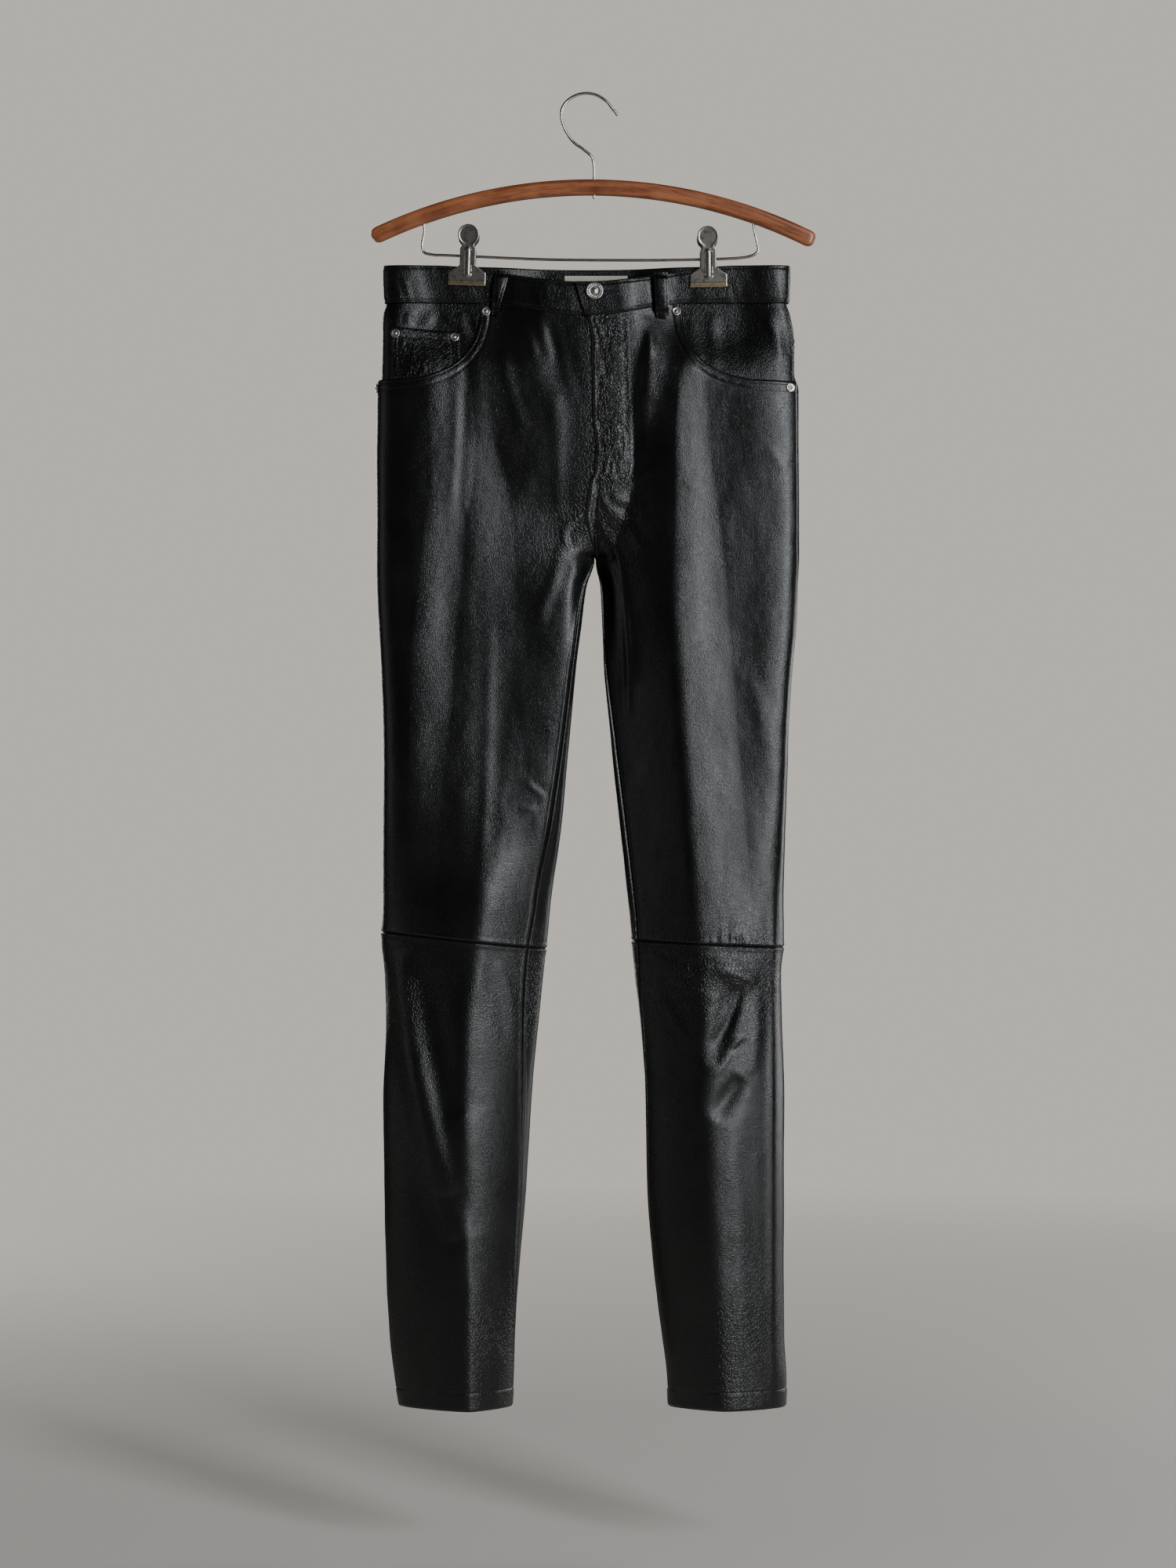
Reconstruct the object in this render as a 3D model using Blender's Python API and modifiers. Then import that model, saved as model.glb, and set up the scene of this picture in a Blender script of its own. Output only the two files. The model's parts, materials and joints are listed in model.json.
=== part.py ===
"""Leather trousers held at the waistband by the two clips of a wooden hanger.

Metres, +Z up, the front faces -Y and +X is the viewer's right. The origin is the inner top of the
hanger's hook, where a rail carries it. Left and right in the names are the wearer's.

The cloth is worked out from horizontal sections. A place on it has a side, a height z and a place w
round that side's section: 0 at the inner edge, 0.5 at the front crease, 1 at the outer edge, 1.5 at
the back crease and 2 at the inner edge again. Above the crotch the inner edge is the centre seam.
"""

import math

import bmesh
import bpy
import numpy as np
from mathutils import Matrix, Vector

# Leather and gaps
WALL = 0.0014
SEAM_GAP = 0.0003
TOP_GAP = 0.0008
LAYER_GAP = 0.0005

# Waistband
BAND_TOP = -0.168
BAND_DIP = 0.0175
BAND_DIP_REACH = 0.150
BAND_BACK_DIP = 0.0025
BAND_OUT = 0.0012
BAND_IN = 0.0020
BAND_SEAM = -0.2052
BAND_SEAM_DIP = 0.0140
BAND_SEAM_REACH = 0.108
BAND_BACK_HEIGHT = 0.0372
BAND_OVER_END = -0.0065
BAND_UNDER_END = 0.026
BAND_UNDER_GAP = 0.0005

# Heights
CROTCH = -0.455
JOINED = CROTCH + 1e-6
HEM = -1.2868
OPEN_FRONT = -0.335

# Clips and the pinch that they make
CLIP_X = {"right": -0.1163, "left": 0.1193}
PINCH_HALF = 0.0040
PINCH_REACH = (0.028, 0.078)
PINCH_FADE = (-0.200, -0.275)

# Pocket mouths: a rounded corner between the waist seam and the side seam
MOUTH = {
    "right": {"start": -0.1045, "end": -0.204, "bottom": -0.2825, "power": 2.6},
    "left": {"start": 0.0945, "end": 0.206, "bottom": -0.2840, "power": 2.8},
}
FACING_UNDERLAP = 0.010
RECESS_TOP = 0.0020
RECESS_LOW = 0.0042
RECESS_RANGE = (-0.216, -0.246)
SIDE_RECESS_END = (-0.276, -0.292)

COIN_WALL = 0.0012
COIN_GAP = 0.0010
COIN_COLUMNS = 8
COIN_ROWS = 6
COIN = {
    "top_in": (-0.1232, -0.2337),
    "top_out": (-0.1930, -0.2293),
    "low_in": (-0.1205, -0.2850),
    "low_out": (-0.1930, -0.2870),
}

# Fly: the left front laps over the right one
FLY_UNDER = 0.070
FLY_STEP = 0.0024
FLY_END = (-0.350, -0.376)
FLY_RAISE_END = (-0.403, -0.440)
FLY_RAISE_REACH = (0.12, 0.28)

# Yoke seam, from the side to the centre back
YOKE_SIDE = -0.2445
YOKE_CENTRE = -0.2760

# Columns of the section tables
COLUMNS = ("z", "outer", "crest", "inner", "front", "back", "inseam", "outseam")
SECTIONS = {
    "right": (
        (-0.155, -0.1985, -0.100, 0.0030, 0.0080, 0.0080, 0.00, 1.00),
        (-0.204, -0.1978, -0.100, 0.0030, 0.0140, 0.0160, 0.00, 1.00),
        (-0.216, -0.2010, -0.100, 0.0032, 0.0170, 0.0190, 0.00, 1.00),
        (-0.245, -0.2042, -0.103, 0.0045, 0.0240, 0.0260, 0.00, 1.00),
        (-0.282, -0.2052, -0.104, 0.0060, 0.0300, 0.0320, 0.00, 1.00),
        (-0.330, -0.2056, -0.094, 0.0075, 0.0335, 0.0370, 0.00, 1.00),
        (-0.407, -0.2063, -0.079, 0.0080, 0.0355, 0.0410, 0.00, 1.00),
        (-0.455, -0.2062, -0.074, 0.0084, 0.0375, 0.0425, 0.00, 1.00),
        (-0.484, -0.2055, -0.073, 0.0003, 0.0385, 0.0430, 0.06, 1.00),
        (-0.523, -0.2035, -0.074, -0.0046, 0.0395, 0.0430, 0.12, 1.00),
        (-0.561, -0.2017, -0.077, -0.0100, 0.0400, 0.0430, 0.14, 1.00),
        (-0.638, -0.1995, -0.083, -0.0170, 0.0400, 0.0430, 0.18, 1.00),
        (-0.715, -0.2000, -0.089, -0.0239, 0.0400, 0.0430, 0.23, 1.00),
        (-0.792, -0.2002, -0.101, -0.0346, 0.0400, 0.0430, 0.26, 1.00),
        (-0.828, -0.2015, -0.106, -0.0378, 0.0400, 0.0435, 0.26, 1.00),
        (-0.862, -0.1980, -0.111, -0.0416, 0.0400, 0.0440, 0.25, 1.00),
        (-0.908, -0.1963, -0.116, -0.0470, 0.0400, 0.0440, 0.22, 1.00),
        (-0.985, -0.1994, -0.121, -0.0539, 0.0405, 0.0440, 0.17, 1.00),
        (-1.062, -0.1987, -0.119, -0.0585, 0.0410, 0.0440, 0.15, 1.00),
        (-1.139, -0.1971, -0.117, -0.0647, 0.0410, 0.0440, 0.13, 1.00),
        (-1.216, -0.1933, -0.115, -0.0701, 0.0410, 0.0440, 0.06, 1.00),
        (-1.262, -0.1880, -0.115, -0.0716, 0.0410, 0.0430, 0.03, 1.00),
        (-1.300, -0.1820, -0.115, -0.0735, 0.0410, 0.0430, 0.02, 1.00),
    ),
    "left": (
        (-0.155, 0.1992, 0.104, 0.0030, 0.0080, 0.0080, 0.00, 0.99),
        (-0.204, 0.1980, 0.104, 0.0030, 0.0140, 0.0160, 0.00, 0.97),
        (-0.216, 0.2013, 0.104, 0.0032, 0.0170, 0.0190, 0.00, 0.96),
        (-0.245, 0.2074, 0.100, 0.0045, 0.0240, 0.0260, 0.00, 0.95),
        (-0.282, 0.2076, 0.090, 0.0060, 0.0300, 0.0320, 0.00, 0.94),
        (-0.330, 0.2075, 0.087, 0.0075, 0.0345, 0.0370, 0.00, 0.94),
        (-0.407, 0.2080, 0.087, 0.0080, 0.0375, 0.0410, 0.00, 0.94),
        (-0.455, 0.2078, 0.087, 0.0084, 0.0385, 0.0425, 0.00, 0.95),
        (-0.484, 0.2064, 0.087, 0.0138, 0.0390, 0.0430, 0.03, 0.96),
        (-0.523, 0.2048, 0.088, 0.0154, 0.0390, 0.0430, 0.06, 0.97),
        (-0.561, 0.2017, 0.090, 0.0170, 0.0390, 0.0430, 0.09, 0.97),
        (-0.638, 0.1972, 0.096, 0.0240, 0.0390, 0.0430, 0.13, 0.98),
        (-0.715, 0.1948, 0.101, 0.0323, 0.0390, 0.0430, 0.15, 0.985),
        (-0.792, 0.1933, 0.107, 0.0408, 0.0390, 0.0430, 0.16, 0.985),
        (-0.832, 0.1940, 0.111, 0.0445, 0.0390, 0.0435, 0.15, 0.985),
        (-0.862, 0.1912, 0.113, 0.0472, 0.0395, 0.0440, 0.13, 0.985),
        (-0.908, 0.1917, 0.115, 0.0524, 0.0400, 0.0440, 0.10, 1.00),
        (-0.985, 0.1940, 0.118, 0.0578, 0.0405, 0.0440, 0.07, 1.00),
        (-1.062, 0.1933, 0.122, 0.0594, 0.0405, 0.0440, 0.05, 1.00),
        (-1.139, 0.1933, 0.126, 0.0650, 0.0400, 0.0440, 0.04, 1.00),
        (-1.216, 0.1940, 0.1320, 0.0745, 0.0390, 0.0435, 0.03, 1.00),
        (-1.262, 0.1962, 0.1340, 0.0800, 0.0385, 0.0430, 0.03, 1.00),
        (-1.300, 0.1948, 0.1350, 0.0810, 0.0385, 0.0430, 0.02, 1.00),
    ),
}

# The centre seams' distance from the middle plane, and how round and how creased the sections are
CENTRE_COLUMNS = ("z", "front", "back")
CENTRE = (
    (-0.155, 0.0130, 0.0100),
    (-0.204, 0.0160, 0.0160),
    (-0.245, 0.0205, 0.0240),
    (-0.282, 0.0240, 0.0300),
    (-0.330, 0.0262, 0.0350),
    (-0.380, 0.0262, 0.0370),
    (-0.415, 0.0220, 0.0330),
    (-0.438, 0.0148, 0.0240),
    (-0.449, 0.0082, 0.0145),
    (-0.455, 0.0000, 0.0000),
)
FORM_COLUMNS = ("z", "power", "crease", "inner_crease", "flat_to", "flat")
FORM = {
    "right": (
        (-0.155, 3.0, 0.00, 0.00, 0.00, 1.00),
        (-0.230, 3.4, 0.00, 0.00, 0.40, 1.00),
        (-0.300, 4.2, 0.00, 0.00, 0.70, 1.00),
        (-0.384, 5.5, 0.00, 0.00, 0.70, 0.90),
        (-0.430, 6.0, 0.00, 0.00, 0.60, 0.30),
        (-0.500, 6.0, 0.00, 0.00, 0.40, 0.00),
        (-0.600, 5.0, 0.00, 0.15, 0.00, 0.00),
        (-0.720, 4.0, 0.12, 0.45, 0.00, 0.00),
        (-0.840, 2.3, 0.42, 0.66, 0.00, 0.00),
        (-0.950, 2.1, 0.50, 0.50, 0.00, 0.00),
        (-1.300, 2.1, 0.55, 0.55, 0.00, 0.00),
    ),
    "left": (
        (-0.155, 3.0, 0.00, 0.00, 0.00, 1.00),
        (-0.230, 3.4, 0.00, 0.00, 0.30, 1.00),
        (-0.300, 4.4, 0.00, 0.10, 0.45, 1.00),
        (-0.384, 5.0, 0.00, 0.20, 0.50, 1.00),
        (-0.430, 5.0, 0.00, 0.50, 0.40, 0.80),
        (-0.500, 5.0, 0.00, 0.80, 0.20, 0.40),
        (-0.600, 4.8, 0.00, 0.90, 0.00, 0.00),
        (-0.720, 4.2, 0.06, 0.90, 0.00, 0.00),
        (-0.840, 3.0, 0.24, 0.70, 0.00, 0.00),
        (-0.950, 2.7, 0.32, 0.55, 0.00, 0.00),
        (-1.300, 2.5, 0.40, 0.55, 0.00, 0.00),
    ),
}
CREASE_ROUND = 0.10
EVEN_POWER = 2.8
CALM_FROM = -0.360
CALM_BELOW = 0.110
SEAM_REACH = 0.025
LEVEL_ABOVE = (0.222, 0.262)

# Long soft steps of the front, down the thighs: where each starts, how far it runs to +X and how
# far the cloth falls back on the way
STEP_COLUMNS = ("z", "x", "run", "fall")
STEPS = {
    "right": (
        (
            (-0.205, -0.160, 0.035, 0.0000),
            (-0.238, -0.160, 0.038, 0.0018),
            (-0.292, -0.156, 0.044, 0.0044),
            (-0.338, -0.152, 0.044, 0.0044),
            (-0.384, -0.151, 0.040, 0.0044),
            (-0.430, -0.158, 0.040, 0.0044),
            (-0.492, -0.164, 0.042, 0.0048),
            (-0.561, -0.171, 0.042, 0.0052),
            (-0.638, -0.173, 0.038, 0.0044),
            (-0.715, -0.175, 0.032, 0.0030),
            (-0.800, -0.176, 0.030, 0.0000),
            (-1.300, -0.176, 0.030, 0.0000),
        ),
        (
            (-0.240, -0.113, 0.030, 0.0000),
            (-0.292, -0.113, 0.030, 0.0012),
            (-0.338, -0.116, 0.030, 0.0028),
            (-0.384, -0.119, 0.042, 0.0042),
            (-0.430, -0.115, 0.044, 0.0042),
            (-0.492, -0.113, 0.044, 0.0036),
            (-0.561, -0.114, 0.042, 0.0034),
            (-0.638, -0.119, 0.038, 0.0032),
            (-0.715, -0.122, 0.036, 0.0028),
            (-0.800, -0.126, 0.034, 0.0000),
            (-1.300, -0.126, 0.034, 0.0000),
        ),
    ),
    "left": (
        (
            (-0.205, 0.108, 0.024, 0.0000),
            (-0.238, 0.106, 0.024, 0.0022),
            (-0.292, 0.090, 0.028, 0.0028),
            (-0.338, 0.087, 0.032, 0.0038),
            (-0.384, 0.087, 0.038, 0.0048),
            (-0.430, 0.087, 0.044, 0.0064),
            (-0.492, 0.087, 0.050, 0.0076),
            (-0.561, 0.090, 0.052, 0.0080),
            (-0.638, 0.096, 0.052, 0.0080),
            (-0.715, 0.101, 0.054, 0.0070),
            (-0.792, 0.107, 0.054, 0.0040),
            (-0.870, 0.113, 0.054, 0.0000),
            (-1.300, 0.113, 0.054, 0.0000),
        ),
    ),
}

# The largest folds, seen from the front: where each starts and ends, how far its middle bows to +X,
# its half-width and its height, below zero for a trough
FOLD_COLUMNS = ("face", "x0", "z0", "x1", "z1", "bow", "width", "height")
FOLDS = (
    ("front", -0.064, -0.222, -0.010, -0.350, -0.004, 0.013, 0.0022),
    ("front", -0.046, -0.222, 0.000, -0.300, 0.000, 0.010, -0.0014),
    ("front", -0.012, -0.436, -0.038, -0.630, 0.002, 0.011, 0.0020),
    ("front", -0.182, -0.840, -0.132, -1.075, -0.006, 0.014, 0.0040),
    ("front", -0.150, -0.860, -0.125, -1.000, 0.000, 0.014, -0.0025),
    ("front", 0.066, -0.220, 0.052, -0.330, 0.002, 0.012, 0.0030),
    ("front", 0.012, -0.430, 0.042, -0.580, 0.004, 0.010, 0.0030),
    ("front", 0.1845, -0.760, 0.1840, -1.285, -0.001, 0.006, 0.0026),
    ("front", 0.144, -0.872, 0.118, -0.950, 0.002, 0.009, -0.0042),
    ("front", 0.120, -0.850, 0.165, -0.870, 0.000, 0.009, 0.0032),
    ("front", 0.149, -0.962, 0.124, -1.002, 0.000, 0.009, -0.0036),
    ("back", -0.150, -0.300, -0.132, -0.560, 0.004, 0.020, 0.0045),
    ("back", -0.060, -0.330, -0.090, -0.520, -0.004, 0.018, 0.0050),
    ("back", 0.060, -0.330, 0.092, -0.530, 0.004, 0.018, 0.0050),
    ("back", 0.152, -0.300, 0.134, -0.580, -0.004, 0.020, 0.0045),
    ("back", -0.030, -0.420, -0.100, -0.540, 0.004, 0.014, 0.0042),
    ("back", 0.040, -0.420, 0.104, -0.545, -0.004, 0.014, 0.0042),
    ("back", -0.170, -0.800, -0.080, -0.870, 0.000, 0.014, -0.0045),
    ("back", 0.070, -0.880, 0.160, -0.800, 0.000, 0.014, -0.0045),
)

# Knee seams: heights at the outer edge, at the crease and at the inner edge
KNEE = {
    "right": {"outer": -0.8215, "crest": -0.8310, "inner": -0.8385},
    "left": {"outer": -0.8365, "crest": -0.8325, "inner": -0.8300},
}

# Grid sizes of the walls
FRONT_TOP_COLUMNS = 6
MOUTH_SHARES = (0.0, 0.10, 0.22, 0.36, 0.50, 0.66, 0.82)
MOUTH_EDGE_SHARES = (0.25, 0.50, 0.75, 1.0)
BACK_COLUMNS = 12
SHIN_COLUMNS = 12
ROWS_ABOVE_CROTCH = (0.0, 0.07, 0.17, 0.29, 0.42, 0.55, 0.67, 0.78, 0.85, 0.90, 0.94, 0.975, 1.0)
ROWS_BELOW_CROTCH = 11
SHIN_ROWS = 13
BAND_STATIONS = 20

SHARP_ANGLE = math.radians(50.0)
SIGN = {"right": -1.0, "left": 1.0}
OTHER = {"right": "left", "left": "right"}


def ease(value, start, end):
    """0 at start and 1 at end, with a smooth run between them."""
    t = np.clip((np.asarray(value, float) - start) / (end - start), 0.0, 1.0)
    return t * t * (3.0 - 2.0 * t)


def track(rows, columns, name, z):
    """One column of a table at the heights z, as a smooth curve that never overshoots its rows."""
    table = np.array(rows, float)[::-1]
    heights = table[:, columns.index("z")]
    values = table[:, columns.index(name)]
    secants = np.diff(values) / np.diff(heights)
    before, after = secants[:-1], secants[1:]
    total = np.where(before * after > 0.0, before + after, 1.0)
    turns = np.where(before * after > 0.0, 2.0 * before * after / total, 0.0)
    slopes = np.concatenate([secants[:1], turns, secants[-1:]])
    z = np.clip(np.asarray(z, float), heights[0], heights[-1])
    k = np.clip(np.searchsorted(heights, z, side="right") - 1, 0, len(heights) - 2)
    span = heights[k + 1] - heights[k]
    t = (z - heights[k]) / span
    rise = values[k + 1] - values[k]
    a = slopes[k] * span
    b = slopes[k + 1] * span
    return values[k] + t * a + t**2 * (3 * rise - 2 * a - b) + t**3 * (a + b - 2 * rise)


def section_value(side, name, z):
    return track(SECTIONS[side], COLUMNS, name, z)


def fold_height(face, x, z):
    """How far the folds of a face stand out at the places (x, z) of the front view."""
    total = np.zeros_like(x)
    for row in FOLDS:
        fold = dict(zip(FOLD_COLUMNS, row))
        if fold["face"] != face:
            continue
        run_x = fold["x1"] - fold["x0"]
        run_z = fold["z1"] - fold["z0"]
        along = ((x - fold["x0"]) * run_x + (z - fold["z0"]) * run_z) / (run_x**2 + run_z**2)
        along = np.clip(along, 0.0, 1.0)
        arch = np.sin(np.pi * along)
        off_x = x - fold["x0"] - run_x * along - fold["bow"] * arch
        off_z = z - fold["z0"] - run_z * along
        reach = np.hypot(off_x, off_z) / fold["width"]
        total += fold["height"] * np.sqrt(arch) * np.exp(-(reach**2))
    at_mouth = ease(np.abs(x - 0.003), 0.072, 0.092) * (1.0 - ease(-z, 0.292, 0.335))
    at_fly = (1.0 - ease(np.abs(x - 0.006), 0.014, 0.034)) * (1.0 - ease(-z, 0.390, 0.420))
    return total * (1.0 - at_mouth) * (1.0 - at_fly)


def profile(turn, power, crease):
    """Run and rise of a quarter section: (1, 0) at its edge and (0, 1) at its crest."""
    run = np.cos(turn) ** (2.0 / np.minimum(power, EVEN_POWER))
    rise = (1.0 - run**power) ** (1.0 / power)
    soft = np.sqrt(run**2 + CREASE_ROUND**2) - CREASE_ROUND
    soft /= math.sqrt(1.0 + CREASE_ROUND**2) - CREASE_ROUND
    return run, (1.0 - crease) * rise + crease * (1.0 - soft)


def steps_fall(side, x, z):
    """How far the long steps of one front have fallen back at the places (x, z)."""
    total = np.zeros_like(x)
    for rows in STEPS[side]:
        start, run, fall = (track(rows, STEP_COLUMNS, name, z) for name in STEP_COLUMNS[1:])
        part = np.clip((x - start) / run, 0.0, 1.0)
        total += fall * (0.5 * part + 0.5 * ease(part, 0.0, 1.0))
    return total


def pinch(x, z, depth):
    """The depth of a face, drawn in where a clip holds it."""
    hold = 1.0 - ease(-z, -PINCH_FADE[0], -PINCH_FADE[1])
    for clip_x in CLIP_X.values():
        near = (1.0 - ease(np.abs(x - clip_x), *PINCH_REACH)) * hold
        depth = depth * (1.0 - near) + np.minimum(depth, PINCH_HALF) * near
    return depth


def centre_depth(is_back, z):
    """How far the centre seams lie from the middle plane at the heights z."""
    front = track(CENTRE, CENTRE_COLUMNS, "front", z)
    return np.where(is_back, track(CENTRE, CENTRE_COLUMNS, "back", z), front)


def base_point(side, w, z):
    """Points of the cloth's outer face on one side, for w from 0 to 3."""
    w, z = np.broadcast_arrays(np.asarray(w, float), np.asarray(z, float))
    is_back = (w > 1.0) & ((w < 2.0) | (z > JOINED))
    s = np.where(w > 1.0, np.abs(2.0 - w), w)
    value = {name: section_value(side, name, z) for name in COLUMNS[1:6]}
    form = {name: track(FORM[side], FORM_COLUMNS, name, z) for name in FORM_COLUMNS[1:]}
    is_inner = s < 0.5
    half = np.clip(np.where(is_inner, s, 1.0 - s) / 0.5, 0.0, 1.0)
    crease = np.where(is_inner, form["inner_crease"], form["crease"])
    run, rise = profile(half * math.pi / 2, form["power"], crease)
    open_share = ease(z, CROTCH - CALM_BELOW, OPEN_FRONT)
    inner_run = run * (1.0 - open_share) + (1.0 - half) * open_share
    inner_x = value["crest"] + (value["inner"] - value["crest"]) * inner_run
    outer_x = value["crest"] + (value["outer"] - value["crest"]) * run
    x = np.where(is_inner, inner_x, outer_x)
    full = np.where(is_back, value["back"], value["front"] - steps_fall(side, x, z))
    seam = centre_depth(is_back, z) * (z > JOINED)
    edge = centre_depth(is_back, np.maximum(z, CALM_FROM)) * ease(z, CROTCH - CALM_BELOW, CALM_FROM)
    flat_to = np.where(is_back, 0.0, form["flat_to"])
    slope = np.clip((half - flat_to) / (1.0 - flat_to), 0.0, 1.0)
    steep = 0.6 * slope + 0.4 * ease(slope, 0.0, 1.0)
    inner_rise = rise * (1.0 - form["flat"]) + steep * form["flat"]
    near = np.exp(-(((inner_x - value["inner"]) / SEAM_REACH) ** 2))
    inner_depth = edge + (full - edge) * inner_rise + (seam - edge) * near
    depth = pinch(x, z, np.where(is_inner, inner_depth, full * rise))
    calm = np.clip(depth / 0.02, 0.0, 1.0)
    folds = np.where(is_back, fold_height("back", x, z), fold_height("front", x, z))
    depth = depth + folds * calm
    return np.stack([x, np.where(is_back, depth, -depth), z], axis=-1)


def cloth_point(side, w, z):
    """As base_point, with w below 0 or above 2 running on: over the other side, or round the leg."""
    w, z = np.broadcast_arrays(np.asarray(w, float), np.asarray(z, float))
    is_joined = z > JOINED
    turned_w = np.where(w < 0.0, np.where(is_joined, 0.0, w + 2.0), w)
    own = base_point(side, np.where(is_joined, np.minimum(turned_w, 2.0), turned_w), z)
    other_w = np.where(w < 0.0, -w, np.where(w > 2.0, 4.0 - w, 1.0))
    across = base_point(OTHER[side], other_w, z)
    is_across = is_joined & ((w < 0.0) | (w > 2.0))
    return np.where(is_across[..., None], across, own)


def outward(side, w, z):
    """Unit normals of the outer face, level where the panels meet the waistband."""
    w, z = np.broadcast_arrays(np.asarray(w, float), np.asarray(z, float))
    dw = 0.004
    dz = 0.0015
    low = np.where(z > JOINED, np.maximum(z - dz, CROTCH + 1e-5), z - dz)
    high = np.where(z > JOINED, z + dz, np.minimum(z + dz, CROTCH))
    across = cloth_point(side, w + dw, z) - cloth_point(side, w - dw, z)
    upward = cloth_point(side, w, high) - cloth_point(side, w, low)
    normal = np.cross(across, upward) * SIGN[side]
    normal[..., 2] *= ease(-z, LEVEL_ABOVE[0], LEVEL_ABOVE[1])
    return normal / np.linalg.norm(normal, axis=-1, keepdims=True)


def w_at_x(side, x, z):
    """The place w on the front of one side that lies at x in the front view."""
    steps = np.linspace(0.0, 1.0, 401)
    found = []
    for one_x, one_z in zip(np.ravel(x), np.ravel(z)):
        across = base_point(side, steps, np.full_like(steps, one_z))[:, 0] * SIGN[side]
        found.append(np.interp(one_x * SIGN[side], across, steps))
    return np.array(found)


def dip(x, reach):
    return np.where(np.abs(x) < reach, np.cos(np.clip(x / reach, -1, 1) * math.pi / 2) ** 2, 0.0)


def band_edges(x, is_back):
    """Heights of the waistband's top and bottom edges at x."""
    front_top = BAND_TOP - BAND_DIP * dip(x, BAND_DIP_REACH)
    front_low = BAND_SEAM - BAND_SEAM_DIP * dip(x, BAND_SEAM_REACH)
    back_top = BAND_TOP - BAND_BACK_DIP * dip(x, BAND_DIP_REACH)
    back_low = back_top - BAND_BACK_HEIGHT
    return np.where(is_back, back_top, front_top), np.where(is_back, back_low, front_low)


def knee_height(side, x):
    """Height of the knee seam at x."""
    z = KNEE[side]["crest"]
    stops = [section_value(side, name, z) * SIGN[side] for name in ("inner", "crest", "outer")]
    heights = [KNEE[side][name] for name in ("inner", "crest", "outer")]
    return np.interp(np.asarray(x) * SIGN[side], [float(s) for s in stops], heights)


def side_recess(w, z):
    """How far the yoke and the back lie in beside a pocket facing."""
    near = 1.0 - ease(w, 1.0, 1.35)
    return facing_recess(z) * near * (1.0 - ease(-z, -SIDE_RECESS_END[0], -SIDE_RECESS_END[1]))


def facing_recess(z):
    share = ease(-z, -RECESS_RANGE[0], -RECESS_RANGE[1])
    return RECESS_TOP + (RECESS_LOW - RECESS_TOP) * share


def fly_raise(w, z):
    """How far the left front stands out over the right front."""
    near = 1.0 - ease(w, *FLY_RAISE_REACH)
    return FLY_STEP * near * (1.0 - ease(-z, -FLY_RAISE_END[0], -FLY_RAISE_END[1]))


def collection(name):
    found = bpy.data.collections.new(name)
    bpy.context.scene.collection.children.link(found)
    return found


def material(name, colour, roughness, metallic=0.0):
    made = bpy.data.materials.new(name)
    made.use_nodes = True
    shader = made.node_tree.nodes["Principled BSDF"]
    shader.inputs["Base Color"].default_value = (*colour, 1.0)
    shader.inputs["Roughness"].default_value = roughness
    shader.inputs["Metallic"].default_value = metallic
    return made


def add_object(name, data, finish, where):
    made = bpy.data.objects.new(name, data)
    data.materials.append(finish)
    where.objects.link(made)
    return made


def inset(grid, amount, edges):
    """Draws the named edges of a grid of points in by amount, along the cloth."""
    moved = grid.copy()
    for edge in edges:
        last, before = {
            "top": (np.s_[0, :], np.s_[1, :]),
            "bottom": (np.s_[-1, :], np.s_[-2, :]),
            "first": (np.s_[:, 0], np.s_[:, 1]),
            "last": (np.s_[:, -1], np.s_[:, -2]),
        }[edge]
        towards = grid[before] - grid[last]
        moved[last] += towards / np.linalg.norm(towards, axis=-1, keepdims=True) * amount
    return moved


def wall(name, outer, inner, finish, where):
    """A closed wall between two grids of points, with rims on its four edges."""
    rows, columns = outer.shape[:2]
    count = rows * columns
    points = np.concatenate([outer.reshape(-1, 3), inner.reshape(-1, 3)])
    index = np.arange(count).reshape(rows, columns)
    faces = []
    for i in range(rows - 1):
        for j in range(columns - 1):
            a, b = index[i, j], index[i, j + 1]
            c, d = index[i + 1, j + 1], index[i + 1, j]
            is_short = np.linalg.norm(points[a] - points[c]) < np.linalg.norm(points[b] - points[d])
            halves = ((a, b, c), (a, c, d)) if is_short else ((a, b, d), (b, c, d))
            faces += halves
            faces += [tuple(k + count for k in reversed(half)) for half in halves]
    rim = [*index[0, :], *index[1:, -1], *index[-1, -2::-1], *index[-2:0:-1, 0]]
    for a, b in zip(rim, rim[1:] + rim[:1]):
        faces += [(b, a, a + count), (b, a + count, b + count)]
    mesh = bpy.data.meshes.new(name)
    mesh.from_pydata([tuple(map(float, p)) for p in points], [], [tuple(map(int, f)) for f in faces])
    shape = bmesh.new()
    shape.from_mesh(mesh)
    bmesh.ops.recalc_face_normals(shape, faces=shape.faces)
    shape.to_mesh(mesh)
    shape.free()
    mesh.shade_smooth()
    mesh.set_sharp_from_angle(angle=SHARP_ANGLE)
    return add_object(name, mesh, finish, where)


def cloth_wall(name, side, w, z, recess, thickness, seams, finish, where):
    """A panel on the cloth: w and z are grids, recess is how deep its outer face lies."""
    face = cloth_point(side, w, z)
    normal = outward(side, w, z)
    depth = np.broadcast_to(np.asarray(recess, float), z.shape)[..., None]
    outer = inset(face - normal * depth, SEAM_GAP / 2, seams)
    inner = inset(face - normal * (depth + thickness), SEAM_GAP / 2, seams)
    return wall(name, outer, inner, finish, where)


def outseam(side, z):
    return section_value(side, "outseam", z)


def front_inner(side, z):
    """The front panel's inner edge: the lapped fly above the crotch and the inseam below it."""
    lap = 0.0 if side == "left" else FLY_UNDER
    above = -lap * (1.0 - ease(-z, -FLY_END[0], -FLY_END[1]))
    return np.where(z > JOINED, above, section_value(side, "inseam", z))


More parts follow.
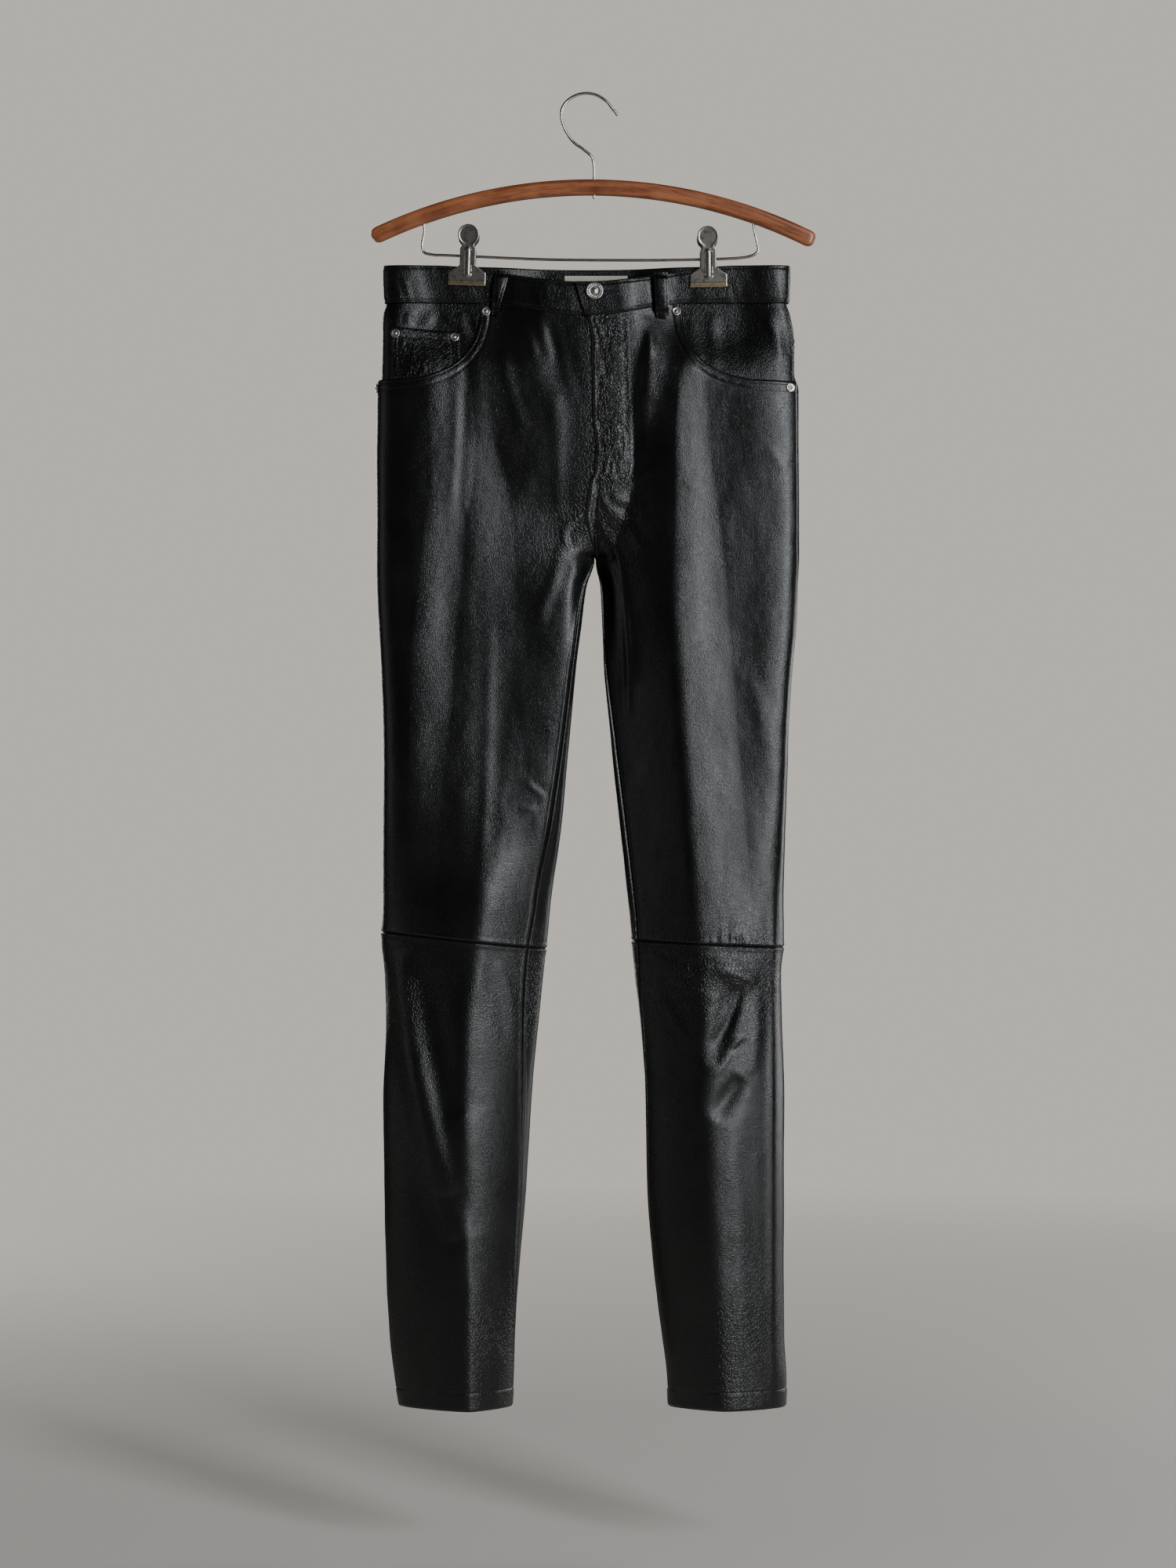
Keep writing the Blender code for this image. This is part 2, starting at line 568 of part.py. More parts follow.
def thigh_rows(top, knee):
    """Shares of the way from each column's top to the knee, with a row at the crotch."""
    crotch = (CROTCH - top) / (knee - top)
    above = np.array(ROWS_ABOVE_CROTCH) * crotch
    below = np.linspace(crotch, 1.0, ROWS_BELOW_CROTCH + 1)[1:]
    return np.concatenate([above, below])


def mouth_curve(side, share):
    """Front-view places on a pocket mouth: share 0 at the waist seam and 1 at the side seam."""
    mouth = MOUTH[side]
    top = band_edges(np.array(mouth["start"]), False)[1]
    turn = share * math.pi / 2
    x = mouth["end"] + (mouth["start"] - mouth["end"]) * np.cos(turn) ** (2 / mouth["power"])
    z = top + (mouth["bottom"] - top) * np.sin(turn) ** (2 / mouth["power"])
    return x, z


def front_top_edge(side):
    """Places (w, z) along a front panel's top: the waist seam and then the pocket mouth."""
    mouth_x, mouth_z = mouth_curve(side, np.array(MOUTH_SHARES))
    seam_x = np.linspace(0.003, mouth_x[0], FRONT_TOP_COLUMNS + 1)
    seam_x = np.insert(seam_x, 1, 0.003 + SIGN[side] * 0.004)
    seam_z = band_edges(seam_x, False)[1] - TOP_GAP
    seam_w = w_at_x(side, seam_x, seam_z)
    seam_w[0] = front_inner(side, seam_z[0])
    mouth_w = w_at_x(side, mouth_x[1:], mouth_z[1:])
    end_w = float(outseam(side, MOUTH[side]["bottom"]))
    edge_w = mouth_w[-1] + (end_w - mouth_w[-1]) * np.array(MOUTH_EDGE_SHARES)
    edge_z = mouth_z[-1] + (MOUTH[side]["bottom"] - mouth_z[-1]) * np.array(MOUTH_EDGE_SHARES)
    return np.concatenate([seam_w, mouth_w, edge_w]), np.concatenate([seam_z, mouth_z[1:], edge_z])


def grid_between(side, top_share, top_z, rows, low_z, inner_edge, outer_edge):
    """A grid of (w, z) whose columns run from a panel's top edge to its bottom edge."""
    columns = len(top_z)
    even = np.linspace(0.0, 1.0, columns)
    share = rows[:, None]
    z = top_z[None, :] * (1.0 - share) + low_z[None, :] * share
    fan = ease(share, 0.0, 0.7)
    place = top_share[None, :] * (1.0 - fan) + even[None, :] * fan
    first = inner_edge(side, z)
    last = outer_edge(side, z)
    return first + (last - first) * place, z


def make_front_thigh(side, finish, where):
    top_w, top_z = front_top_edge(side)
    first = front_inner(side, top_z)
    last = outseam(side, top_z)
    top_share = (top_w - first) / (last - first)
    columns = np.linspace(0.0, 1.0, len(top_w))
    low_w = section_value(side, "inseam", KNEE[side]["inner"])
    low_w = low_w + (1.0 - low_w) * columns
    knee_x = base_point(side, low_w, np.full_like(low_w, KNEE[side]["crest"]))[:, 0]
    low_z = knee_height(side, knee_x)
    rows = thigh_rows(top_z[0], low_z[0])
    w, z = grid_between(side, top_share, top_z, rows, low_z, front_inner, outseam)
    recess = -fly_raise(np.abs(w), z) if side == "left" else 0.0
    seams = ("bottom", "first", "last")
    return cloth_wall("front_thigh_" + side, side, w, z, recess, WALL, seams, finish, where)


def back_inner(side, z):
    """The back panel's inner edge: the centre back above the crotch and the inseam below it."""
    return 2.0 + np.where(z > JOINED, 0.0, section_value(side, "inseam", z))


def yoke_seam(side, share):
    """Height of the yoke seam: share 0 at the centre back and 1 at the side."""
    return YOKE_CENTRE + (YOKE_SIDE - YOKE_CENTRE) * share


def make_back_thigh(side, finish, where):
    share = np.linspace(0.0, 1.0, BACK_COLUMNS)
    top_z = yoke_seam(side, share)
    low_first = back_inner(side, KNEE[side]["inner"])
    low_w = low_first + (1.0 - low_first) * share
    knee_x = base_point(side, low_w, np.full_like(low_w, KNEE[side]["crest"]))[:, 0]
    low_z = knee_height(side, knee_x)
    rows = thigh_rows(top_z[0], low_z[0])
    w, z = grid_between(side, share, top_z, rows, low_z, back_inner, outseam)
    recess = side_recess(w, z)
    seams = ("top", "bottom", "first", "last")
    return cloth_wall("back_thigh_" + side, side, w, z, recess, WALL, seams, finish, where)


def make_yoke(side, finish, where):
    share = np.linspace(0.0, 1.0, BACK_COLUMNS)
    low_z = yoke_seam(side, share)
    rows = np.linspace(0.0, 1.0, 4)
    x = base_point(side, 2.0 - share, np.full_like(share, BAND_SEAM))[:, 0]
    top_z = band_edges(x, True)[1] - TOP_GAP
    w, z = grid_between(side, share, top_z, rows, low_z, back_inner, outseam)
    seams = ("bottom", "first", "last")
    return cloth_wall("yoke_" + side, side, w, z, side_recess(w, z), WALL, seams, finish, where)


def make_shin(face, side, finish, where):
    share = np.linspace(0.0, 1.0, SHIN_COLUMNS)
    edge = front_inner if face == "front" else back_inner
    low_first = edge(side, KNEE[side]["inner"])
    knee_w = low_first + (1.0 - low_first) * share
    knee_x = base_point(side, knee_w, np.full_like(knee_w, KNEE[side]["crest"]))[:, 0]
    top_z = knee_height(side, knee_x)
    rows = np.linspace(0.0, 1.0, SHIN_ROWS)
    low_z = np.full_like(top_z, HEM)
    w, z = grid_between(side, share, top_z, rows, low_z, edge, outseam)
    seams = ("top", "first", "last")
    name = face + "_shin_" + side
    return cloth_wall(name, side, w, z, 0.0, WALL, seams, finish, where)


def make_facing(side, finish, where):
    """The hip panel that shows in the pocket mouth and runs on under the front."""
    mouth = MOUTH[side]
    inner_x = mouth["start"] - SIGN[side] * FACING_UNDERLAP
    low = mouth["bottom"] - FACING_UNDERLAP
    share = np.linspace(0.0, 1.0, 10)
    rows = np.linspace(0.0, 1.0, 8)
    top_x = inner_x + (section_value(side, "outer", BAND_SEAM) - inner_x) * share
    top_z = band_edges(top_x, False)[1] - TOP_GAP
    z = top_z[None, :] * (1.0 - rows[:, None]) + low * rows[:, None]
    first = np.array([w_at_x(side, inner_x, one)[0] for one in z[:, 0]])[:, None]
    last = outseam(side, z)
    w = first + (last - first) * share[None, :]
    recess = facing_recess(z)
    return cloth_wall("pocket_facing_" + side, side, w, z, recess, WALL, ("last",), finish, where)


def make_coin_pocket(finish, where):
    """The small patch pocket on the right facing, whose foot goes under the front."""
    across = np.linspace(0.0, 1.0, COIN_COLUMNS)[None, :]
    down = np.linspace(0.0, 1.0, COIN_ROWS)[:, None]
    top_z = COIN["top_in"][1] * (1.0 - across) + COIN["top_out"][1] * across
    low_z = COIN["low_in"][1] * (1.0 - across) + COIN["low_out"][1] * across
    z = top_z * (1.0 - down) + low_z * down
    in_x = COIN["top_in"][0] * (1.0 - down) + COIN["low_in"][0] * down
    out_x = COIN["top_out"][0] * (1.0 - down) + COIN["low_out"][0] * down
    in_w = w_at_x("right", in_x, z[:, :1]).reshape(-1, 1)
    out_w = w_at_x("right", out_x, z[:, -1:]).reshape(-1, 1)
    w = in_w * (1.0 - across) + out_w * across
    recess = facing_recess(z) - COIN_GAP - COIN_WALL
    return cloth_wall("coin_pocket", "right", w, z, recess, COIN_WALL, (), finish, where)


def band_path():
    """Places along the waistband from its under end, round the body, to its over end."""
    over_w = w_at_x("right", BAND_OVER_END, BAND_TOP)[0]
    under_w = w_at_x("left", BAND_UNDER_END, BAND_TOP)[0]
    stops = [("left", under_w, 0.0, 4)]
    stops += [("right", 0.0, 1.0, BAND_STATIONS), ("right", 1.0, 2.0, BAND_STATIONS - 4)]
    stops += [("left", 2.0, 1.0, BAND_STATIONS - 4), ("left", 1.0, 0.0, BAND_STATIONS)]
    stops += [("right", 0.0, over_w, 3)]
    places = []
    for k, (side, start, end, count) in enumerate(stops):
        steps = np.linspace(start, end, count)
        is_last = k == len(stops) - 1
        places += [(side, w, k) for w in (steps if is_last else steps[:-1])]
    return places


def band_raise(k, side, x):
    """The over end of the band stands clear of the under end."""
    full = BAND_OUT + BAND_IN + BAND_UNDER_GAP
    if k == 5:
        return full
    if k == 4:
        return full * float(1.0 - ease(x, BAND_UNDER_END + 0.006, BAND_UNDER_END + 0.040))
    return 0.0


def make_waistband(finish, where):
    """The band as one long strip: six points a station, from one end to the other."""
    rings = []
    for side, w, k in band_path():
        is_back = 1.0 < w < 2.0 or w in (2.0,)
        x_here = float(base_point(side, w, BAND_SEAM)[0])
        top, low = (float(v) for v in band_edges(np.array(x_here), is_back))
        lift = band_raise(k, side, x_here)
        ring = []
        for offset, order in ((BAND_OUT, (0.0, 0.5, 1.0)), (-BAND_IN, (1.0, 0.5, 0.0))):
            for share in order:
                z = np.array(top + (low - top) * share)
                place = base_point(side, np.array(w), z)
                normal = band_normal(side, w, z)
                ring.append(place + normal * (offset + lift))
        rings.append(ring)
    return strip("waistband", np.array(rings), finish, where)


def band_normal(side, w, z):
    """The band's normal, level and without the folds' small changes in height."""
    dw = 0.01
    ahead = base_point(side, np.array(min(w + dw, 2.0)), z)
    behind = base_point(side, np.array(max(w - dw, 0.0)), z)
    along = ahead - behind
    normal = np.array([along[1], -along[0], 0.0]) * SIGN[side]
    return normal / np.linalg.norm(normal)


def strip(name, rings, finish, where):
    """A closed body through rings of points, with a flat cap at each end."""
    count = rings.shape[1]
    mesh = bpy.data.meshes.new(name)
    faces = []
    for i in range(len(rings) - 1):
        for j in range(count):
            a = i * count + j
            b = i * count + (j + 1) % count
            faces.append((a, b, b + count, a + count))
    faces.append(tuple(range(count)))
    faces.append(tuple(range((len(rings) - 1) * count, len(rings) * count)))
    mesh.from_pydata([tuple(map(float, p)) for p in rings.reshape(-1, 3)], [], faces)
    shape = bmesh.new()
    shape.from_mesh(mesh)
    bmesh.ops.recalc_face_normals(shape, faces=shape.faces)
    shape.to_mesh(mesh)
    shape.free()
    return add_object(name, mesh, finish, where)


def front_place(x, z, made, is_back=False):
    """The point of a made piece that is nearest the viewer at (x, z), and the normal there."""
    hand = 1.0 if is_back else -1.0
    start = Vector((x, hand, z))
    found, point, normal, _ = made.ray_cast(start, Vector((0.0, -hand, 0.0)))
    return np.array(point), np.array(normal)


# Belt loops: the middle of each at the top and at the bottom, and the face that it is on
LOOP_COLUMNS = ("name", "face", "top_x", "low_x", "width")
LOOPS = (
    ("belt_loop_right", "front", -0.0801, -0.0893, 0.0088),
    ("belt_loop_left", "front", 0.0728, 0.0752, 0.0132),
    ("belt_loop_back", "back", 0.0220, 0.0215, 0.0120),
)
LOOP_SEATS = {
    "front": ("waistband", "front_thigh_right", "front_thigh_left"),
    "back": ("waistband", "yoke_right", "yoke_left"),
}
LOOP_THICK = 0.0016
LOOP_STAND = 0.0047
LOOP_ABOVE = 0.0012
LOOP_BELOW = 0.0110
LOOP_SHARES = np.array([0.0, 0.06, 0.16, 0.28, 0.5, 0.70, 0.78, 0.92, 1.0])


def make_loop(row, seats, finish, where):
    """A belt loop: a strip sewn down at both ends and standing off the band between them."""
    loop = dict(zip(LOOP_COLUMNS, row))
    is_back = loop["face"] == "back"
    hand = 1.0 if is_back else -1.0
    top, _ = (float(v) for v in band_edges(np.array(loop["top_x"]), is_back))
    _, low = (float(v) for v in band_edges(np.array(loop["low_x"]), is_back))
    stand = LOOP_STAND * (ease(LOOP_SHARES, 0.06, 0.16) - ease(LOOP_SHARES, 0.78, 0.92))
    seat = hand * loop_seat(is_back, loop, top, low, seats)
    outer = []
    inner = []
    for share, off in zip(LOOP_SHARES, stand):
        z = top + LOOP_ABOVE + (low - LOOP_BELOW - top - LOOP_ABOVE) * share
        x = loop["top_x"] + (loop["low_x"] - loop["top_x"]) * share
        floor = seat + off * hand
        roof = floor + LOOP_THICK * hand
        left_x = x - loop["width"] / 2
        right_x = x + loop["width"] / 2
        outer.append([(left_x, roof, z), (right_x, roof, z)])
        inner.append([(left_x, floor, z), (right_x, floor, z)])
    return wall(loop["name"], np.array(outer), np.array(inner), finish, where)


def loop_seat(is_back, loop, top, low, seats):
    """How far from the middle plane a loop's sewn ends sit, just clear of what is under them."""
    furthest = 0.0
    for share in np.linspace(0.02, 1.0, 9):
        x = loop["top_x"] + (loop["low_x"] - loop["top_x"]) * share
        z = top + (low - LOOP_BELOW - top) * share
        for shift in (-0.5, 0.0, 0.5):
            for seat in seats:
                point, _ = front_place(x + shift * loop["width"], z, seat, is_back)
                furthest = max(furthest, abs(float(point[1])))
    return furthest + LAYER_GAP


def turned(name, outline, sides, finish, where, is_ring=False):
    """A turned piece: its outline of (radius, height) pairs, spun with a Screw modifier."""
    mesh = bpy.data.meshes.new(name)
    points = [(radius, 0.0, height) for radius, height in outline]
    edges = [(k, k + 1) for k in range(len(points) - 1)]
    edges += [(len(points) - 1, 0)] if is_ring else []
    mesh.from_pydata(points, edges, [])
    made = add_object(name, mesh, finish, where)
    spin = made.modifiers.new("spin", "SCREW")
    spin.steps = sides
    spin.render_steps = sides
    spin.use_merge_vertices = True
    spin.merge_threshold = 0.00001
    return made


def seat_on(made, point, normal, lift):
    """Puts a turned piece on a surface, its own +Z along the normal."""
    direction = Vector(map(float, normal))
    made.rotation_mode = "QUATERNION"
    made.rotation_quaternion = direction.to_track_quat("Z", "Y")
    made.location = Vector(map(float, point)) + direction * lift


BUTTON_X = 0.0078
BUTTON_Z = -0.1955
BUTTON_RADIUS = 0.0085
RIVET_RADIUS = 0.0046
RIVET_LIFT = 0.0005


def make_button(band, finish, where):
    r = BUTTON_RADIUS
    outline = [(0.0, 0.0028), (0.0030, 0.0026), (0.0040, 0.0020), (r - 0.0014, 0.0021)]
    outline += [(r - 0.0005, 0.0026), (r, 0.0016), (r - 0.0006, 0.0004), (0.0, 0.0)]
    made = turned("button", outline, 20, finish, where)
    point, normal = front_place(BUTTON_X, BUTTON_Z, band)
    seat_on(made, point, normal, LAYER_GAP)


# Rivets: where each sits in the front view, and the piece under it
RIVET_COLUMNS = ("name", "x", "z", "on")
RIVETS = (
    ("rivet_coin_outer", -0.1868, -0.2362, "coin_pocket"),
    ("rivet_coin_inner", -0.1292, -0.2392, "coin_pocket"),
    ("rivet_mouth_right", -0.0985, -0.2133, "front_thigh_right"),
    ("rivet_mouth_left", 0.0882, -0.2133, "front_thigh_left"),
    ("rivet_side_left", 0.1990, -0.2900, "front_thigh_left"),
)
HIDDEN_RIVET = {"name": "rivet_side_right", "w": 0.955, "z": -0.2900}


def rivet_outline():
    r = RIVET_RADIUS
    return [(0.0, 0.0013), (0.0013, 0.0009), (r * 0.8, 0.0009), (r, 0.0003), (0.0, 0.0)]


def make_rivets(pieces, finish, where):
    for row in RIVETS:
        rivet = dict(zip(RIVET_COLUMNS, row))
        point, normal = front_place(rivet["x"], rivet["z"], pieces[rivet["on"]])
        made = turned(rivet["name"], rivet_outline(), 12, finish, where)
        seat_on(made, point, normal, RIVET_LIFT)
    near = cloth_point("right", np.array(HIDDEN_RIVET["w"]), np.array(HIDDEN_RIVET["z"]))
    seat = pieces["front_thigh_right"].closest_point_on_mesh(Vector(map(float, near)))
    made = turned(HIDDEN_RIVET["name"], rivet_outline(), 12, finish, where)
    seat_on(made, seat[1], seat[2], RIVET_LIFT)


LABEL_X = (-0.0215, 0.0405)
LABEL_Z = (-0.1765, -0.1985)
LABEL_THICK = 0.0006


def make_label(finish, where):
    """The plain woven label on the inside of the back of the waistband."""
    columns = np.linspace(*LABEL_X, 7)
    rows = np.linspace(*LABEL_Z, 3)
    outer = np.zeros((3, 7, 3))
    inner = np.zeros((3, 7, 3))
    for i, z in enumerate(rows):
        for j, x in enumerate(columns):
            side = "right" if x < 0.003 else "left"
            w = 2.0 - w_at_x(side, x, z)[0]
            y = float(base_point(side, np.array(w), np.array(z))[1]) - BAND_IN
            outer[i, j] = (x, y - LAYER_GAP - LABEL_THICK, z)
            inner[i, j] = (x, y - LAYER_GAP, z)
    return wall("label", outer, inner, finish, where)


# Hanger
BAR_DROP = 0.0495
BAR_HALF = 0.214
BAR_MIDDLE = (0.003, -0.0910)
BAR_TALL = 0.0155
BAR_DEEP = 0.0130
BAR_ROUND = 0.0035
BAR_TILT = math.radians(0.5)
HOOK_RADIUS = 0.0015
WIRE_RADIUS = 0.0014
STEM_X = 0.0072
HOLE_CLEAR = 0.0003
HOOK_ROUTE = (
    (0.0072, -0.1010),
    (0.0072, -0.0900),
    (0.0072, -0.0720),
    (0.0049, -0.0610),
    (-0.0030, -0.0536),
    (-0.0130, -0.0463),
    (-0.0203, -0.0362),
    (-0.0246, -0.0245),
    (-0.0241, -0.0140),
    (-0.0189, -0.0060),
    (-0.0102, -0.0004),
    (0.0000, 0.0015),
    (0.0100, -0.0003),
    (0.0190, -0.0060),
    (0.0248, -0.0130),
    (0.0300, -0.0195),
)
WIRE_ROUTE = (
    (-0.1600, -0.1205),
    (-0.1600, -0.1270),
    (-0.1595, -0.1355),
    (-0.1617, -0.1470),
    (-0.1597, -0.1545),
    (-0.1510, -0.1570),
    (-0.1400, -0.1575),
    (-0.1163, -0.1585),
    (-0.0700, -0.1606),
    (-0.0190, -0.1621),
    (0.0680, -0.1624),
    (0.1193, -0.1615),
    (0.1480, -0.1603),
    (0.1620, -0.1580),
    (0.1683, -0.1530),
    (0.1668, -0.1430),
    (0.1642, -0.1310),
    (0.1640, -0.1240),
)


def smooth_route(route, steps):
    """A smooth curve through the points of a route, with some steps between each two."""
    points = np.array(route, float)
    ends = np.vstack([2 * points[0] - points[1], points, 2 * points[-1] - points[-2]])
    made = []
    for k in range(len(points) - 1):
        a, b, c, d = ends[k : k + 4]
        for t in np.arange(steps) / steps:
            bend = 2 * a - 5 * b + 4 * c - d
            twist = 3 * b - a - 3 * c + d
            made.append(0.5 * (2 * b + (c - a) * t + bend * t**2 + twist * t**3))
    return np.vstack([made, points[-1:]])


def solid_wire(name, route, radius, steps, finish, where):
    """A round wire in the middle plane, made a closed mesh."""
    places = smooth_route(route, steps)
    line = bpy.data.curves.new(name, "CURVE")
    line.dimensions = "3D"
    line.bevel_depth = radius
    line.bevel_resolution = 2
    line.use_fill_caps = True
    spline = line.splines.new("POLY")
    spline.points.add(len(places) - 1)
    for point, (x, z) in zip(spline.points, places):
        point.co = (x, 0.0, z, 1.0)
    return curve_to_mesh(name, line, finish, where)


def curve_to_mesh(name, line, finish, where):
    """Turns a curve into a mesh object with its caps welded on."""
    guide = bpy.data.objects.new(name + "_guide", line)
    bpy.context.scene.collection.objects.link(guide)
    bpy.context.view_layer.update()
    evaluated = guide.evaluated_get(bpy.context.evaluated_depsgraph_get())
    mesh = bpy.data.meshes.new_from_object(evaluated)
    mesh.transform(guide.matrix_world)
    bpy.data.objects.remove(guide)
    shape = bmesh.new()
    shape.from_mesh(mesh)
    bmesh.ops.remove_doubles(shape, verts=shape.verts, dist=0.00001)
    bmesh.ops.recalc_face_normals(shape, faces=shape.faces)
    shape.to_mesh(mesh)
    shape.free()
    mesh.name = name
    mesh.materials.clear()
    return add_object(name, mesh, finish, where)


def outline_plate(name, outline, half, edge, finish, where):
    """A flat plate in the XZ plane from an outline of (x, z) points, with rounded edges."""
    line = bpy.data.curves.new(name, "CURVE")
    line.dimensions = "2D"
    line.fill_mode = "BOTH"
    line.extrude = half - edge
    line.bevel_depth = edge
    line.bevel_resolution = 0
    line.offset = -edge
    spline = line.splines.new("POLY")
    spline.points.add(len(outline) - 1)
    for point, (x, z) in zip(spline.points, outline):
        point.co = (x, z, 0.0, 1.0)
    spline.use_cyclic_u = True
    made = curve_to_mesh(name, line, finish, where)
    made.data.transform(Matrix.Rotation(math.pi / 2, 4, "X"))
    return made


def bar_outline():
    """The bar's front-view outline: two arcs about one centre, with rounded ends."""
    radius = (BAR_HALF**2 + BAR_DROP**2) / (2 * BAR_DROP)
    reach = math.asin(BAR_HALF / radius)
    cx, cz = BAR_MIDDLE[0], BAR_MIDDLE[1] - radius
    turns = np.linspace(-reach, reach, 27)
    top = [(radius + BAR_TALL / 2, a) for a in turns]
    low = [(radius - BAR_TALL / 2, a) for a in turns[::-1]]
    nose = [(radius + s * BAR_TALL * 0.30, reach + 0.0075) for s in (1, -1)]
    tail = [(radius + s * BAR_TALL * 0.30, -reach - 0.0075) for s in (-1, 1)]
    points = []
    for r, a in [*top, *nose, *low, *tail]:
        turn = a + BAR_TILT
        points.append((cx + r * math.sin(turn), cz + r * math.cos(turn)))
    return points


def cutter(name, location, radius, height, where):
    bpy.ops.mesh.primitive_cylinder_add(vertices=16, radius=radius, depth=height, location=location)
    made = bpy.context.object
    made.name = name
    for user in list(made.users_collection):
        user.objects.unlink(made)
    where.objects.link(made)
    made.hide_render = True
    made.display_type = "WIRE"
    return made


def cut(made, tool):
    modifier = made.modifiers.new("cut_" + tool.name, "BOOLEAN")
    modifier.operation = "DIFFERENCE"
    modifier.object = tool


def unite(made, tool):
    modifier = made.modifiers.new("join_" + tool.name, "BOOLEAN")
    modifier.operation = "UNION"
    modifier.object = tool
    tool.hide_render = True
    tool.display_type = "WIRE"


def make_hanger(wood, steel, where, cutters):
    bar = outline_plate("hanger_bar", bar_outline(), BAR_DEEP / 2, BAR_ROUND, wood, where)
    stem = (STEM_X, 0.0, BAR_MIDDLE[1])
    cut(bar, cutter("stem_hole", stem, HOOK_RADIUS + HOLE_CLEAR, 0.04, cutters))
    for name, route, k in (("hole_right", WIRE_ROUTE, 0), ("hole_left", WIRE_ROUTE, -1)):
        x, z = route[k]
        place = (x, 0.0, z + HOLE_CLEAR - 0.01)
        cut(bar, cutter(name, place, WIRE_RADIUS + HOLE_CLEAR * 2, 0.02, cutters))
    solid_wire("hanger_hook", HOOK_ROUTE, HOOK_RADIUS, 2, steel, where)
    solid_wire("hanger_wire", WIRE_ROUTE, WIRE_RADIUS, 2, steel, where)


# Clips: half-widths of a plate from its head down to its jaw, by height
CLIP_HEAD = {"z": -0.1386, "radius": 0.0104}
CLIP_NECK = (
    (-0.1492, 0.0058),
    (-0.1520, 0.0078),
    (-0.1685, 0.0078),
    (-0.1755, 0.0182),
    (-0.1872, 0.0182),
)
CLIP_THICK = 0.0010
CLIP_JAW_Y = PINCH_HALF + BAND_OUT + SEAM_GAP
CLIP_HEAD_Y = 0.0106
CLIP_TURN = {"right": math.radians(2.0), "left": math.radians(-1.0)}
CLIP_DROP = {"right": 0.0, "left": -0.0018}
LIP_TALL = 0.0040
LIP_THICK = 0.0012
RIB_RADIUS = 0.0026
RIB_Z = (-0.1510, -0.1795)
EAR_WIDE = 0.0008
EAR_REACH = {"front": 0.0074, "back": 0.0058}


def clip_outline():
    """A plate's outline: a round head, a neck, a straight body and a wide jaw."""
    head = []
    for turn in np.linspace(math.radians(-150), math.radians(150), 13):
        x = CLIP_HEAD["radius"] * math.sin(turn)
        head.append((x, CLIP_HEAD["z"] + CLIP_HEAD["radius"] * math.cos(turn)))
    right = [(half, z) for z, half in CLIP_NECK]
    left = [(-half, z) for z, half in reversed(CLIP_NECK)]
    return [*head, *right, *left]


def plain_box(name, low, high, where):
    bpy.ops.mesh.primitive_cube_add(size=1.0)
    made = bpy.context.object
    made.name = name
    size = [b - a for a, b in zip(low, high)]
    middle = [(a + b) / 2 for a, b in zip(low, high)]
    made.data.transform(Matrix.Translation(middle) @ Matrix.Diagonal((*size, 1.0)))
    for user in list(made.users_collection):
        user.objects.unlink(made)
    where.objects.link(made)
    return made


def make_rib(name, where):
    """A long bead: a sphere drawn out between two heights."""
    bpy.ops.mesh.primitive_uv_sphere_add(segments=8, ring_count=6, radius=RIB_RADIUS)
    made = bpy.context.object
    made.name = name
    for vertex in made.data.vertices:
        vertex.co.y *= 0.55
        vertex.co.z += RIB_Z[0] - RIB_RADIUS if vertex.co.z > 0 else RIB_Z[1] + RIB_RADIUS
    for user in list(made.users_collection):
        user.objects.unlink(made)
    where.objects.link(made)
    return made


def make_clip(side, steel, where, cutters):
    """Two plates that lean together at the jaws, with ears on the wire, and the spring."""
    wire_z = float(np.interp(CLIP_X[side], *zip(*WIRE_ROUTE[4:14])))
    for face in ("front", "back"):
        name = "clip_" + side + "_" + face
        plate = outline_plate(name, clip_outline(), CLIP_THICK / 2, 0.0, steel, where)
        low = CLIP_NECK[-1][0]
        half = CLIP_NECK[-1][1]
        lip_low = (-half - 0.0002, -CLIP_THICK / 2 - LIP_THICK, low - 0.0006)
        lip_high = (half + 0.0002, 0.0, low + LIP_TALL)
        unite(plate, plain_box(name + "_lip", lip_low, lip_high, cutters))
        rib = make_rib(name + "_rib", cutters)
        rib.data.transform(Matrix.Translation((0.0, -CLIP_THICK * 0.3, 0.0)))
        unite(plate, rib)
        eye_z = wire_z - CLIP_DROP[side]
        for hand in (-1.0, 1.0):
            x = sorted((hand * EAR_REACH[face], hand * (EAR_REACH[face] - EAR_WIDE)))
            ear_low = (x[0], 0.0, eye_z - 0.0035)
            ear_high = (x[1], CLIP_HEAD_Y + 0.0012, eye_z + 0.0035)
            ear_name = name + ("_ear_a" if hand < 0 else "_ear_b")
            unite(plate, plain_box(ear_name, ear_low, ear_high, cutters))
        place_plate(plate, side, face, wire_z)
        place = (CLIP_X[side], 0.0, wire_z)
        hole = cutter(name + "_hole", place, WIRE_RADIUS + HOLE_CLEAR, 0.024, cutters)
        hole.rotation_euler = (0.0, math.pi / 2 + wire_slope(side), 0.0)
        cut(plate, hole)
    make_spring(side, wire_z, steel, where)


def wire_slope(side):
    """How far the wire falls to +X where it passes through a clip, as an angle."""
    heights = [np.interp(CLIP_X[side] + dx, *zip(*WIRE_ROUTE[4:14])) for dx in (-0.008, 0.008)]
    return math.atan2(heights[0] - heights[1], 0.016)


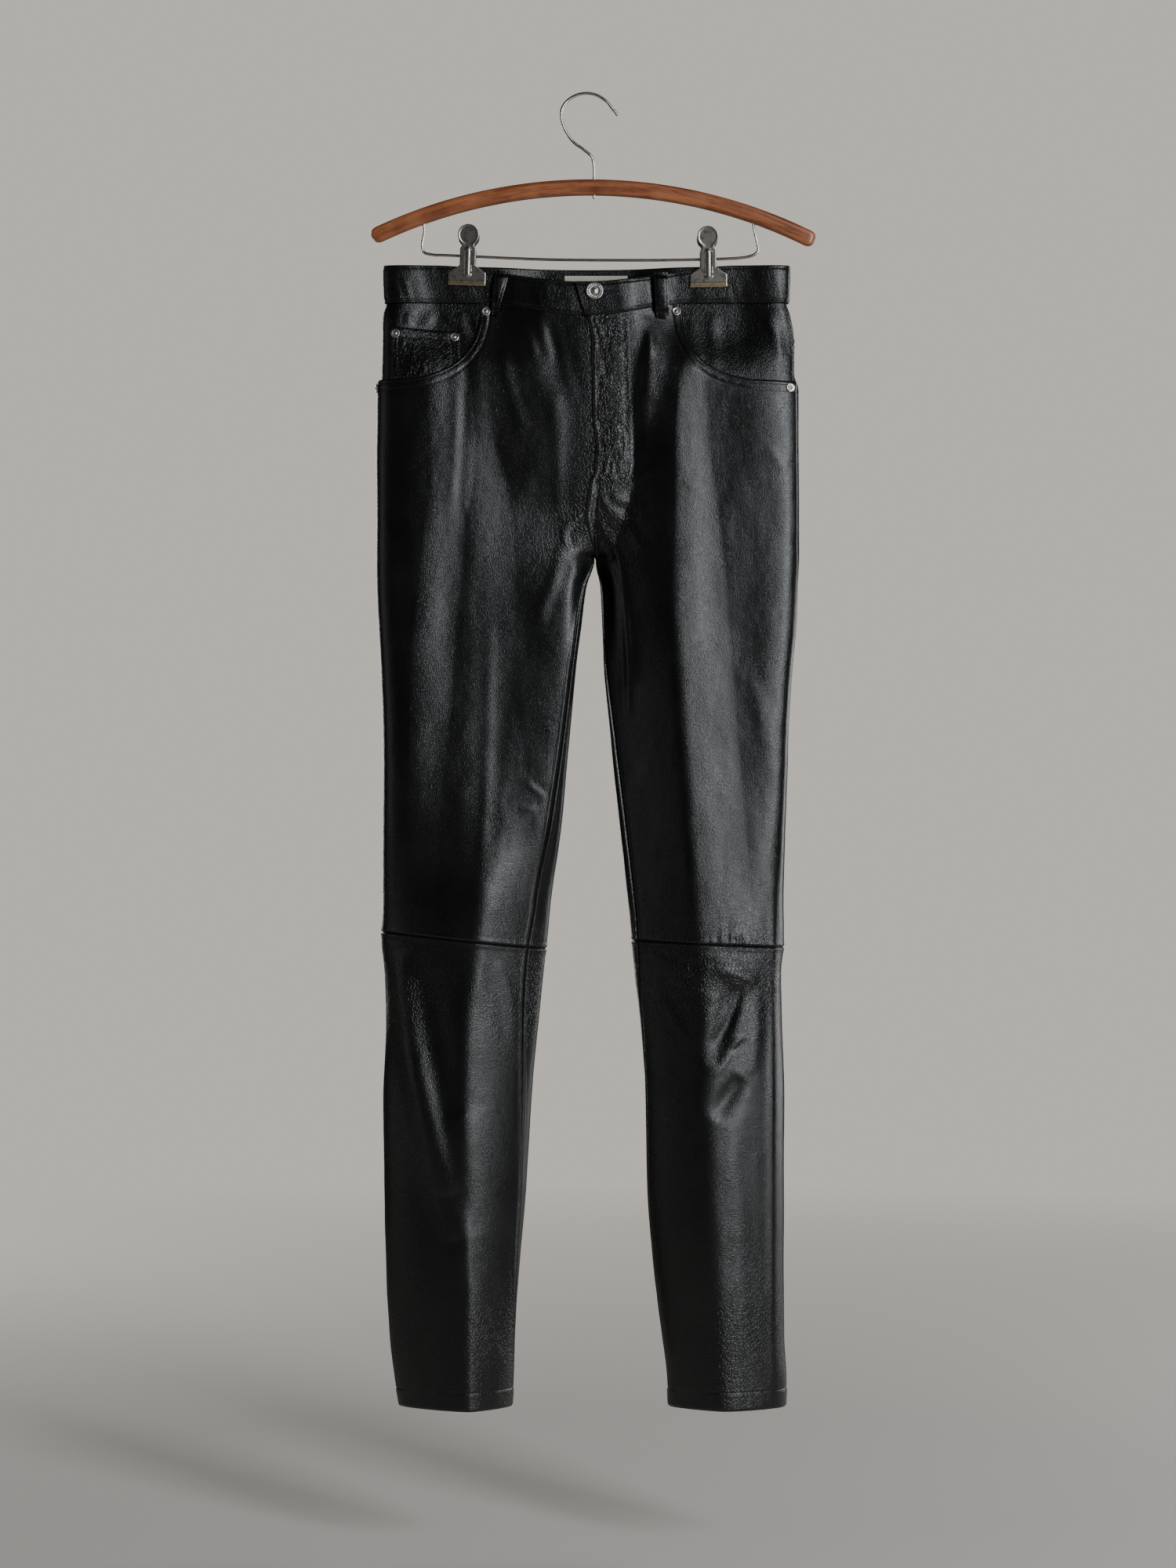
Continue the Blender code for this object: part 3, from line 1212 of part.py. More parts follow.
def place_plate(plate, side, face, wire_z):
    """Leans a plate so that its jaw bears on the band, turns it on the wire and puts it in place."""
    jaw_z = CLIP_NECK[-1][0]
    head_z = CLIP_HEAD["z"] + CLIP_HEAD["radius"]
    lean = math.atan2(CLIP_HEAD_Y - CLIP_JAW_Y, head_z - jaw_z)
    stand = Matrix.Translation((0.0, -(CLIP_JAW_Y + CLIP_THICK / 2), jaw_z + CLIP_DROP[side]))
    tilt = stand @ Matrix.Rotation(lean, 4, "X") @ Matrix.Translation((0.0, 0.0, -jaw_z))
    mirror = Matrix.Identity(4) if face == "front" else Matrix.Rotation(math.pi, 4, "Z")
    swing = Matrix.Translation((CLIP_X[side], 0.0, wire_z)) @ Matrix.Rotation(CLIP_TURN[side], 4, "Y")
    place = swing @ Matrix.Translation((0.0, 0.0, -wire_z)) @ mirror @ tilt
    plate.matrix_world = place
    for modifier in plate.modifiers:
        modifier.object.matrix_world = place


def make_spring(side, wire_z, steel, where):
    """The spring round the wire, as the ring that its coils fill."""
    inner = WIRE_RADIUS + HOLE_CLEAR
    outer = inner + 0.0011
    half = EAR_REACH["back"] - EAR_WIDE - HOLE_CLEAR
    outline = [(outer, half), (outer, -half), (inner, -half), (inner, half)]
    made = turned("clip_" + side + "_spring", outline, 12, steel, where, is_ring=True)
    made.rotation_euler = (0.0, math.pi / 2 + wire_slope(side), 0.0)
    made.location = (CLIP_X[side], 0.0, wire_z)


def main():
    for old in list(bpy.data.objects):
        bpy.data.objects.remove(old)
    where = collection("leather_trousers")
    cutters = collection("cutters")
    leather = material("black_leather", (0.012, 0.012, 0.013), 0.38)
    nickel = material("aged_nickel", (0.62, 0.58, 0.52), 0.35, 1.0)
    steel = material("clip_steel", (0.42, 0.40, 0.36), 0.30, 1.0)
    wood = material("hanger_wood", (0.36, 0.12, 0.045), 0.42)
    woven = material("label_cloth", (0.72, 0.70, 0.60), 0.90)
    pieces = {}
    for side in ("right", "left"):
        pieces["front_thigh_" + side] = make_front_thigh(side, leather, where)
        make_back_thigh(side, leather, where)
        make_shin("front", side, leather, where)
        make_shin("back", side, leather, where)
        pieces["yoke_" + side] = make_yoke(side, leather, where)
        make_facing(side, leather, where)
    pieces["coin_pocket"] = make_coin_pocket(leather, where)
    pieces["waistband"] = make_waistband(leather, where)
    bpy.context.view_layer.update()
    for row in LOOPS:
        under = [made for name, made in pieces.items() if name in LOOP_SEATS[row[1]]]
        make_loop(row, under, leather, where)
    make_label(woven, where)
    make_button(pieces["waistband"], nickel, where)
    make_rivets(pieces, nickel, where)
    make_hanger(wood, steel, where, cutters)
    for side in ("right", "left"):
        make_clip(side, steel, where, cutters)


main()
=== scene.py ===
"""Leather trousers on a wooden hanger with two clips, as they hang in the photograph.

Metres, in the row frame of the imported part: +Z up, the front faces -Y and +X is the viewer's
right. The cloth follows the part's own sections, with finer folds, seams and stitches on them.
"""

import json
import math

import bmesh
import bpy
import numpy as np
from mathutils import Matrix, Vector, kdtree

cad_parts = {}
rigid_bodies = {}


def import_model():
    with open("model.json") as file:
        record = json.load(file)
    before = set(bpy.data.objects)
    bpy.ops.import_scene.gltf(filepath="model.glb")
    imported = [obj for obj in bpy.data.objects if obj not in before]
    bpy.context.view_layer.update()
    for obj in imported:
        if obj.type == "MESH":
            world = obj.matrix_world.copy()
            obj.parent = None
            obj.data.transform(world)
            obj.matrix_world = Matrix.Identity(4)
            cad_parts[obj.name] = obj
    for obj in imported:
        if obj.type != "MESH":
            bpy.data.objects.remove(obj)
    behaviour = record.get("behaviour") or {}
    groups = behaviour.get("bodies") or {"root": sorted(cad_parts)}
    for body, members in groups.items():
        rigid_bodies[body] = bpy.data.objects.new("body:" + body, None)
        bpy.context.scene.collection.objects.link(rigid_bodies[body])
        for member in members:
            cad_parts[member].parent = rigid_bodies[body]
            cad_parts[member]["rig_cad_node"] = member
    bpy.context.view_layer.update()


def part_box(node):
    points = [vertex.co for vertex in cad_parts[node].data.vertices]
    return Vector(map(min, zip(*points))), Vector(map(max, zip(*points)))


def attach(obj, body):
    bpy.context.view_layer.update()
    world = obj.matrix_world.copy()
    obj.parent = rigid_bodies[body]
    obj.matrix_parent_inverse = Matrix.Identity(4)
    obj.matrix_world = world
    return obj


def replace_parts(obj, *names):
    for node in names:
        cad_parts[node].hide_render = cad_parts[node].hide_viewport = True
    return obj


# Leather and gaps
WALL = 0.0014
SEAM_GAP = 0.0003
LAYER_GAP = 0.0005

# Waistband
BAND_TOP = -0.168
BAND_DIP = 0.0175
BAND_DIP_REACH = 0.150
BAND_BACK_DIP = 0.0025
BAND_OUT = 0.0012
BAND_IN = 0.0020
BAND_SEAM = -0.2052
BAND_SEAM_DIP = 0.0140
BAND_SEAM_REACH = 0.108
BAND_BACK_HEIGHT = 0.0372
BAND_UNDER_END = 0.026
BAND_UNDER_GAP = 0.0005

# Heights
CROTCH = -0.455
JOINED = CROTCH + 1e-6
HEM = -1.2868
OPEN_FRONT = -0.335

# Clips and the pinch that they make
CLIP_X = {"right": -0.1163, "left": 0.1193}
PINCH_HALF = 0.0040
PINCH_REACH = (0.028, 0.078)
PINCH_FADE = (-0.200, -0.275)

# Pocket mouths: a rounded corner between the waist seam and the side seam
MOUTH = {
    "right": {"start": -0.1045, "end": -0.204, "bottom": -0.2825, "power": 2.6},
    "left": {"start": 0.0945, "end": 0.206, "bottom": -0.2840, "power": 2.8},
}
FACING_UNDERLAP = 0.010
RECESS_TOP = 0.0020
RECESS_LOW = 0.0042
RECESS_RANGE = (-0.216, -0.246)
SIDE_RECESS_END = (-0.276, -0.292)

FACING_CRUMPLE = 0.35
COIN_CRUMPLE = 0.6
BAND_CRUMPLE = 0.3
COIN_WALL = 0.0012
COIN_GAP = 0.0010
COIN = {
    "top_in": (-0.1232, -0.2337),
    "top_out": (-0.1930, -0.2293),
    "low_in": (-0.1205, -0.2850),
    "low_out": (-0.1930, -0.2870),
}

# Fly: the left front laps over the right one
FLY_UNDER = 0.070
FLY_STEP = 0.0024
FLY_END = (-0.350, -0.376)
FLY_RAISE_END = (-0.403, -0.440)
FLY_RAISE_REACH = (0.12, 0.28)

# Yoke seam, from the side to the centre back
YOKE_SIDE = -0.2445
YOKE_CENTRE = -0.2760

# Columns of the section tables
COLUMNS = ("z", "outer", "crest", "inner", "front", "back", "inseam", "outseam")
SECTIONS = {
    "right": (
        (-0.155, -0.1985, -0.100, 0.0030, 0.0080, 0.0080, 0.00, 1.00),
        (-0.204, -0.1978, -0.100, 0.0030, 0.0140, 0.0160, 0.00, 1.00),
        (-0.216, -0.2010, -0.100, 0.0032, 0.0170, 0.0190, 0.00, 1.00),
        (-0.245, -0.2042, -0.103, 0.0045, 0.0240, 0.0260, 0.00, 1.00),
        (-0.282, -0.2052, -0.104, 0.0060, 0.0300, 0.0320, 0.00, 1.00),
        (-0.330, -0.2056, -0.094, 0.0075, 0.0335, 0.0370, 0.00, 1.00),
        (-0.407, -0.2063, -0.079, 0.0080, 0.0355, 0.0410, 0.00, 1.00),
        (-0.455, -0.2062, -0.074, 0.0084, 0.0375, 0.0425, 0.00, 1.00),
        (-0.484, -0.2055, -0.073, 0.0003, 0.0385, 0.0430, 0.06, 1.00),
        (-0.523, -0.2035, -0.074, -0.0046, 0.0395, 0.0430, 0.12, 1.00),
        (-0.561, -0.2017, -0.077, -0.0100, 0.0400, 0.0430, 0.14, 1.00),
        (-0.638, -0.1995, -0.083, -0.0170, 0.0400, 0.0430, 0.18, 1.00),
        (-0.715, -0.2000, -0.089, -0.0239, 0.0400, 0.0430, 0.23, 1.00),
        (-0.792, -0.2002, -0.101, -0.0346, 0.0400, 0.0430, 0.26, 1.00),
        (-0.828, -0.2015, -0.106, -0.0378, 0.0400, 0.0435, 0.26, 1.00),
        (-0.862, -0.1980, -0.111, -0.0416, 0.0400, 0.0440, 0.25, 1.00),
        (-0.908, -0.1963, -0.116, -0.0470, 0.0400, 0.0440, 0.22, 1.00),
        (-0.985, -0.1994, -0.121, -0.0539, 0.0405, 0.0440, 0.17, 1.00),
        (-1.062, -0.1987, -0.119, -0.0585, 0.0410, 0.0440, 0.15, 1.00),
        (-1.139, -0.1971, -0.117, -0.0647, 0.0410, 0.0440, 0.13, 1.00),
        (-1.216, -0.1933, -0.115, -0.0701, 0.0410, 0.0440, 0.06, 1.00),
        (-1.262, -0.1880, -0.115, -0.0716, 0.0410, 0.0430, 0.03, 1.00),
        (-1.300, -0.1820, -0.115, -0.0735, 0.0410, 0.0430, 0.02, 1.00),
    ),
    "left": (
        (-0.155, 0.1992, 0.104, 0.0030, 0.0080, 0.0080, 0.00, 0.99),
        (-0.204, 0.1980, 0.104, 0.0030, 0.0140, 0.0160, 0.00, 0.97),
        (-0.216, 0.2013, 0.104, 0.0032, 0.0170, 0.0190, 0.00, 0.96),
        (-0.245, 0.2074, 0.100, 0.0045, 0.0240, 0.0260, 0.00, 0.95),
        (-0.282, 0.2076, 0.090, 0.0060, 0.0300, 0.0320, 0.00, 0.94),
        (-0.330, 0.2075, 0.087, 0.0075, 0.0345, 0.0370, 0.00, 0.94),
        (-0.407, 0.2080, 0.087, 0.0080, 0.0375, 0.0410, 0.00, 0.94),
        (-0.455, 0.2078, 0.087, 0.0084, 0.0385, 0.0425, 0.00, 0.95),
        (-0.484, 0.2064, 0.087, 0.0138, 0.0390, 0.0430, 0.03, 0.96),
        (-0.523, 0.2048, 0.088, 0.0154, 0.0390, 0.0430, 0.06, 0.97),
        (-0.561, 0.2017, 0.090, 0.0170, 0.0390, 0.0430, 0.09, 0.97),
        (-0.638, 0.1972, 0.096, 0.0240, 0.0390, 0.0430, 0.13, 0.98),
        (-0.715, 0.1948, 0.101, 0.0323, 0.0390, 0.0430, 0.15, 0.985),
        (-0.792, 0.1933, 0.107, 0.0408, 0.0390, 0.0430, 0.16, 0.985),
        (-0.832, 0.1940, 0.111, 0.0445, 0.0390, 0.0435, 0.15, 0.985),
        (-0.862, 0.1912, 0.113, 0.0472, 0.0395, 0.0440, 0.13, 0.985),
        (-0.908, 0.1917, 0.115, 0.0524, 0.0400, 0.0440, 0.10, 1.00),
        (-0.985, 0.1940, 0.118, 0.0578, 0.0405, 0.0440, 0.07, 1.00),
        (-1.062, 0.1933, 0.122, 0.0594, 0.0405, 0.0440, 0.05, 1.00),
        (-1.139, 0.1933, 0.126, 0.0650, 0.0400, 0.0440, 0.04, 1.00),
        (-1.216, 0.1940, 0.1320, 0.0745, 0.0390, 0.0435, 0.03, 1.00),
        (-1.262, 0.1962, 0.1340, 0.0800, 0.0385, 0.0430, 0.03, 1.00),
        (-1.300, 0.1948, 0.1350, 0.0810, 0.0385, 0.0430, 0.02, 1.00),
    ),
}

# The centre seams' distance from the middle plane, and how round and how creased the sections are
CENTRE_COLUMNS = ("z", "front", "back")
CENTRE = (
    (-0.155, 0.0130, 0.0100),
    (-0.204, 0.0160, 0.0160),
    (-0.245, 0.0205, 0.0240),
    (-0.282, 0.0240, 0.0300),
    (-0.330, 0.0262, 0.0350),
    (-0.380, 0.0262, 0.0370),
    (-0.415, 0.0220, 0.0330),
    (-0.438, 0.0148, 0.0240),
    (-0.449, 0.0082, 0.0145),
    (-0.455, 0.0000, 0.0000),
)
FORM_COLUMNS = ("z", "power", "crease", "inner_crease", "flat_to", "flat")
FORM = {
    "right": (
        (-0.155, 3.0, 0.00, 0.00, 0.00, 1.00),
        (-0.230, 3.4, 0.00, 0.00, 0.40, 1.00),
        (-0.300, 4.2, 0.00, 0.00, 0.70, 1.00),
        (-0.384, 5.5, 0.00, 0.00, 0.70, 0.90),
        (-0.430, 6.0, 0.00, 0.00, 0.60, 0.30),
        (-0.500, 6.0, 0.00, 0.00, 0.40, 0.00),
        (-0.600, 5.4, 0.00, 0.05, 0.00, 0.00),
        (-0.710, 4.6, 0.10, 0.22, 0.00, 0.00),
        (-0.780, 3.2, 0.30, 0.58, 0.00, 0.00),
        (-0.840, 2.3, 0.42, 0.66, 0.00, 0.00),
        (-0.950, 2.1, 0.50, 0.50, 0.00, 0.00),
        (-1.300, 2.1, 0.55, 0.55, 0.00, 0.00),
    ),
    "left": (
        (-0.155, 3.0, 0.00, 0.00, 0.00, 1.00),
        (-0.230, 3.4, 0.00, 0.00, 0.30, 1.00),
        (-0.300, 4.4, 0.00, 0.10, 0.45, 1.00),
        (-0.384, 5.0, 0.00, 0.20, 0.50, 1.00),
        (-0.430, 5.0, 0.00, 0.50, 0.40, 0.80),
        (-0.500, 5.0, 0.00, 0.80, 0.20, 0.40),
        (-0.600, 4.8, 0.00, 0.90, 0.00, 0.00),
        (-0.720, 4.2, 0.06, 0.90, 0.00, 0.00),
        (-0.840, 3.0, 0.24, 0.70, 0.00, 0.00),
        (-0.950, 2.7, 0.32, 0.55, 0.00, 0.00),
        (-1.300, 2.5, 0.40, 0.55, 0.00, 0.00),
    ),
}
CREASE_ROUND = 0.10
EVEN_POWER = 2.8
INNER_SHARPER = 1.5
OUTER_SHARPER = {"right": 1.0, "left": 1.35}
CALM_FROM = -0.360
CALM_BELOW = 0.110
SEAM_REACH = 0.025
LEG_REACH = 0.010
REACH_CHANGE = (CROTCH - 0.020, CROTCH + 0.030)
FOLD_CALM = 0.02
LEVEL_ABOVE = (0.222, 0.262)

# Long soft steps of the front, down the thighs: where each starts, how far it runs to +X and how
# far the cloth falls back on the way
STEP_COLUMNS = ("z", "x", "run", "fall")
STEPS = {
    "right": (
        (
            (-0.205, -0.160, 0.035, 0.0000),
            (-0.238, -0.160, 0.038, 0.0034),
            (-0.292, -0.156, 0.044, 0.0054),
            (-0.338, -0.152, 0.044, 0.0056),
            (-0.384, -0.151, 0.040, 0.0054),
            (-0.430, -0.158, 0.040, 0.0054),
            (-0.492, -0.164, 0.042, 0.0060),
            (-0.561, -0.171, 0.042, 0.0066),
            (-0.638, -0.173, 0.038, 0.0058),
            (-0.715, -0.175, 0.032, 0.0030),
            (-0.800, -0.176, 0.030, 0.0000),
            (-1.300, -0.176, 0.030, 0.0000),
        ),
        (
            (-0.240, -0.113, 0.030, 0.0000),
            (-0.292, -0.113, 0.030, 0.0012),
            (-0.338, -0.116, 0.030, 0.0028),
            (-0.384, -0.119, 0.042, 0.0050),
            (-0.430, -0.115, 0.044, 0.0048),
            (-0.492, -0.113, 0.044, 0.0036),
            (-0.561, -0.114, 0.042, 0.0034),
            (-0.638, -0.119, 0.038, 0.0032),
            (-0.715, -0.122, 0.036, 0.0028),
            (-0.800, -0.126, 0.034, 0.0000),
            (-1.300, -0.126, 0.034, 0.0000),
        ),
    ),
    "left": (
        (
            (-0.205, 0.108, 0.024, 0.0000),
            (-0.238, 0.106, 0.024, 0.0034),
            (-0.292, 0.090, 0.028, 0.0028),
            (-0.338, 0.087, 0.032, 0.0038),
            (-0.384, 0.087, 0.038, 0.0048),
            (-0.430, 0.087, 0.044, 0.0064),
            (-0.492, 0.087, 0.050, 0.0076),
            (-0.561, 0.090, 0.052, 0.0080),
            (-0.638, 0.096, 0.052, 0.0080),
            (-0.715, 0.101, 0.054, 0.0070),
            (-0.792, 0.107, 0.054, 0.0040),
            (-0.870, 0.113, 0.054, 0.0000),
            (-1.300, 0.113, 0.054, 0.0000),
        ),
    ),
}

# The largest folds, seen from the front: where each starts and ends, how far its middle bows to +X,
# its half-width and its height, below zero for a trough
FOLD_COLUMNS = ("face", "x0", "z0", "x1", "z1", "bow", "width", "height")
FOLDS = (
    ("front", -0.064, -0.222, -0.010, -0.350, -0.004, 0.013, 0.0010),
    ("front", -0.046, -0.222, 0.000, -0.300, 0.000, 0.010, -0.0007),
    ("front", -0.182, -0.840, -0.132, -1.075, -0.006, 0.014, 0.0040),
    ("front", -0.150, -0.860, -0.125, -1.000, 0.000, 0.014, -0.0025),
    ("front", 0.066, -0.220, 0.052, -0.330, 0.002, 0.012, 0.0030),
    ("front", 0.012, -0.430, 0.042, -0.580, 0.004, 0.010, 0.0030),
    ("front", 0.1845, -0.760, 0.1840, -1.285, -0.001, 0.006, 0.0026),
    ("front", 0.144, -0.872, 0.118, -0.950, 0.002, 0.009, -0.0042),
    ("front", 0.120, -0.850, 0.165, -0.870, 0.000, 0.009, 0.0032),
    ("front", 0.149, -0.962, 0.124, -1.002, 0.000, 0.009, -0.0036),
    ("back", -0.150, -0.300, -0.132, -0.560, 0.004, 0.020, 0.0045),
    ("back", -0.060, -0.330, -0.090, -0.520, -0.004, 0.018, 0.0050),
    ("back", 0.060, -0.330, 0.092, -0.530, 0.004, 0.018, 0.0050),
    ("back", 0.152, -0.300, 0.134, -0.580, -0.004, 0.020, 0.0045),
    ("back", -0.030, -0.420, -0.100, -0.540, 0.004, 0.014, 0.0042),
    ("back", 0.040, -0.420, 0.104, -0.545, -0.004, 0.014, 0.0042),
    ("back", -0.170, -0.800, -0.080, -0.870, 0.000, 0.014, -0.0045),
    ("back", 0.070, -0.880, 0.160, -0.800, 0.000, 0.014, -0.0045),
)

# The largest folds die out at the pocket mouths and at the fly: the middle in X, how far to each
# side, and the depths below the origin at which that stops
MOUTH_CALM_X = 0.003
MOUTH_CALM_REACH = (0.072, 0.092)
MOUTH_CALM_FADE = (0.292, 0.335)
FLY_CALM_X = 0.006
FLY_CALM_REACH = (0.014, 0.034)
FLY_CALM_FADE = (0.390, 0.420)

# Knee seams: heights at the outer edge, at the crease and at the inner edge
KNEE = {
    "right": {"outer": -0.8215, "crest": -0.8310, "inner": -0.8385},
    "left": {"outer": -0.8365, "crest": -0.8325, "inner": -0.8300},
}

SIGN = {"right": -1.0, "left": 1.0}
OTHER = {"right": "left", "left": "right"}

# Belt loops: their thickness, how far they stand off the band and reach past it, and where their
# rows lie from their edges
LOOP_THICK = 0.0016
LOOP_STAND = 0.0047
LOOP_ABOVE = 0.0012
LOOP_BELOW = 0.0110
LOOP_ROW = 0.0022

# Each loop's middle and width at the top and at the bottom, and how far its +X edge turns out
FINE_LOOP_COLUMNS = ("node", "face", "top_x", "low_x", "top_wide", "low_wide", "turn")
FINE_LOOPS = (
    ("belt_loop_right", "front", -0.0822, -0.0900, 0.0135, 0.0075, 0.0030),
    ("belt_loop_left", "front", 0.0722, 0.0745, 0.0138, 0.0130, 0.0012),
    ("belt_loop_back", "back", 0.0220, 0.0215, 0.0120, 0.0120, 0.0000),
)

# The button's and the rivets' outlines, as radii and heights from the middle of the face round to
# the middle of the back, and the button's ring of small marks
BUTTON_X = 0.0078
BUTTON_Z = -0.1955
BUTTON_OUTLINE = (
    (0.0, 0.0030), (0.0012, 0.0029), (0.0022, 0.0025), (0.0030, 0.0019), (0.0034, 0.0018),
    (0.0042, 0.0018), (0.0048, 0.0019), (0.0055, 0.0020), (0.0062, 0.0020), (0.0068, 0.0019),
    (0.0073, 0.0022), (0.0078, 0.0026), (0.0083, 0.0024), (0.0085, 0.0017), (0.0085, 0.0011),
    (0.0078, 0.0004), (0.0065, 0.0), (0.0, 0.0),
)
BUTTON_MARKS = {"inner": 0.0050, "outer": 0.0066, "height": 0.0004, "count": 18}
RIVET_OUTLINE = (
    (0.0, 0.0017), (0.0007, 0.0016), (0.0012, 0.0013), (0.0015, 0.0010), (0.0022, 0.0009),
    (0.0030, 0.0011), (0.0037, 0.0013), (0.0042, 0.0011), (0.0046, 0.0006), (0.0046, 0.0002),
    (0.0042, -0.0001), (0.0, -0.0003),
)

# Rivets: where each sits in the front view, and the piece under it
RIVET_COLUMNS = ("name", "x", "z", "on")
RIVETS = (
    ("rivet_coin_outer", -0.1868, -0.2362, "coin"),
    ("rivet_coin_inner", -0.1292, -0.2392, "coin"),
    ("rivet_mouth_right", -0.0985, -0.2133, ("front", "thigh", "right")),
    ("rivet_mouth_left", 0.0882, -0.2133, ("front", "thigh", "left")),
    ("rivet_side_left", 0.1990, -0.2900, ("front", "thigh", "left")),
)
HIDDEN_RIVET = {"name": "rivet_side_right", "w": 0.955, "z": -0.2900}

# Buttonhole and label
BUTTONHOLE = {"x": 0.0245, "z": -0.1958, "half": 0.0080, "tall": 0.0014, "long": 0.0009}
LABEL_X = (-0.0215, 0.0405)
LABEL_Z = (-0.1765, -0.1985)
LABEL_THICK = 0.0006
LABEL_INSET = 0.0016
LABEL_PUFF = (0.00015, 0.010, 0.008, 71)
BAND_CENTRE = 0.003

# Hanger bar: its arch, its section and the rounding of its ends
BAR_DROP = 0.0495
BAR_HALF = 0.214
BAR_MIDDLE = (0.003, -0.0910)
BAR_TALL = 0.0155
BAR_DEEP = 0.0130
BAR_TILT = math.radians(0.5)
BAR_NOSE = 0.0075
BAR_END_ROUND = 0.0085
BAR_FINE = 0.012
BAR_SQUARE = 0.55

# Hook and wire, as places (x, z) from end to end
HOOK_RADIUS = 0.0015
WIRE_RADIUS = 0.0014
WIRE_STEP = 0.008
WIRE_NOSE = ((0.9, 0.35), (0.6, 0.75))
HOLE_CLEAR = 0.0003
HOOK_ROUTE = (
    (0.0072, -0.1010), (0.0072, -0.0900), (0.0072, -0.0720), (0.0049, -0.0610), (-0.0030, -0.0536),
    (-0.0130, -0.0463), (-0.0203, -0.0362), (-0.0246, -0.0245), (-0.0241, -0.0140),
    (-0.0189, -0.0060), (-0.0102, -0.0004), (0.0000, 0.0015), (0.0100, -0.0003), (0.0190, -0.0060),
    (0.0248, -0.0130), (0.0300, -0.0195),
)
WIRE_ROUTE = (
    (-0.1600, -0.1205), (-0.1600, -0.1270), (-0.1595, -0.1355), (-0.1617, -0.1470),
    (-0.1597, -0.1545), (-0.1510, -0.1570), (-0.1400, -0.1575), (-0.1163, -0.1585),
    (-0.0700, -0.1606), (-0.0190, -0.1621), (0.0680, -0.1624), (0.1193, -0.1615), (0.1480, -0.1603),
    (0.1620, -0.1580), (0.1683, -0.1530), (0.1668, -0.1430), (0.1642, -0.1310), (0.1640, -0.1240),
)

# The hook and the wire: the node, the piece, its route, its radius and its sides
WIRES = (
    ("hanger_hook", "fine_hook", HOOK_ROUTE, HOOK_RADIUS, 16),
    ("hanger_wire", "fine_wire", WIRE_ROUTE, WIRE_RADIUS, 14),
)

# Clips: a plate's head, and its half-widths by height down to its jaw
CLIP_HEAD = {"z": -0.1386, "radius": 0.0104}
CLIP_NECK = (
    (-0.1492, 0.0058), (-0.1520, 0.0078), (-0.1685, 0.0078), (-0.1755, 0.0182), (-0.1872, 0.0182),
)
CLIP_THICK = 0.0010
CLIP_JAW_Y = PINCH_HALF + BAND_OUT + SEAM_GAP
CLIP_HEAD_Y = 0.0106
CLIP_TURN = {"right": math.radians(2.0), "left": math.radians(-1.0)}
CLIP_DROP = {"right": 0.0, "left": -0.0018}

# A plate's lip, rib, dished head and softened edge
LIP_TALL = 0.0040
LIP_THICK = 0.0012
RIB_Z = (-0.1510, -0.1795)
LIP_EDGE = 0.0003
LIP_ROUND = 0.0022
JAW_PAST = 0.0006
RIB_HALF = 0.0034
RIB_HEIGHT = 0.0017
RIB_ROUND = 0.0030
DISH_DEPTH = 0.0004
DISH_RIM = (0.0022, 0.0010)
EDGE_SOFT = (0.00035, 0.0004)

# The ears on the wire, and the spring
EAR_WIDE = 0.0008
EAR_REACH = {"front": 0.0074, "back": 0.0058}
LUG_RADIUS = 0.0034
LUG_FOOT = 0.0042
SPRING_WIRE = 0.0005
SPRING_TURNS = 7

# The over end of the band: its place in X at the top, the foot and the middle, and its row
OVER_END_TOP = -0.0112
OVER_END_LOW = -0.0012
OVER_END_MIDDLE = -0.006
BAND_END_ROW = 0.0028

# The band's middle surface, its rows and its own soft relief: height, width, tallness and seed
BAND_MIDDLE = (BAND_OUT - BAND_IN) / 2
BAND_HALF = (BAND_OUT + BAND_IN) / 2
BAND_ROW = 0.0026
BAND_PUFF = (0.00045, 0.020, 0.030, 61)
BAND_RIDGES = (0.00022, 0.0085, 0.040, 62)
BAND_RUNS = (12, 110, 84, 84, 110, 8)

# Steps of the fine grids, and how far panels tuck under the band
COARSE = 0.0026
COARSE_BACK = 0.0036
FINE = 0.0008
FINE_REACH = 0.0055
STEP_GROWTH = 0.014
TUCK = 0.0030
POCKET_STEP = 0.0022
COIN_STEP = 0.0018

# Widths, and widths with lengths, over which the panels' fine grids are spread
FRONT_WIDE = 0.21
BACK_WIDE = 0.24
GRIDS = {
    "yoke": (0.22, 0.060),
    "shin": (0.170, 0.456),
    "facing": (0.110, 0.095),
    "coin": (0.072, 0.054),
}

# Steps across the cloth for its normals, and how far off it the made leather is looked for
NORMAL_STEP = {"w": 0.004, "z": 0.0015}
SEEN_FROM = 0.004

# How the leather is finished along its seams
ROLL_DEPTH = 0.0013
ROLL_REACH = 0.0012
PAD_HEIGHT = 0.00075
PAD_MIDDLE = 0.0026
PAD_REACH = 0.0018
STITCH_DIP = 0.00042
STITCH_DIP_REACH = 0.0010
# The next two set where the leather is coloured lighter on seam lips and fold tops: partly rubbed wear,
# partly a painted highlight.
WORN_SHEEN_LIP = 0.0016
WORN_SHEEN_TOP = 0.0022
HEM_WALL = 0.0026

# Distances of the stitch rows from their seams, how a pocket mouth is divided, and the coin
# pocket's size for its rows
KNEE_ROW = 0.0030
HEM_ROW = 0.0180
YOKE_ROWS = (0.0022, 0.0086)
MOUTH_ROWS = (0.0034, 0.0098)
COIN_ROWS_AT = (0.0026, 0.0092)
CROTCH_ROW = 0.0085
SEAT_STEP = 0.04
MOUTH_CORNER = 0.82
MOUTH_STEP = 0.0015
MOUTH_END_STEPS = 18
COIN_SIZE = {"wide": 0.071, "tall": 0.054}

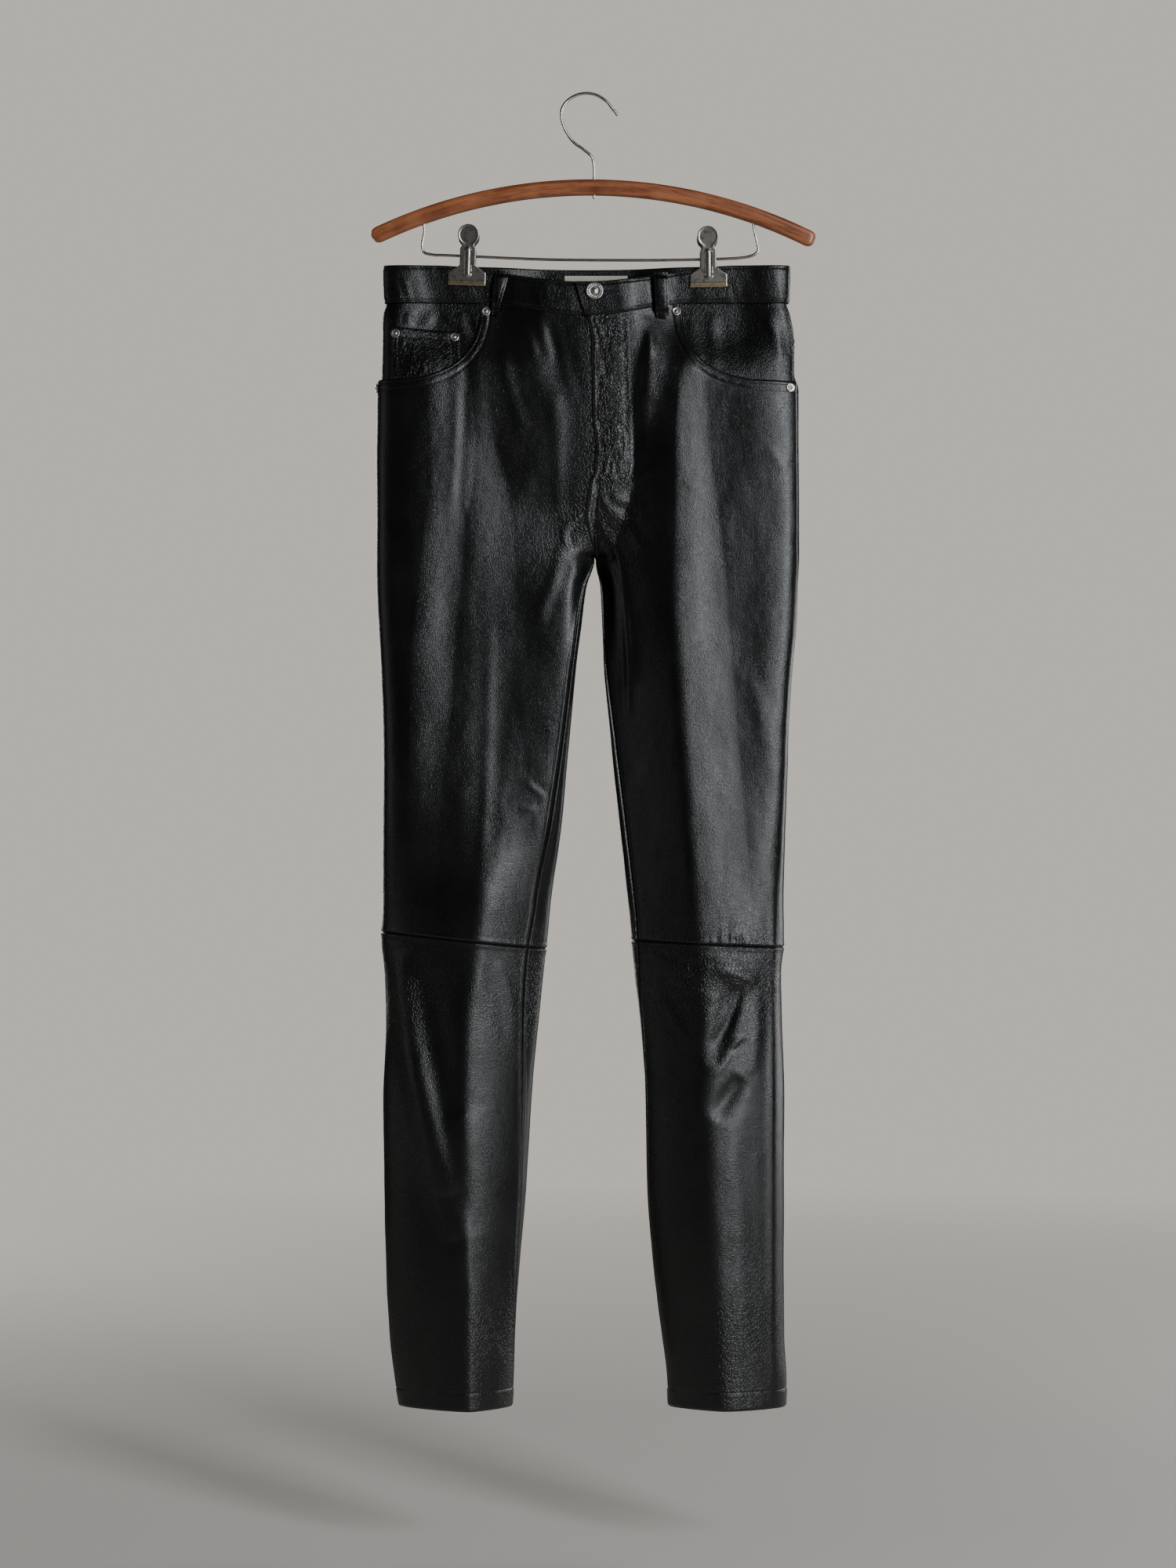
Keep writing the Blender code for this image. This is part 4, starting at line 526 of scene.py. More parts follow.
# The doubled leather along a pocket mouth, as a thickness and its reach, the swelling between the
# mouth's two rows, and the soft ridges there and on the coin pocket
MOUTH_DOUBLED = (0.0008, 0.010)
MOUTH_SWELL = {"middle": 0.0066, "reach": 0.0028, "height": 0.00025}
MOUTH_RIDGES = (0.00016, 0.0050, 0.0050, 43)
COIN_RIDGES = (0.00035, 0.012, 0.005, 51)

# The fly: its edge and the two J rows, as places (z, x) in the front view
FLY_EDGE = (
    (-0.180, 0.0010), (-0.221, 0.0018), (-0.240, 0.0052), (-0.320, 0.0064), (-0.348, 0.0099),
    (-0.373, 0.0082), (-0.381, 0.0040), (-0.400, 0.0015), (-0.416, -0.0010), (-0.436, 0.0030),
    (-0.455, 0.0084),
)
J_INNER = (
    (-0.205, 0.0354), (-0.260, 0.0370), (-0.313, 0.0385), (-0.347, 0.0400), (-0.370, 0.0400),
    (-0.381, 0.0362), (-0.388, 0.0290), (-0.3895, 0.0220),
)
J_OUTER = (
    (-0.205, 0.0423), (-0.260, 0.0440), (-0.330, 0.0462), (-0.362, 0.0462), (-0.376, 0.0440),
    (-0.386, 0.0380), (-0.3925, 0.0290), (-0.3945, 0.0180), (-0.3935, 0.0120),
)
FLY_ROW_Z = (-0.384, -0.424)
FLY_EDGE_ROW = 0.0018
FLY_ROLL = {"pad": 0.0005, "pad_at": 0.0022, "pad_reach": 0.0014, "roll": 0.0008, "reach": 0.0012}
J_DIP = (0.00045, 0.0009)

# Wrinkles of the fly: layers with their height, width, tallness and seed, how far they are warped,
# and the fan of folds at its foot
FLY_RIDGES = ((0.00075, 0.0085, 0.0150, 23), (0.00035, 0.0048, 0.0080, 24))
FLY_WARP = {"x": (0.004, 0.012, 0.016, 21), "z": (0.004, 0.010, 0.012, 22)}
BESIDE_FLY = (0.00030, 0.012, 0.0060, 25)
FLY_FAN = {"x": 0.024, "z": -0.352, "height": 0.0006, "count": 15.0}

# Finer folds of the front view, worked along the cloth's own normals. Skew gives a fold a trough
# beside it: above zero on its +X side, below zero on its -X side
CREASE_COLUMNS = ("face", "x0", "z0", "x1", "z1", "bow", "width", "height", "skew")
SKEW_PLACE = 1.7
CREASES = (
    # viewer's left thigh
    ("front", -0.126, -0.262, -0.133, -0.420, 0.002, 0.0050, 0.0005, 0.5),
    ("front", -0.094, -0.520, -0.108, -0.830, 0.004, 0.0050, 0.0006, 0.5),
    ("front", -0.058, -0.676, -0.040, -0.690, 0.000, 0.0030, 0.0007, -0.5),
    ("front", -0.066, -0.700, -0.047, -0.702, 0.000, 0.0030, 0.0005, -0.5),
    # below the waist seam beside the loops and the fly
    ("front", -0.066, -0.222, -0.050, -0.262, 0.003, 0.0036, 0.0006, 0.6),
    ("front", -0.048, -0.222, -0.034, -0.268, 0.002, 0.0040, 0.0005, 0.5),
    ("front", -0.030, -0.226, -0.012, -0.300, -0.002, 0.0050, 0.0005, 0.4),
    ("front", -0.084, -0.226, -0.062, -0.330, -0.004, 0.0050, 0.0004, 0.5),
    ("front", -0.034, -0.300, -0.026, -0.420, 0.002, 0.0060, 0.0005, 0.4),
    ("front", 0.056, -0.222, 0.062, -0.262, 0.003, 0.0038, 0.0007, 0.5),
    ("front", 0.068, -0.224, 0.058, -0.300, -0.003, 0.0050, 0.0008, -0.5),
    ("front", 0.050, -0.290, 0.054, -0.380, 0.003, 0.0070, 0.0006, 0.5),
    # crotch: folds that fan out from its point
    ("front", -0.006, -0.416, -0.018, -0.448, -0.009, 0.0034, 0.0011, 0.5),
    ("front", -0.018, -0.415, -0.048, -0.520, 0.004, 0.0060, 0.0006, 0.5),
    ("front", 0.012, -0.420, 0.019, -0.435, 0.001, 0.0030, 0.0010, -0.5),
    ("front", 0.018, -0.428, 0.037, -0.480, 0.003, 0.0034, 0.0012, -0.7),
    ("front", 0.036, -0.478, 0.041, -0.610, 0.002, 0.0034, 0.0010, -0.6),
    ("front", 0.020, -0.405, 0.056, -0.450, 0.004, 0.0050, 0.0008, 0.5),
    ("front", 0.026, -0.398, 0.058, -0.408, 0.000, 0.0036, 0.0009, 0.5),
    ("front", 0.044, -0.380, 0.070, -0.372, 0.000, 0.0045, 0.0008, 0.4),
    ("front", 0.014, -0.396, 0.024, -0.412, 0.000, 0.0024, 0.0008, 0.4),
    # viewer's right thigh
    ("front", 0.148, -0.400, 0.150, -0.700, 0.004, 0.0120, -0.0005, 0.4),
    ("front", 0.174, -0.350, 0.196, -0.372, 0.002, 0.0060, 0.0005, 0.5),
    ("front", 0.150, -0.560, 0.176, -0.640, 0.003, 0.0080, 0.0004, 0.4),
    # viewer's left shin
    ("front", -0.186, -0.846, -0.129, -1.120, -0.006, 0.0125, 0.0040, 0.5),
    ("front", -0.086, -0.850, -0.070, -0.930, 0.004, 0.0060, 0.0008, -0.4),
    ("front", -0.112, -1.190, -0.084, -1.240, 0.004, 0.0050, 0.0006, 0.4),
    # viewer's right shin: the crumpled leather below the knee seam
    ("front", 0.118, -0.842, 0.112, -0.880, -0.004, 0.0042, 0.0020, -0.8),
    ("front", 0.112, -0.878, 0.118, -0.892, 0.001, 0.0030, 0.0016, -0.6),
    ("front", 0.117, -0.890, 0.116, -0.955, -0.002, 0.0040, 0.0014, -0.6),
    ("front", 0.146, -0.868, 0.124, -0.924, 0.003, 0.0034, 0.0017, 0.7),
    ("front", 0.122, -0.846, 0.150, -0.852, 0.002, 0.0030, 0.0013, 0.5),
    ("front", 0.128, -0.858, 0.168, -0.872, 0.003, 0.0030, 0.0010, 0.5),
    ("front", 0.152, -0.922, 0.138, -0.934, 0.001, 0.0026, 0.0013, 0.6),
    ("front", 0.140, -0.936, 0.122, -0.962, 0.002, 0.0036, 0.0010, 0.5),
    ("front", 0.062, -0.846, 0.108, -0.862, 0.003, 0.0036, 0.0011, -0.6),
    ("front", 0.074, -0.858, 0.110, -0.884, 0.003, 0.0036, 0.0009, 0.5),
    ("front", 0.066, -0.880, 0.100, -0.930, 0.002, 0.0050, 0.0008, 0.5),
    ("front", 0.166, -0.880, 0.160, -0.960, 0.003, 0.0060, 0.0008, 0.4),
    ("front", 0.140, -1.000, 0.148, -1.240, 0.004, 0.0090, 0.0007, 0.4),
    # facings
    ("front", 0.124, -0.214, 0.127, -0.268, -0.002, 0.0060, 0.0014, -0.5),
    ("front", 0.176, -0.216, 0.190, -0.262, 0.003, 0.0060, 0.0010, 0.4),
    ("front", 0.104, -0.222, 0.112, -0.262, 0.002, 0.0045, 0.0010, 0.5),
    ("front", -0.174, -0.214, -0.172, -0.228, 0.000, 0.0040, 0.0010, 0.5),
    ("front", -0.153, -0.212, -0.156, -0.230, 0.000, 0.0050, 0.0009, 0.4),
    ("front", -0.124, -0.214, -0.114, -0.243, -0.002, 0.0028, 0.0015, 0.6),
    ("front", -0.136, -0.214, -0.127, -0.228, -0.001, 0.0030, 0.0009, 0.5),
    # back of the seat and of the knees
    ("back", -0.118, -0.300, -0.122, -0.560, 0.004, 0.0080, 0.0012, 0.5),
    ("back", 0.122, -0.300, 0.126, -0.560, -0.004, 0.0080, 0.0012, -0.5),
    ("back", -0.020, -0.430, -0.080, -0.500, 0.004, 0.0045, 0.0016, 0.6),
    ("back", 0.030, -0.430, 0.090, -0.505, -0.004, 0.0045, 0.0016, -0.6),
    ("back", -0.010, -0.440, -0.050, -0.540, 0.003, 0.0040, 0.0012, 0.5),
    ("back", 0.020, -0.440, 0.060, -0.545, -0.003, 0.0040, 0.0012, -0.5),
    ("back", -0.176, -0.774, -0.070, -0.790, 0.003, 0.0050, 0.0016, 0.6),
    ("back", -0.184, -0.846, -0.062, -0.862, -0.003, 0.0050, 0.0016, 0.6),
    ("back", -0.160, -0.880, -0.080, -0.906, 0.002, 0.0060, 0.0012, 0.5),
    ("back", 0.060, -0.792, 0.170, -0.770, 0.003, 0.0050, 0.0016, 0.6),
    ("back", 0.064, -0.866, 0.180, -0.848, -0.003, 0.0050, 0.0016, 0.6),
    ("back", 0.080, -0.908, 0.160, -0.884, 0.002, 0.0060, 0.0012, 0.5),
    ("back", -0.120, -0.640, -0.114, -0.790, 0.003, 0.0080, 0.0010, 0.4),
    ("back", 0.120, -0.640, 0.116, -0.790, -0.003, 0.0080, 0.0010, -0.4),
)

# The soft undulation of worn leather: the height, width, tallness and seed of each layer, and how
# far the back's patches are moved from the front's
UNEVEN = (
    (0.00050, 0.034, 0.085, 11),
    (0.00022, 0.015, 0.030, 12),
    (0.00007, 0.006, 0.009, 13),
)
BACK_SHIFT = 0.37
CALM_TOP = (-0.222, -0.206)

# Gathers along the knee seams and the hems: where they are strongest, and how strong
GATHER_COLUMNS = ("side", "x0", "x1", "height")
GATHER_EDGE = 0.25
KNEE_GATHERS = (
    ("right", -0.190, -0.050, 0.00012),
    ("left", 0.050, 0.190, 0.00018),
    ("left", 0.108, 0.168, 0.00042),
)
HEM_GATHERS = (
    ("right", -0.116, -0.072, 0.00034),
    ("right", -0.190, -0.116, 0.00012),
    ("left", 0.136, 0.196, 0.00042),
    ("left", 0.080, 0.136, 0.00012),
)

# Pitch, reach and seed of the gathers
PITCHES = {
    "front_thigh": (0.0060, 0.0150, 41),
    "back_thigh": (0.0070, 0.0150, 45),
    "shin": (0.0060, 0.0110, 47),
    "hem": (0.0068, 0.0130, 49),
}

# Crackled leather: the height of its middle, its reach, how strong it is and, if any, its middle
# in X and its reach there
CRACKLED = {"knee": (-0.880, 0.060, 0.7), "hem": (-1.240, 0.070, 0.6), "crotch": (-0.430, 0.040, 0.6)}
CRACKLED_X = {"fly": (0.022, 0.020), "crotch": (0.008, 0.050)}
CRACKLED_LEAST = 0.15
CRACKLED_PATCH = (0.5, 0.045, 0.070, 31)

# Stitches
THREAD_PITCH = 0.0034
THREAD_LONG = 0.0025
THREAD_RADIUS = 0.00030
THREAD_RINGS = ((-0.46, 0.75), (-0.25, 1.0), (0.25, 1.0), (0.46, 0.75))
THREAD_SIDES = 5

# Reliefs and colours of the materials
GRAIN_SWAY = (0.0012, 0.0012, 0.0012)
GRAIN_HEIGHT = 0.000070
CRACKLE_HEIGHT = 0.00026
SOFT_HEIGHT = 0.00010
LEATHER_COLOURS = ((0.0012, 0.0012, 0.0014, 1), (0.0032, 0.0031, 0.0031, 1))
# The lighter colour of the seam lips and fold tops: partly rubbed wear, partly a painted highlight.
LEATHER_WORN_AND_SHEEN = (0.016, 0.015, 0.0145, 1)
LEATHER_ROUGH = (0.27, 0.33)
WOOD_COLOURS = ((0.145, 0.030, 0.009, 1), (0.430, 0.135, 0.045, 1))
WOOD_PORES = (0.075, 0.016, 0.006, 1)
WOOD_PALE = (0.520, 0.190, 0.070, 1)
# The label's darker colour falls between the threads, where its bump lies low: painted shade.
LABEL_COLOURS = ((0.55, 0.52, 0.42, 1), (0.78, 0.76, 0.66, 1))
BLACK_THREAD = (0.016, 0.016, 0.018, 1.0)
CREAM_THREAD = (0.78, 0.76, 0.68, 1.0)
# The near-black tube in the buttonhole's slit is painted shade.
SLIT_SHADE_COLOUR = (0.004, 0.004, 0.004, 1.0)

# Metals: name, colour, grime and roughness
METALS = (
    ("worn_nickel", (0.62, 0.60, 0.56, 1.0), (0.20, 0.17, 0.13, 1.0), 0.30),
    ("bright_steel", (0.66, 0.65, 0.63, 1.0), (0.40, 0.39, 0.37, 1.0), 0.20),
    ("satin_clip_steel", (0.36, 0.34, 0.31, 1.0), (0.17, 0.155, 0.135, 1.0), 0.30),
    ("brassy_lip", (0.56, 0.46, 0.30, 1.0), (0.26, 0.20, 0.12, 1.0), 0.28),
)

# Camera, floor and backdrop
VIEW_DISTANCE = 3.5
VIEW_MIDDLE = (0.0015, -0.6768)
FRAME_TALL = 1.54
SENSOR = 36.0
FLOOR_Z = -1.43
FLOOR_RADIUS = 3.2
BACKDROP = (0.60, 0.565, 0.51)
SKY = (0.95, 0.97, 1.0)
FLOOR_COLOUR = (0.66, 0.63, 0.58, 1.0)
WORLD_LIGHT = 0.05

# Soft lights: name, place, size across and up, power, colour
LIGHT_COLUMNS = ("name", "x", "y", "z", "wide", "tall", "power", "colour")
LIGHTS = (
    ("key", 1.72, -2.66, 0.15, 0.7, 3.0, 84.0, (0.93, 0.97, 1.00)),
    ("rim", 2.20, 1.10, -0.30, 0.9, 2.0, 30.0, (0.97, 0.98, 1.00)),
    ("fill", -2.80, -1.00, -0.30, 1.2, 2.0, 5.0, (1.00, 0.98, 0.95)),
    ("rear", -1.60, 2.60, -0.20, 1.0, 2.0, 26.0, (1.00, 0.98, 0.96)),
)
LIGHT_TARGET = (0.0, 0.0, -0.70)


def ease(value, start, end):
    """0 at start and 1 at end, with a smooth run between them."""
    t = np.clip((np.asarray(value, float) - start) / (end - start), 0.0, 1.0)
    return t * t * (3.0 - 2.0 * t)


def fade(value, start, end):
    """1 at start and 0 at end, with a smooth run between them."""
    return 1.0 - ease(value, start, end)


def bell(distance, width):
    """1 at distance 0, dying away over about that width on both sides."""
    return np.exp(-((distance / width) ** 2))


def blend(start, end, share):
    return start + (end - start) * share


def unit(vectors):
    return vectors / np.linalg.norm(vectors, axis=-1, keepdims=True)


def path_length(*coordinates):
    """The length along a line of points up to each of them."""
    legs = np.sqrt(sum(np.diff(values) ** 2 for values in coordinates))
    return np.concatenate([[0.0], np.cumsum(legs)])


def named(columns, rows):
    """The rows of a table as dictionaries by the names of its columns."""
    return [dict(zip(columns, row)) for row in rows]


def track(rows, columns, name, z):
    """One column of a table at the heights z, as a smooth curve that never overshoots its rows."""
    table = np.array(rows, float)[::-1]
    heights = table[:, columns.index("z")]
    values = table[:, columns.index(name)]
    secants = np.diff(values) / np.diff(heights)
    before, after = secants[:-1], secants[1:]
    total = np.where(before * after > 0.0, before + after, 1.0)
    turns = np.where(before * after > 0.0, 2.0 * before * after / total, 0.0)
    slopes = np.concatenate([secants[:1], turns, secants[-1:]])
    z = np.clip(np.asarray(z, float), heights[0], heights[-1])
    k = np.clip(np.searchsorted(heights, z, side="right") - 1, 0, len(heights) - 2)
    span = heights[k + 1] - heights[k]
    t = (z - heights[k]) / span
    rise = values[k + 1] - values[k]
    a = slopes[k] * span
    b = slopes[k + 1] * span
    return values[k] + t * a + t**2 * (3 * rise - 2 * a - b) + t**3 * (a + b - 2 * rise)


def section_value(side, name, z):
    return track(SECTIONS[side], COLUMNS, name, z)


def beside_fold(fold, x, z):
    """Offsets of places from a fold's own curve, and a share that rises to 1 at its middle."""
    run_x = fold["x1"] - fold["x0"]
    run_z = fold["z1"] - fold["z0"]
    along = ((x - fold["x0"]) * run_x + (z - fold["z0"]) * run_z) / (run_x**2 + run_z**2)
    along = np.clip(along, 0.0, 1.0)
    arch = np.sin(np.pi * along)
    off_x = x - fold["x0"] - run_x * along - fold["bow"] * arch
    off_z = z - fold["z0"] - run_z * along
    return off_x, off_z, arch


def fold_height(face, x, z):
    """How far the folds of a face stand out at the places (x, z) of the front view."""
    total = np.zeros_like(x)
    for fold in named(FOLD_COLUMNS, FOLDS):
        if fold["face"] == face:
            off_x, off_z, arch = beside_fold(fold, x, z)
            total += fold["height"] * np.sqrt(arch) * bell(np.hypot(off_x, off_z), fold["width"])
    at_mouth = ease(np.abs(x - MOUTH_CALM_X), *MOUTH_CALM_REACH) * fade(-z, *MOUTH_CALM_FADE)
    at_fly = fade(np.abs(x - FLY_CALM_X), *FLY_CALM_REACH) * fade(-z, *FLY_CALM_FADE)
    return total * (1.0 - at_mouth) * (1.0 - at_fly)


def profile(turn, power, crease):
    """Run and rise of a quarter section: (1, 0) at its edge and (0, 1) at its crest."""
    run = np.cos(turn) ** (2.0 / np.minimum(power, EVEN_POWER))
    rise = (1.0 - run**power) ** (1.0 / power)
    soft = np.sqrt(run**2 + CREASE_ROUND**2) - CREASE_ROUND
    soft /= math.sqrt(1.0 + CREASE_ROUND**2) - CREASE_ROUND
    return run, (1.0 - crease) * rise + crease * (1.0 - soft)


def steps_fall(side, x, z):
    """How far the long steps of one front have fallen back at the places (x, z)."""
    total = np.zeros_like(x)
    for rows in STEPS[side]:
        start, run, fall = (track(rows, STEP_COLUMNS, name, z) for name in STEP_COLUMNS[1:])
        part = np.clip((x - start) / run, 0.0, 1.0)
        total += fall * (0.5 * part + 0.5 * ease(part, 0.0, 1.0))
    return total


def pinch(x, z, depth):
    """The depth of a face, drawn in where a clip holds it."""
    hold = fade(-z, -PINCH_FADE[0], -PINCH_FADE[1])
    for clip_x in CLIP_X.values():
        near = fade(np.abs(x - clip_x), *PINCH_REACH) * hold
        depth = depth * (1.0 - near) + np.minimum(depth, PINCH_HALF) * near
    return depth


def centre_depth(is_back, z):
    """How far the centre seams lie from the middle plane at the heights z."""
    front = track(CENTRE, CENTRE_COLUMNS, "front", z)
    return np.where(is_back, track(CENTRE, CENTRE_COLUMNS, "back", z), front)


def quarter_section(side, half, form, is_inner, is_back):
    """Run and rise of the quarter section that each place lies on."""
    crease = np.where(is_inner, form["inner_crease"], form["crease"])
    sharper = np.where(is_inner, INNER_SHARPER, OUTER_SHARPER[side])
    extra = (sharper - 1.0) * ease(form["power"], 3.0, 5.0)
    power = form["power"] * np.where(is_back, 1.0, 1.0 + extra)
    return profile(half * math.pi / 2, power, crease)


def inner_depth(form, half, rise, full, near, is_back, z):
    """Depth between the crest and the inner edge, which is at the centre seam or the inseam."""
    seam = centre_depth(is_back, z) * (z > JOINED)
    edge = centre_depth(is_back, np.maximum(z, CALM_FROM)) * ease(z, CROTCH - CALM_BELOW, CALM_FROM)
    flat_to = np.where(is_back, 0.0, form["flat_to"])
    slope = np.clip((half - flat_to) / (1.0 - flat_to), 0.0, 1.0)
    steep = 0.6 * slope + 0.4 * ease(slope, 0.0, 1.0)
    inner_rise = rise * (1.0 - form["flat"]) + steep * form["flat"]
    return edge + (full - edge) * inner_rise + (seam - edge) * near


def base_point(side, w, z):
    """Points of the cloth's outer face on one side, for w from 0 to 3."""
    w, z = np.broadcast_arrays(np.asarray(w, float), np.asarray(z, float))
    is_back = (w > 1.0) & ((w < 2.0) | (z > JOINED))
    s = np.where(w > 1.0, np.abs(2.0 - w), w)
    value = {name: section_value(side, name, z) for name in COLUMNS[1:6]}
    form = {name: track(FORM[side], FORM_COLUMNS, name, z) for name in FORM_COLUMNS[1:]}
    is_inner = s < 0.5
    half = np.clip(np.where(is_inner, s, 1.0 - s) / 0.5, 0.0, 1.0)
    run, rise = quarter_section(side, half, form, is_inner, is_back)
    open_share = ease(z, CROTCH - CALM_BELOW, OPEN_FRONT)
    inner_run = run * (1.0 - open_share) + (1.0 - half) * open_share
    inner_x = blend(value["crest"], value["inner"], inner_run)
    x = np.where(is_inner, inner_x, blend(value["crest"], value["outer"], run))
    full = np.where(is_back, value["back"], value["front"] - steps_fall(side, x, z))
    near = bell(inner_x - value["inner"], blend(LEG_REACH, SEAM_REACH, ease(z, *REACH_CHANGE)))
    inner = inner_depth(form, half, rise, full, near, is_back, z)
    depth = pinch(x, z, np.where(is_inner, inner, full * rise))
    folds = np.where(is_back, fold_height("back", x, z), fold_height("front", x, z))
    depth = depth + folds * np.clip(depth / FOLD_CALM, 0.0, 1.0)
    return np.stack([x, np.where(is_back, depth, -depth), z], axis=-1)


def cloth_point(side, w, z):
    """As base_point, with w below 0 or above 2 running on: over the other side, or round the leg."""
    w, z = np.broadcast_arrays(np.asarray(w, float), np.asarray(z, float))
    is_joined = z > JOINED
    turned_w = np.where(w < 0.0, np.where(is_joined, 0.0, w + 2.0), w)
    own = base_point(side, np.where(is_joined, np.minimum(turned_w, 2.0), turned_w), z)
    other_w = np.where(w < 0.0, -w, np.where(w > 2.0, 4.0 - w, 1.0))
    across = base_point(OTHER[side], other_w, z)
    is_across = is_joined & ((w < 0.0) | (w > 2.0))
    return np.where(is_across[..., None], across, own)


def outward(side, w, z):
    """Unit normals of the outer face, level where the panels meet the waistband."""
    w, z = np.broadcast_arrays(np.asarray(w, float), np.asarray(z, float))
    dw, dz = NORMAL_STEP["w"], NORMAL_STEP["z"]
    low = np.where(z > JOINED, np.maximum(z - dz, CROTCH + 1e-5), z - dz)
    high = np.where(z > JOINED, z + dz, np.minimum(z + dz, CROTCH))
    across = cloth_point(side, w + dw, z) - cloth_point(side, w - dw, z)
    upward = cloth_point(side, w, high) - cloth_point(side, w, low)
    normal = np.cross(across, upward) * SIGN[side]
    normal[..., 2] *= ease(-z, *LEVEL_ABOVE)
    return unit(normal)


def w_at_x(side, x, z):
    """The place w on the front of one side that lies at x in the front view."""
    steps = np.linspace(0.0, 1.0, 241)
    wanted, heights = np.broadcast_arrays(np.ravel(x), np.ravel(z))
    across = base_point(side, steps[None, :], heights[:, None])[..., 0] * SIGN[side]
    return np.array([np.interp(one * SIGN[side], row, steps) for one, row in zip(wanted, across)])


def dip(x, reach):
    return np.where(np.abs(x) < reach, np.cos(np.clip(x / reach, -1, 1) * math.pi / 2) ** 2, 0.0)


def band_edges(x, is_back):
    """Heights of the waistband's top and bottom edges at x."""
    front_top = BAND_TOP - BAND_DIP * dip(x, BAND_DIP_REACH)
    front_low = BAND_SEAM - BAND_SEAM_DIP * dip(x, BAND_SEAM_REACH)
    back_top = BAND_TOP - BAND_BACK_DIP * dip(x, BAND_DIP_REACH)
    back_low = back_top - BAND_BACK_HEIGHT
    return np.where(is_back, back_top, front_top), np.where(is_back, back_low, front_low)


def knee_height(side, x):
    """Height of the knee seam at x."""
    z = KNEE[side]["crest"]
    stops = [section_value(side, name, z) * SIGN[side] for name in ("inner", "crest", "outer")]
    heights = [KNEE[side][name] for name in ("inner", "crest", "outer")]
    return np.interp(np.asarray(x) * SIGN[side], [float(s) for s in stops], heights)


def side_recess(w, z):
    """How far the yoke and the back lie in beside a pocket facing."""
    near = fade(w, 1.0, 1.35)
    return facing_recess(z) * near * fade(-z, -SIDE_RECESS_END[0], -SIDE_RECESS_END[1])


def facing_recess(z):
    share = ease(-z, -RECESS_RANGE[0], -RECESS_RANGE[1])
    return RECESS_TOP + (RECESS_LOW - RECESS_TOP) * share


def fly_raise(w, z):
    """How far the left front stands out over the right front."""
    near = fade(w, *FLY_RAISE_REACH)
    return FLY_STEP * near * fade(-z, -FLY_RAISE_END[0], -FLY_RAISE_END[1])


def outseam(side, z):
    return section_value(side, "outseam", z)


def mouth_curve(side, share):
    """Front-view places on a pocket mouth: share 0 at the waist seam and 1 at the side seam."""
    mouth = MOUTH[side]
    top = band_edges(np.array(mouth["start"]), False)[1]
    turn = share * math.pi / 2
    x = mouth["end"] + (mouth["start"] - mouth["end"]) * np.cos(turn) ** (2 / mouth["power"])
    z = top + (mouth["bottom"] - top) * np.sin(turn) ** (2 / mouth["power"])
    return x, z


def back_inner(side, z):
    """The back panel's inner edge: the centre back above the crotch and the inseam below it."""
    return 2.0 + np.where(z > JOINED, 0.0, section_value(side, "inseam", z))


def yoke_seam(share):
    """Height of the yoke seam: share 0 at the centre back and 1 at the side."""
    return YOKE_CENTRE + (YOKE_SIDE - YOKE_CENTRE) * share


def band_raise(k, x):
    """The over end of the band stands clear of the under end."""
    full = BAND_OUT + BAND_IN + BAND_UNDER_GAP
    if k == 5:
        return full
    if k == 4:
        return full * float(fade(x, BAND_UNDER_END + 0.006, BAND_UNDER_END + 0.040))
    return 0.0


def smooth_route(route, steps):
    """A smooth curve through the points of a route, with some steps between each two."""
    points = np.array(route, float)
    ends = np.vstack([2 * points[0] - points[1], points, 2 * points[-1] - points[-2]])
    made = []
    for k in range(len(points) - 1):
        a, b, c, d = ends[k : k + 4]
        for t in np.arange(steps) / steps:
            bend = 2 * a - 5 * b + 4 * c - d
            twist = 3 * b - a - 3 * c + d
            made.append(0.5 * (2 * b + (c - a) * t + bend * t**2 + twist * t**3))
    return np.vstack([made, points[-1:]])


def wire_at(side, shift=0.0):
    """Height of the wire where it passes through a clip."""
    return float(np.interp(CLIP_X[side] + shift, *zip(*WIRE_ROUTE[4:14])))


def wire_slope(side):
    """How far the wire falls to +X where it passes through a clip, as an angle."""
    fall = wire_at(side, -WIRE_STEP) - wire_at(side, WIRE_STEP)
    return math.atan2(fall, 2 * WIRE_STEP)


def cloud(x, z, wide, tall, seed):
    """Smooth uneven values from -1 to 1, in patches of about that width and height."""
    table = np.random.default_rng(seed).uniform(-1.0, 1.0, (64, 64))
    u = x / wide
    v = z / tall
    i = np.floor(u).astype(int)
    j = np.floor(v).astype(int)
    a = ease(u - i, 0.0, 1.0)
    b = ease(v - j, 0.0, 1.0)
    low = table[i % 64, j % 64] * (1.0 - a) + table[(i + 1) % 64, j % 64] * a
    high = table[i % 64, (j + 1) % 64] * (1.0 - a) + table[(i + 1) % 64, (j + 1) % 64] * a
    return low * (1.0 - b) + high * b


def ridges(x, z, wide, tall, seed):
    """Sharp-topped uneven ridges, from -1 to 1."""
    return 1.0 - 2.0 * np.abs(cloud(x, z, wide, tall, seed)) ** 0.8


def crease_height(is_back, x, z):
    """The finer folds at places of the front view."""
    total = np.zeros_like(x)
    for fold in named(CREASE_COLUMNS, CREASES):
        off_x, off_z, arch = beside_fold(fold, x, z)
        is_steep = abs(fold["z1"] - fold["z0"]) >= abs(fold["x1"] - fold["x0"])
        over = np.sign(off_x) if is_steep else -np.sign(off_z)
        reach = over * np.hypot(off_x, off_z) / fold["width"]
        beside = math.copysign(SKEW_PLACE, fold["skew"])
        shape = bell(reach, 1.0) - abs(fold["skew"]) * bell(reach - beside, 1.0)
        on_face = is_back if fold["face"] == "back" else ~is_back
        total += np.where(on_face, fold["height"] * np.sqrt(arch) * shape, 0.0)
    return total


def unevenness(x, z, is_back):
    """The soft undulation that worn leather keeps everywhere."""
    shift = np.where(is_back, BACK_SHIFT, 0.0)
    return sum(uneven_layer(layer, x + shift, z, cloud) for layer in UNEVEN)


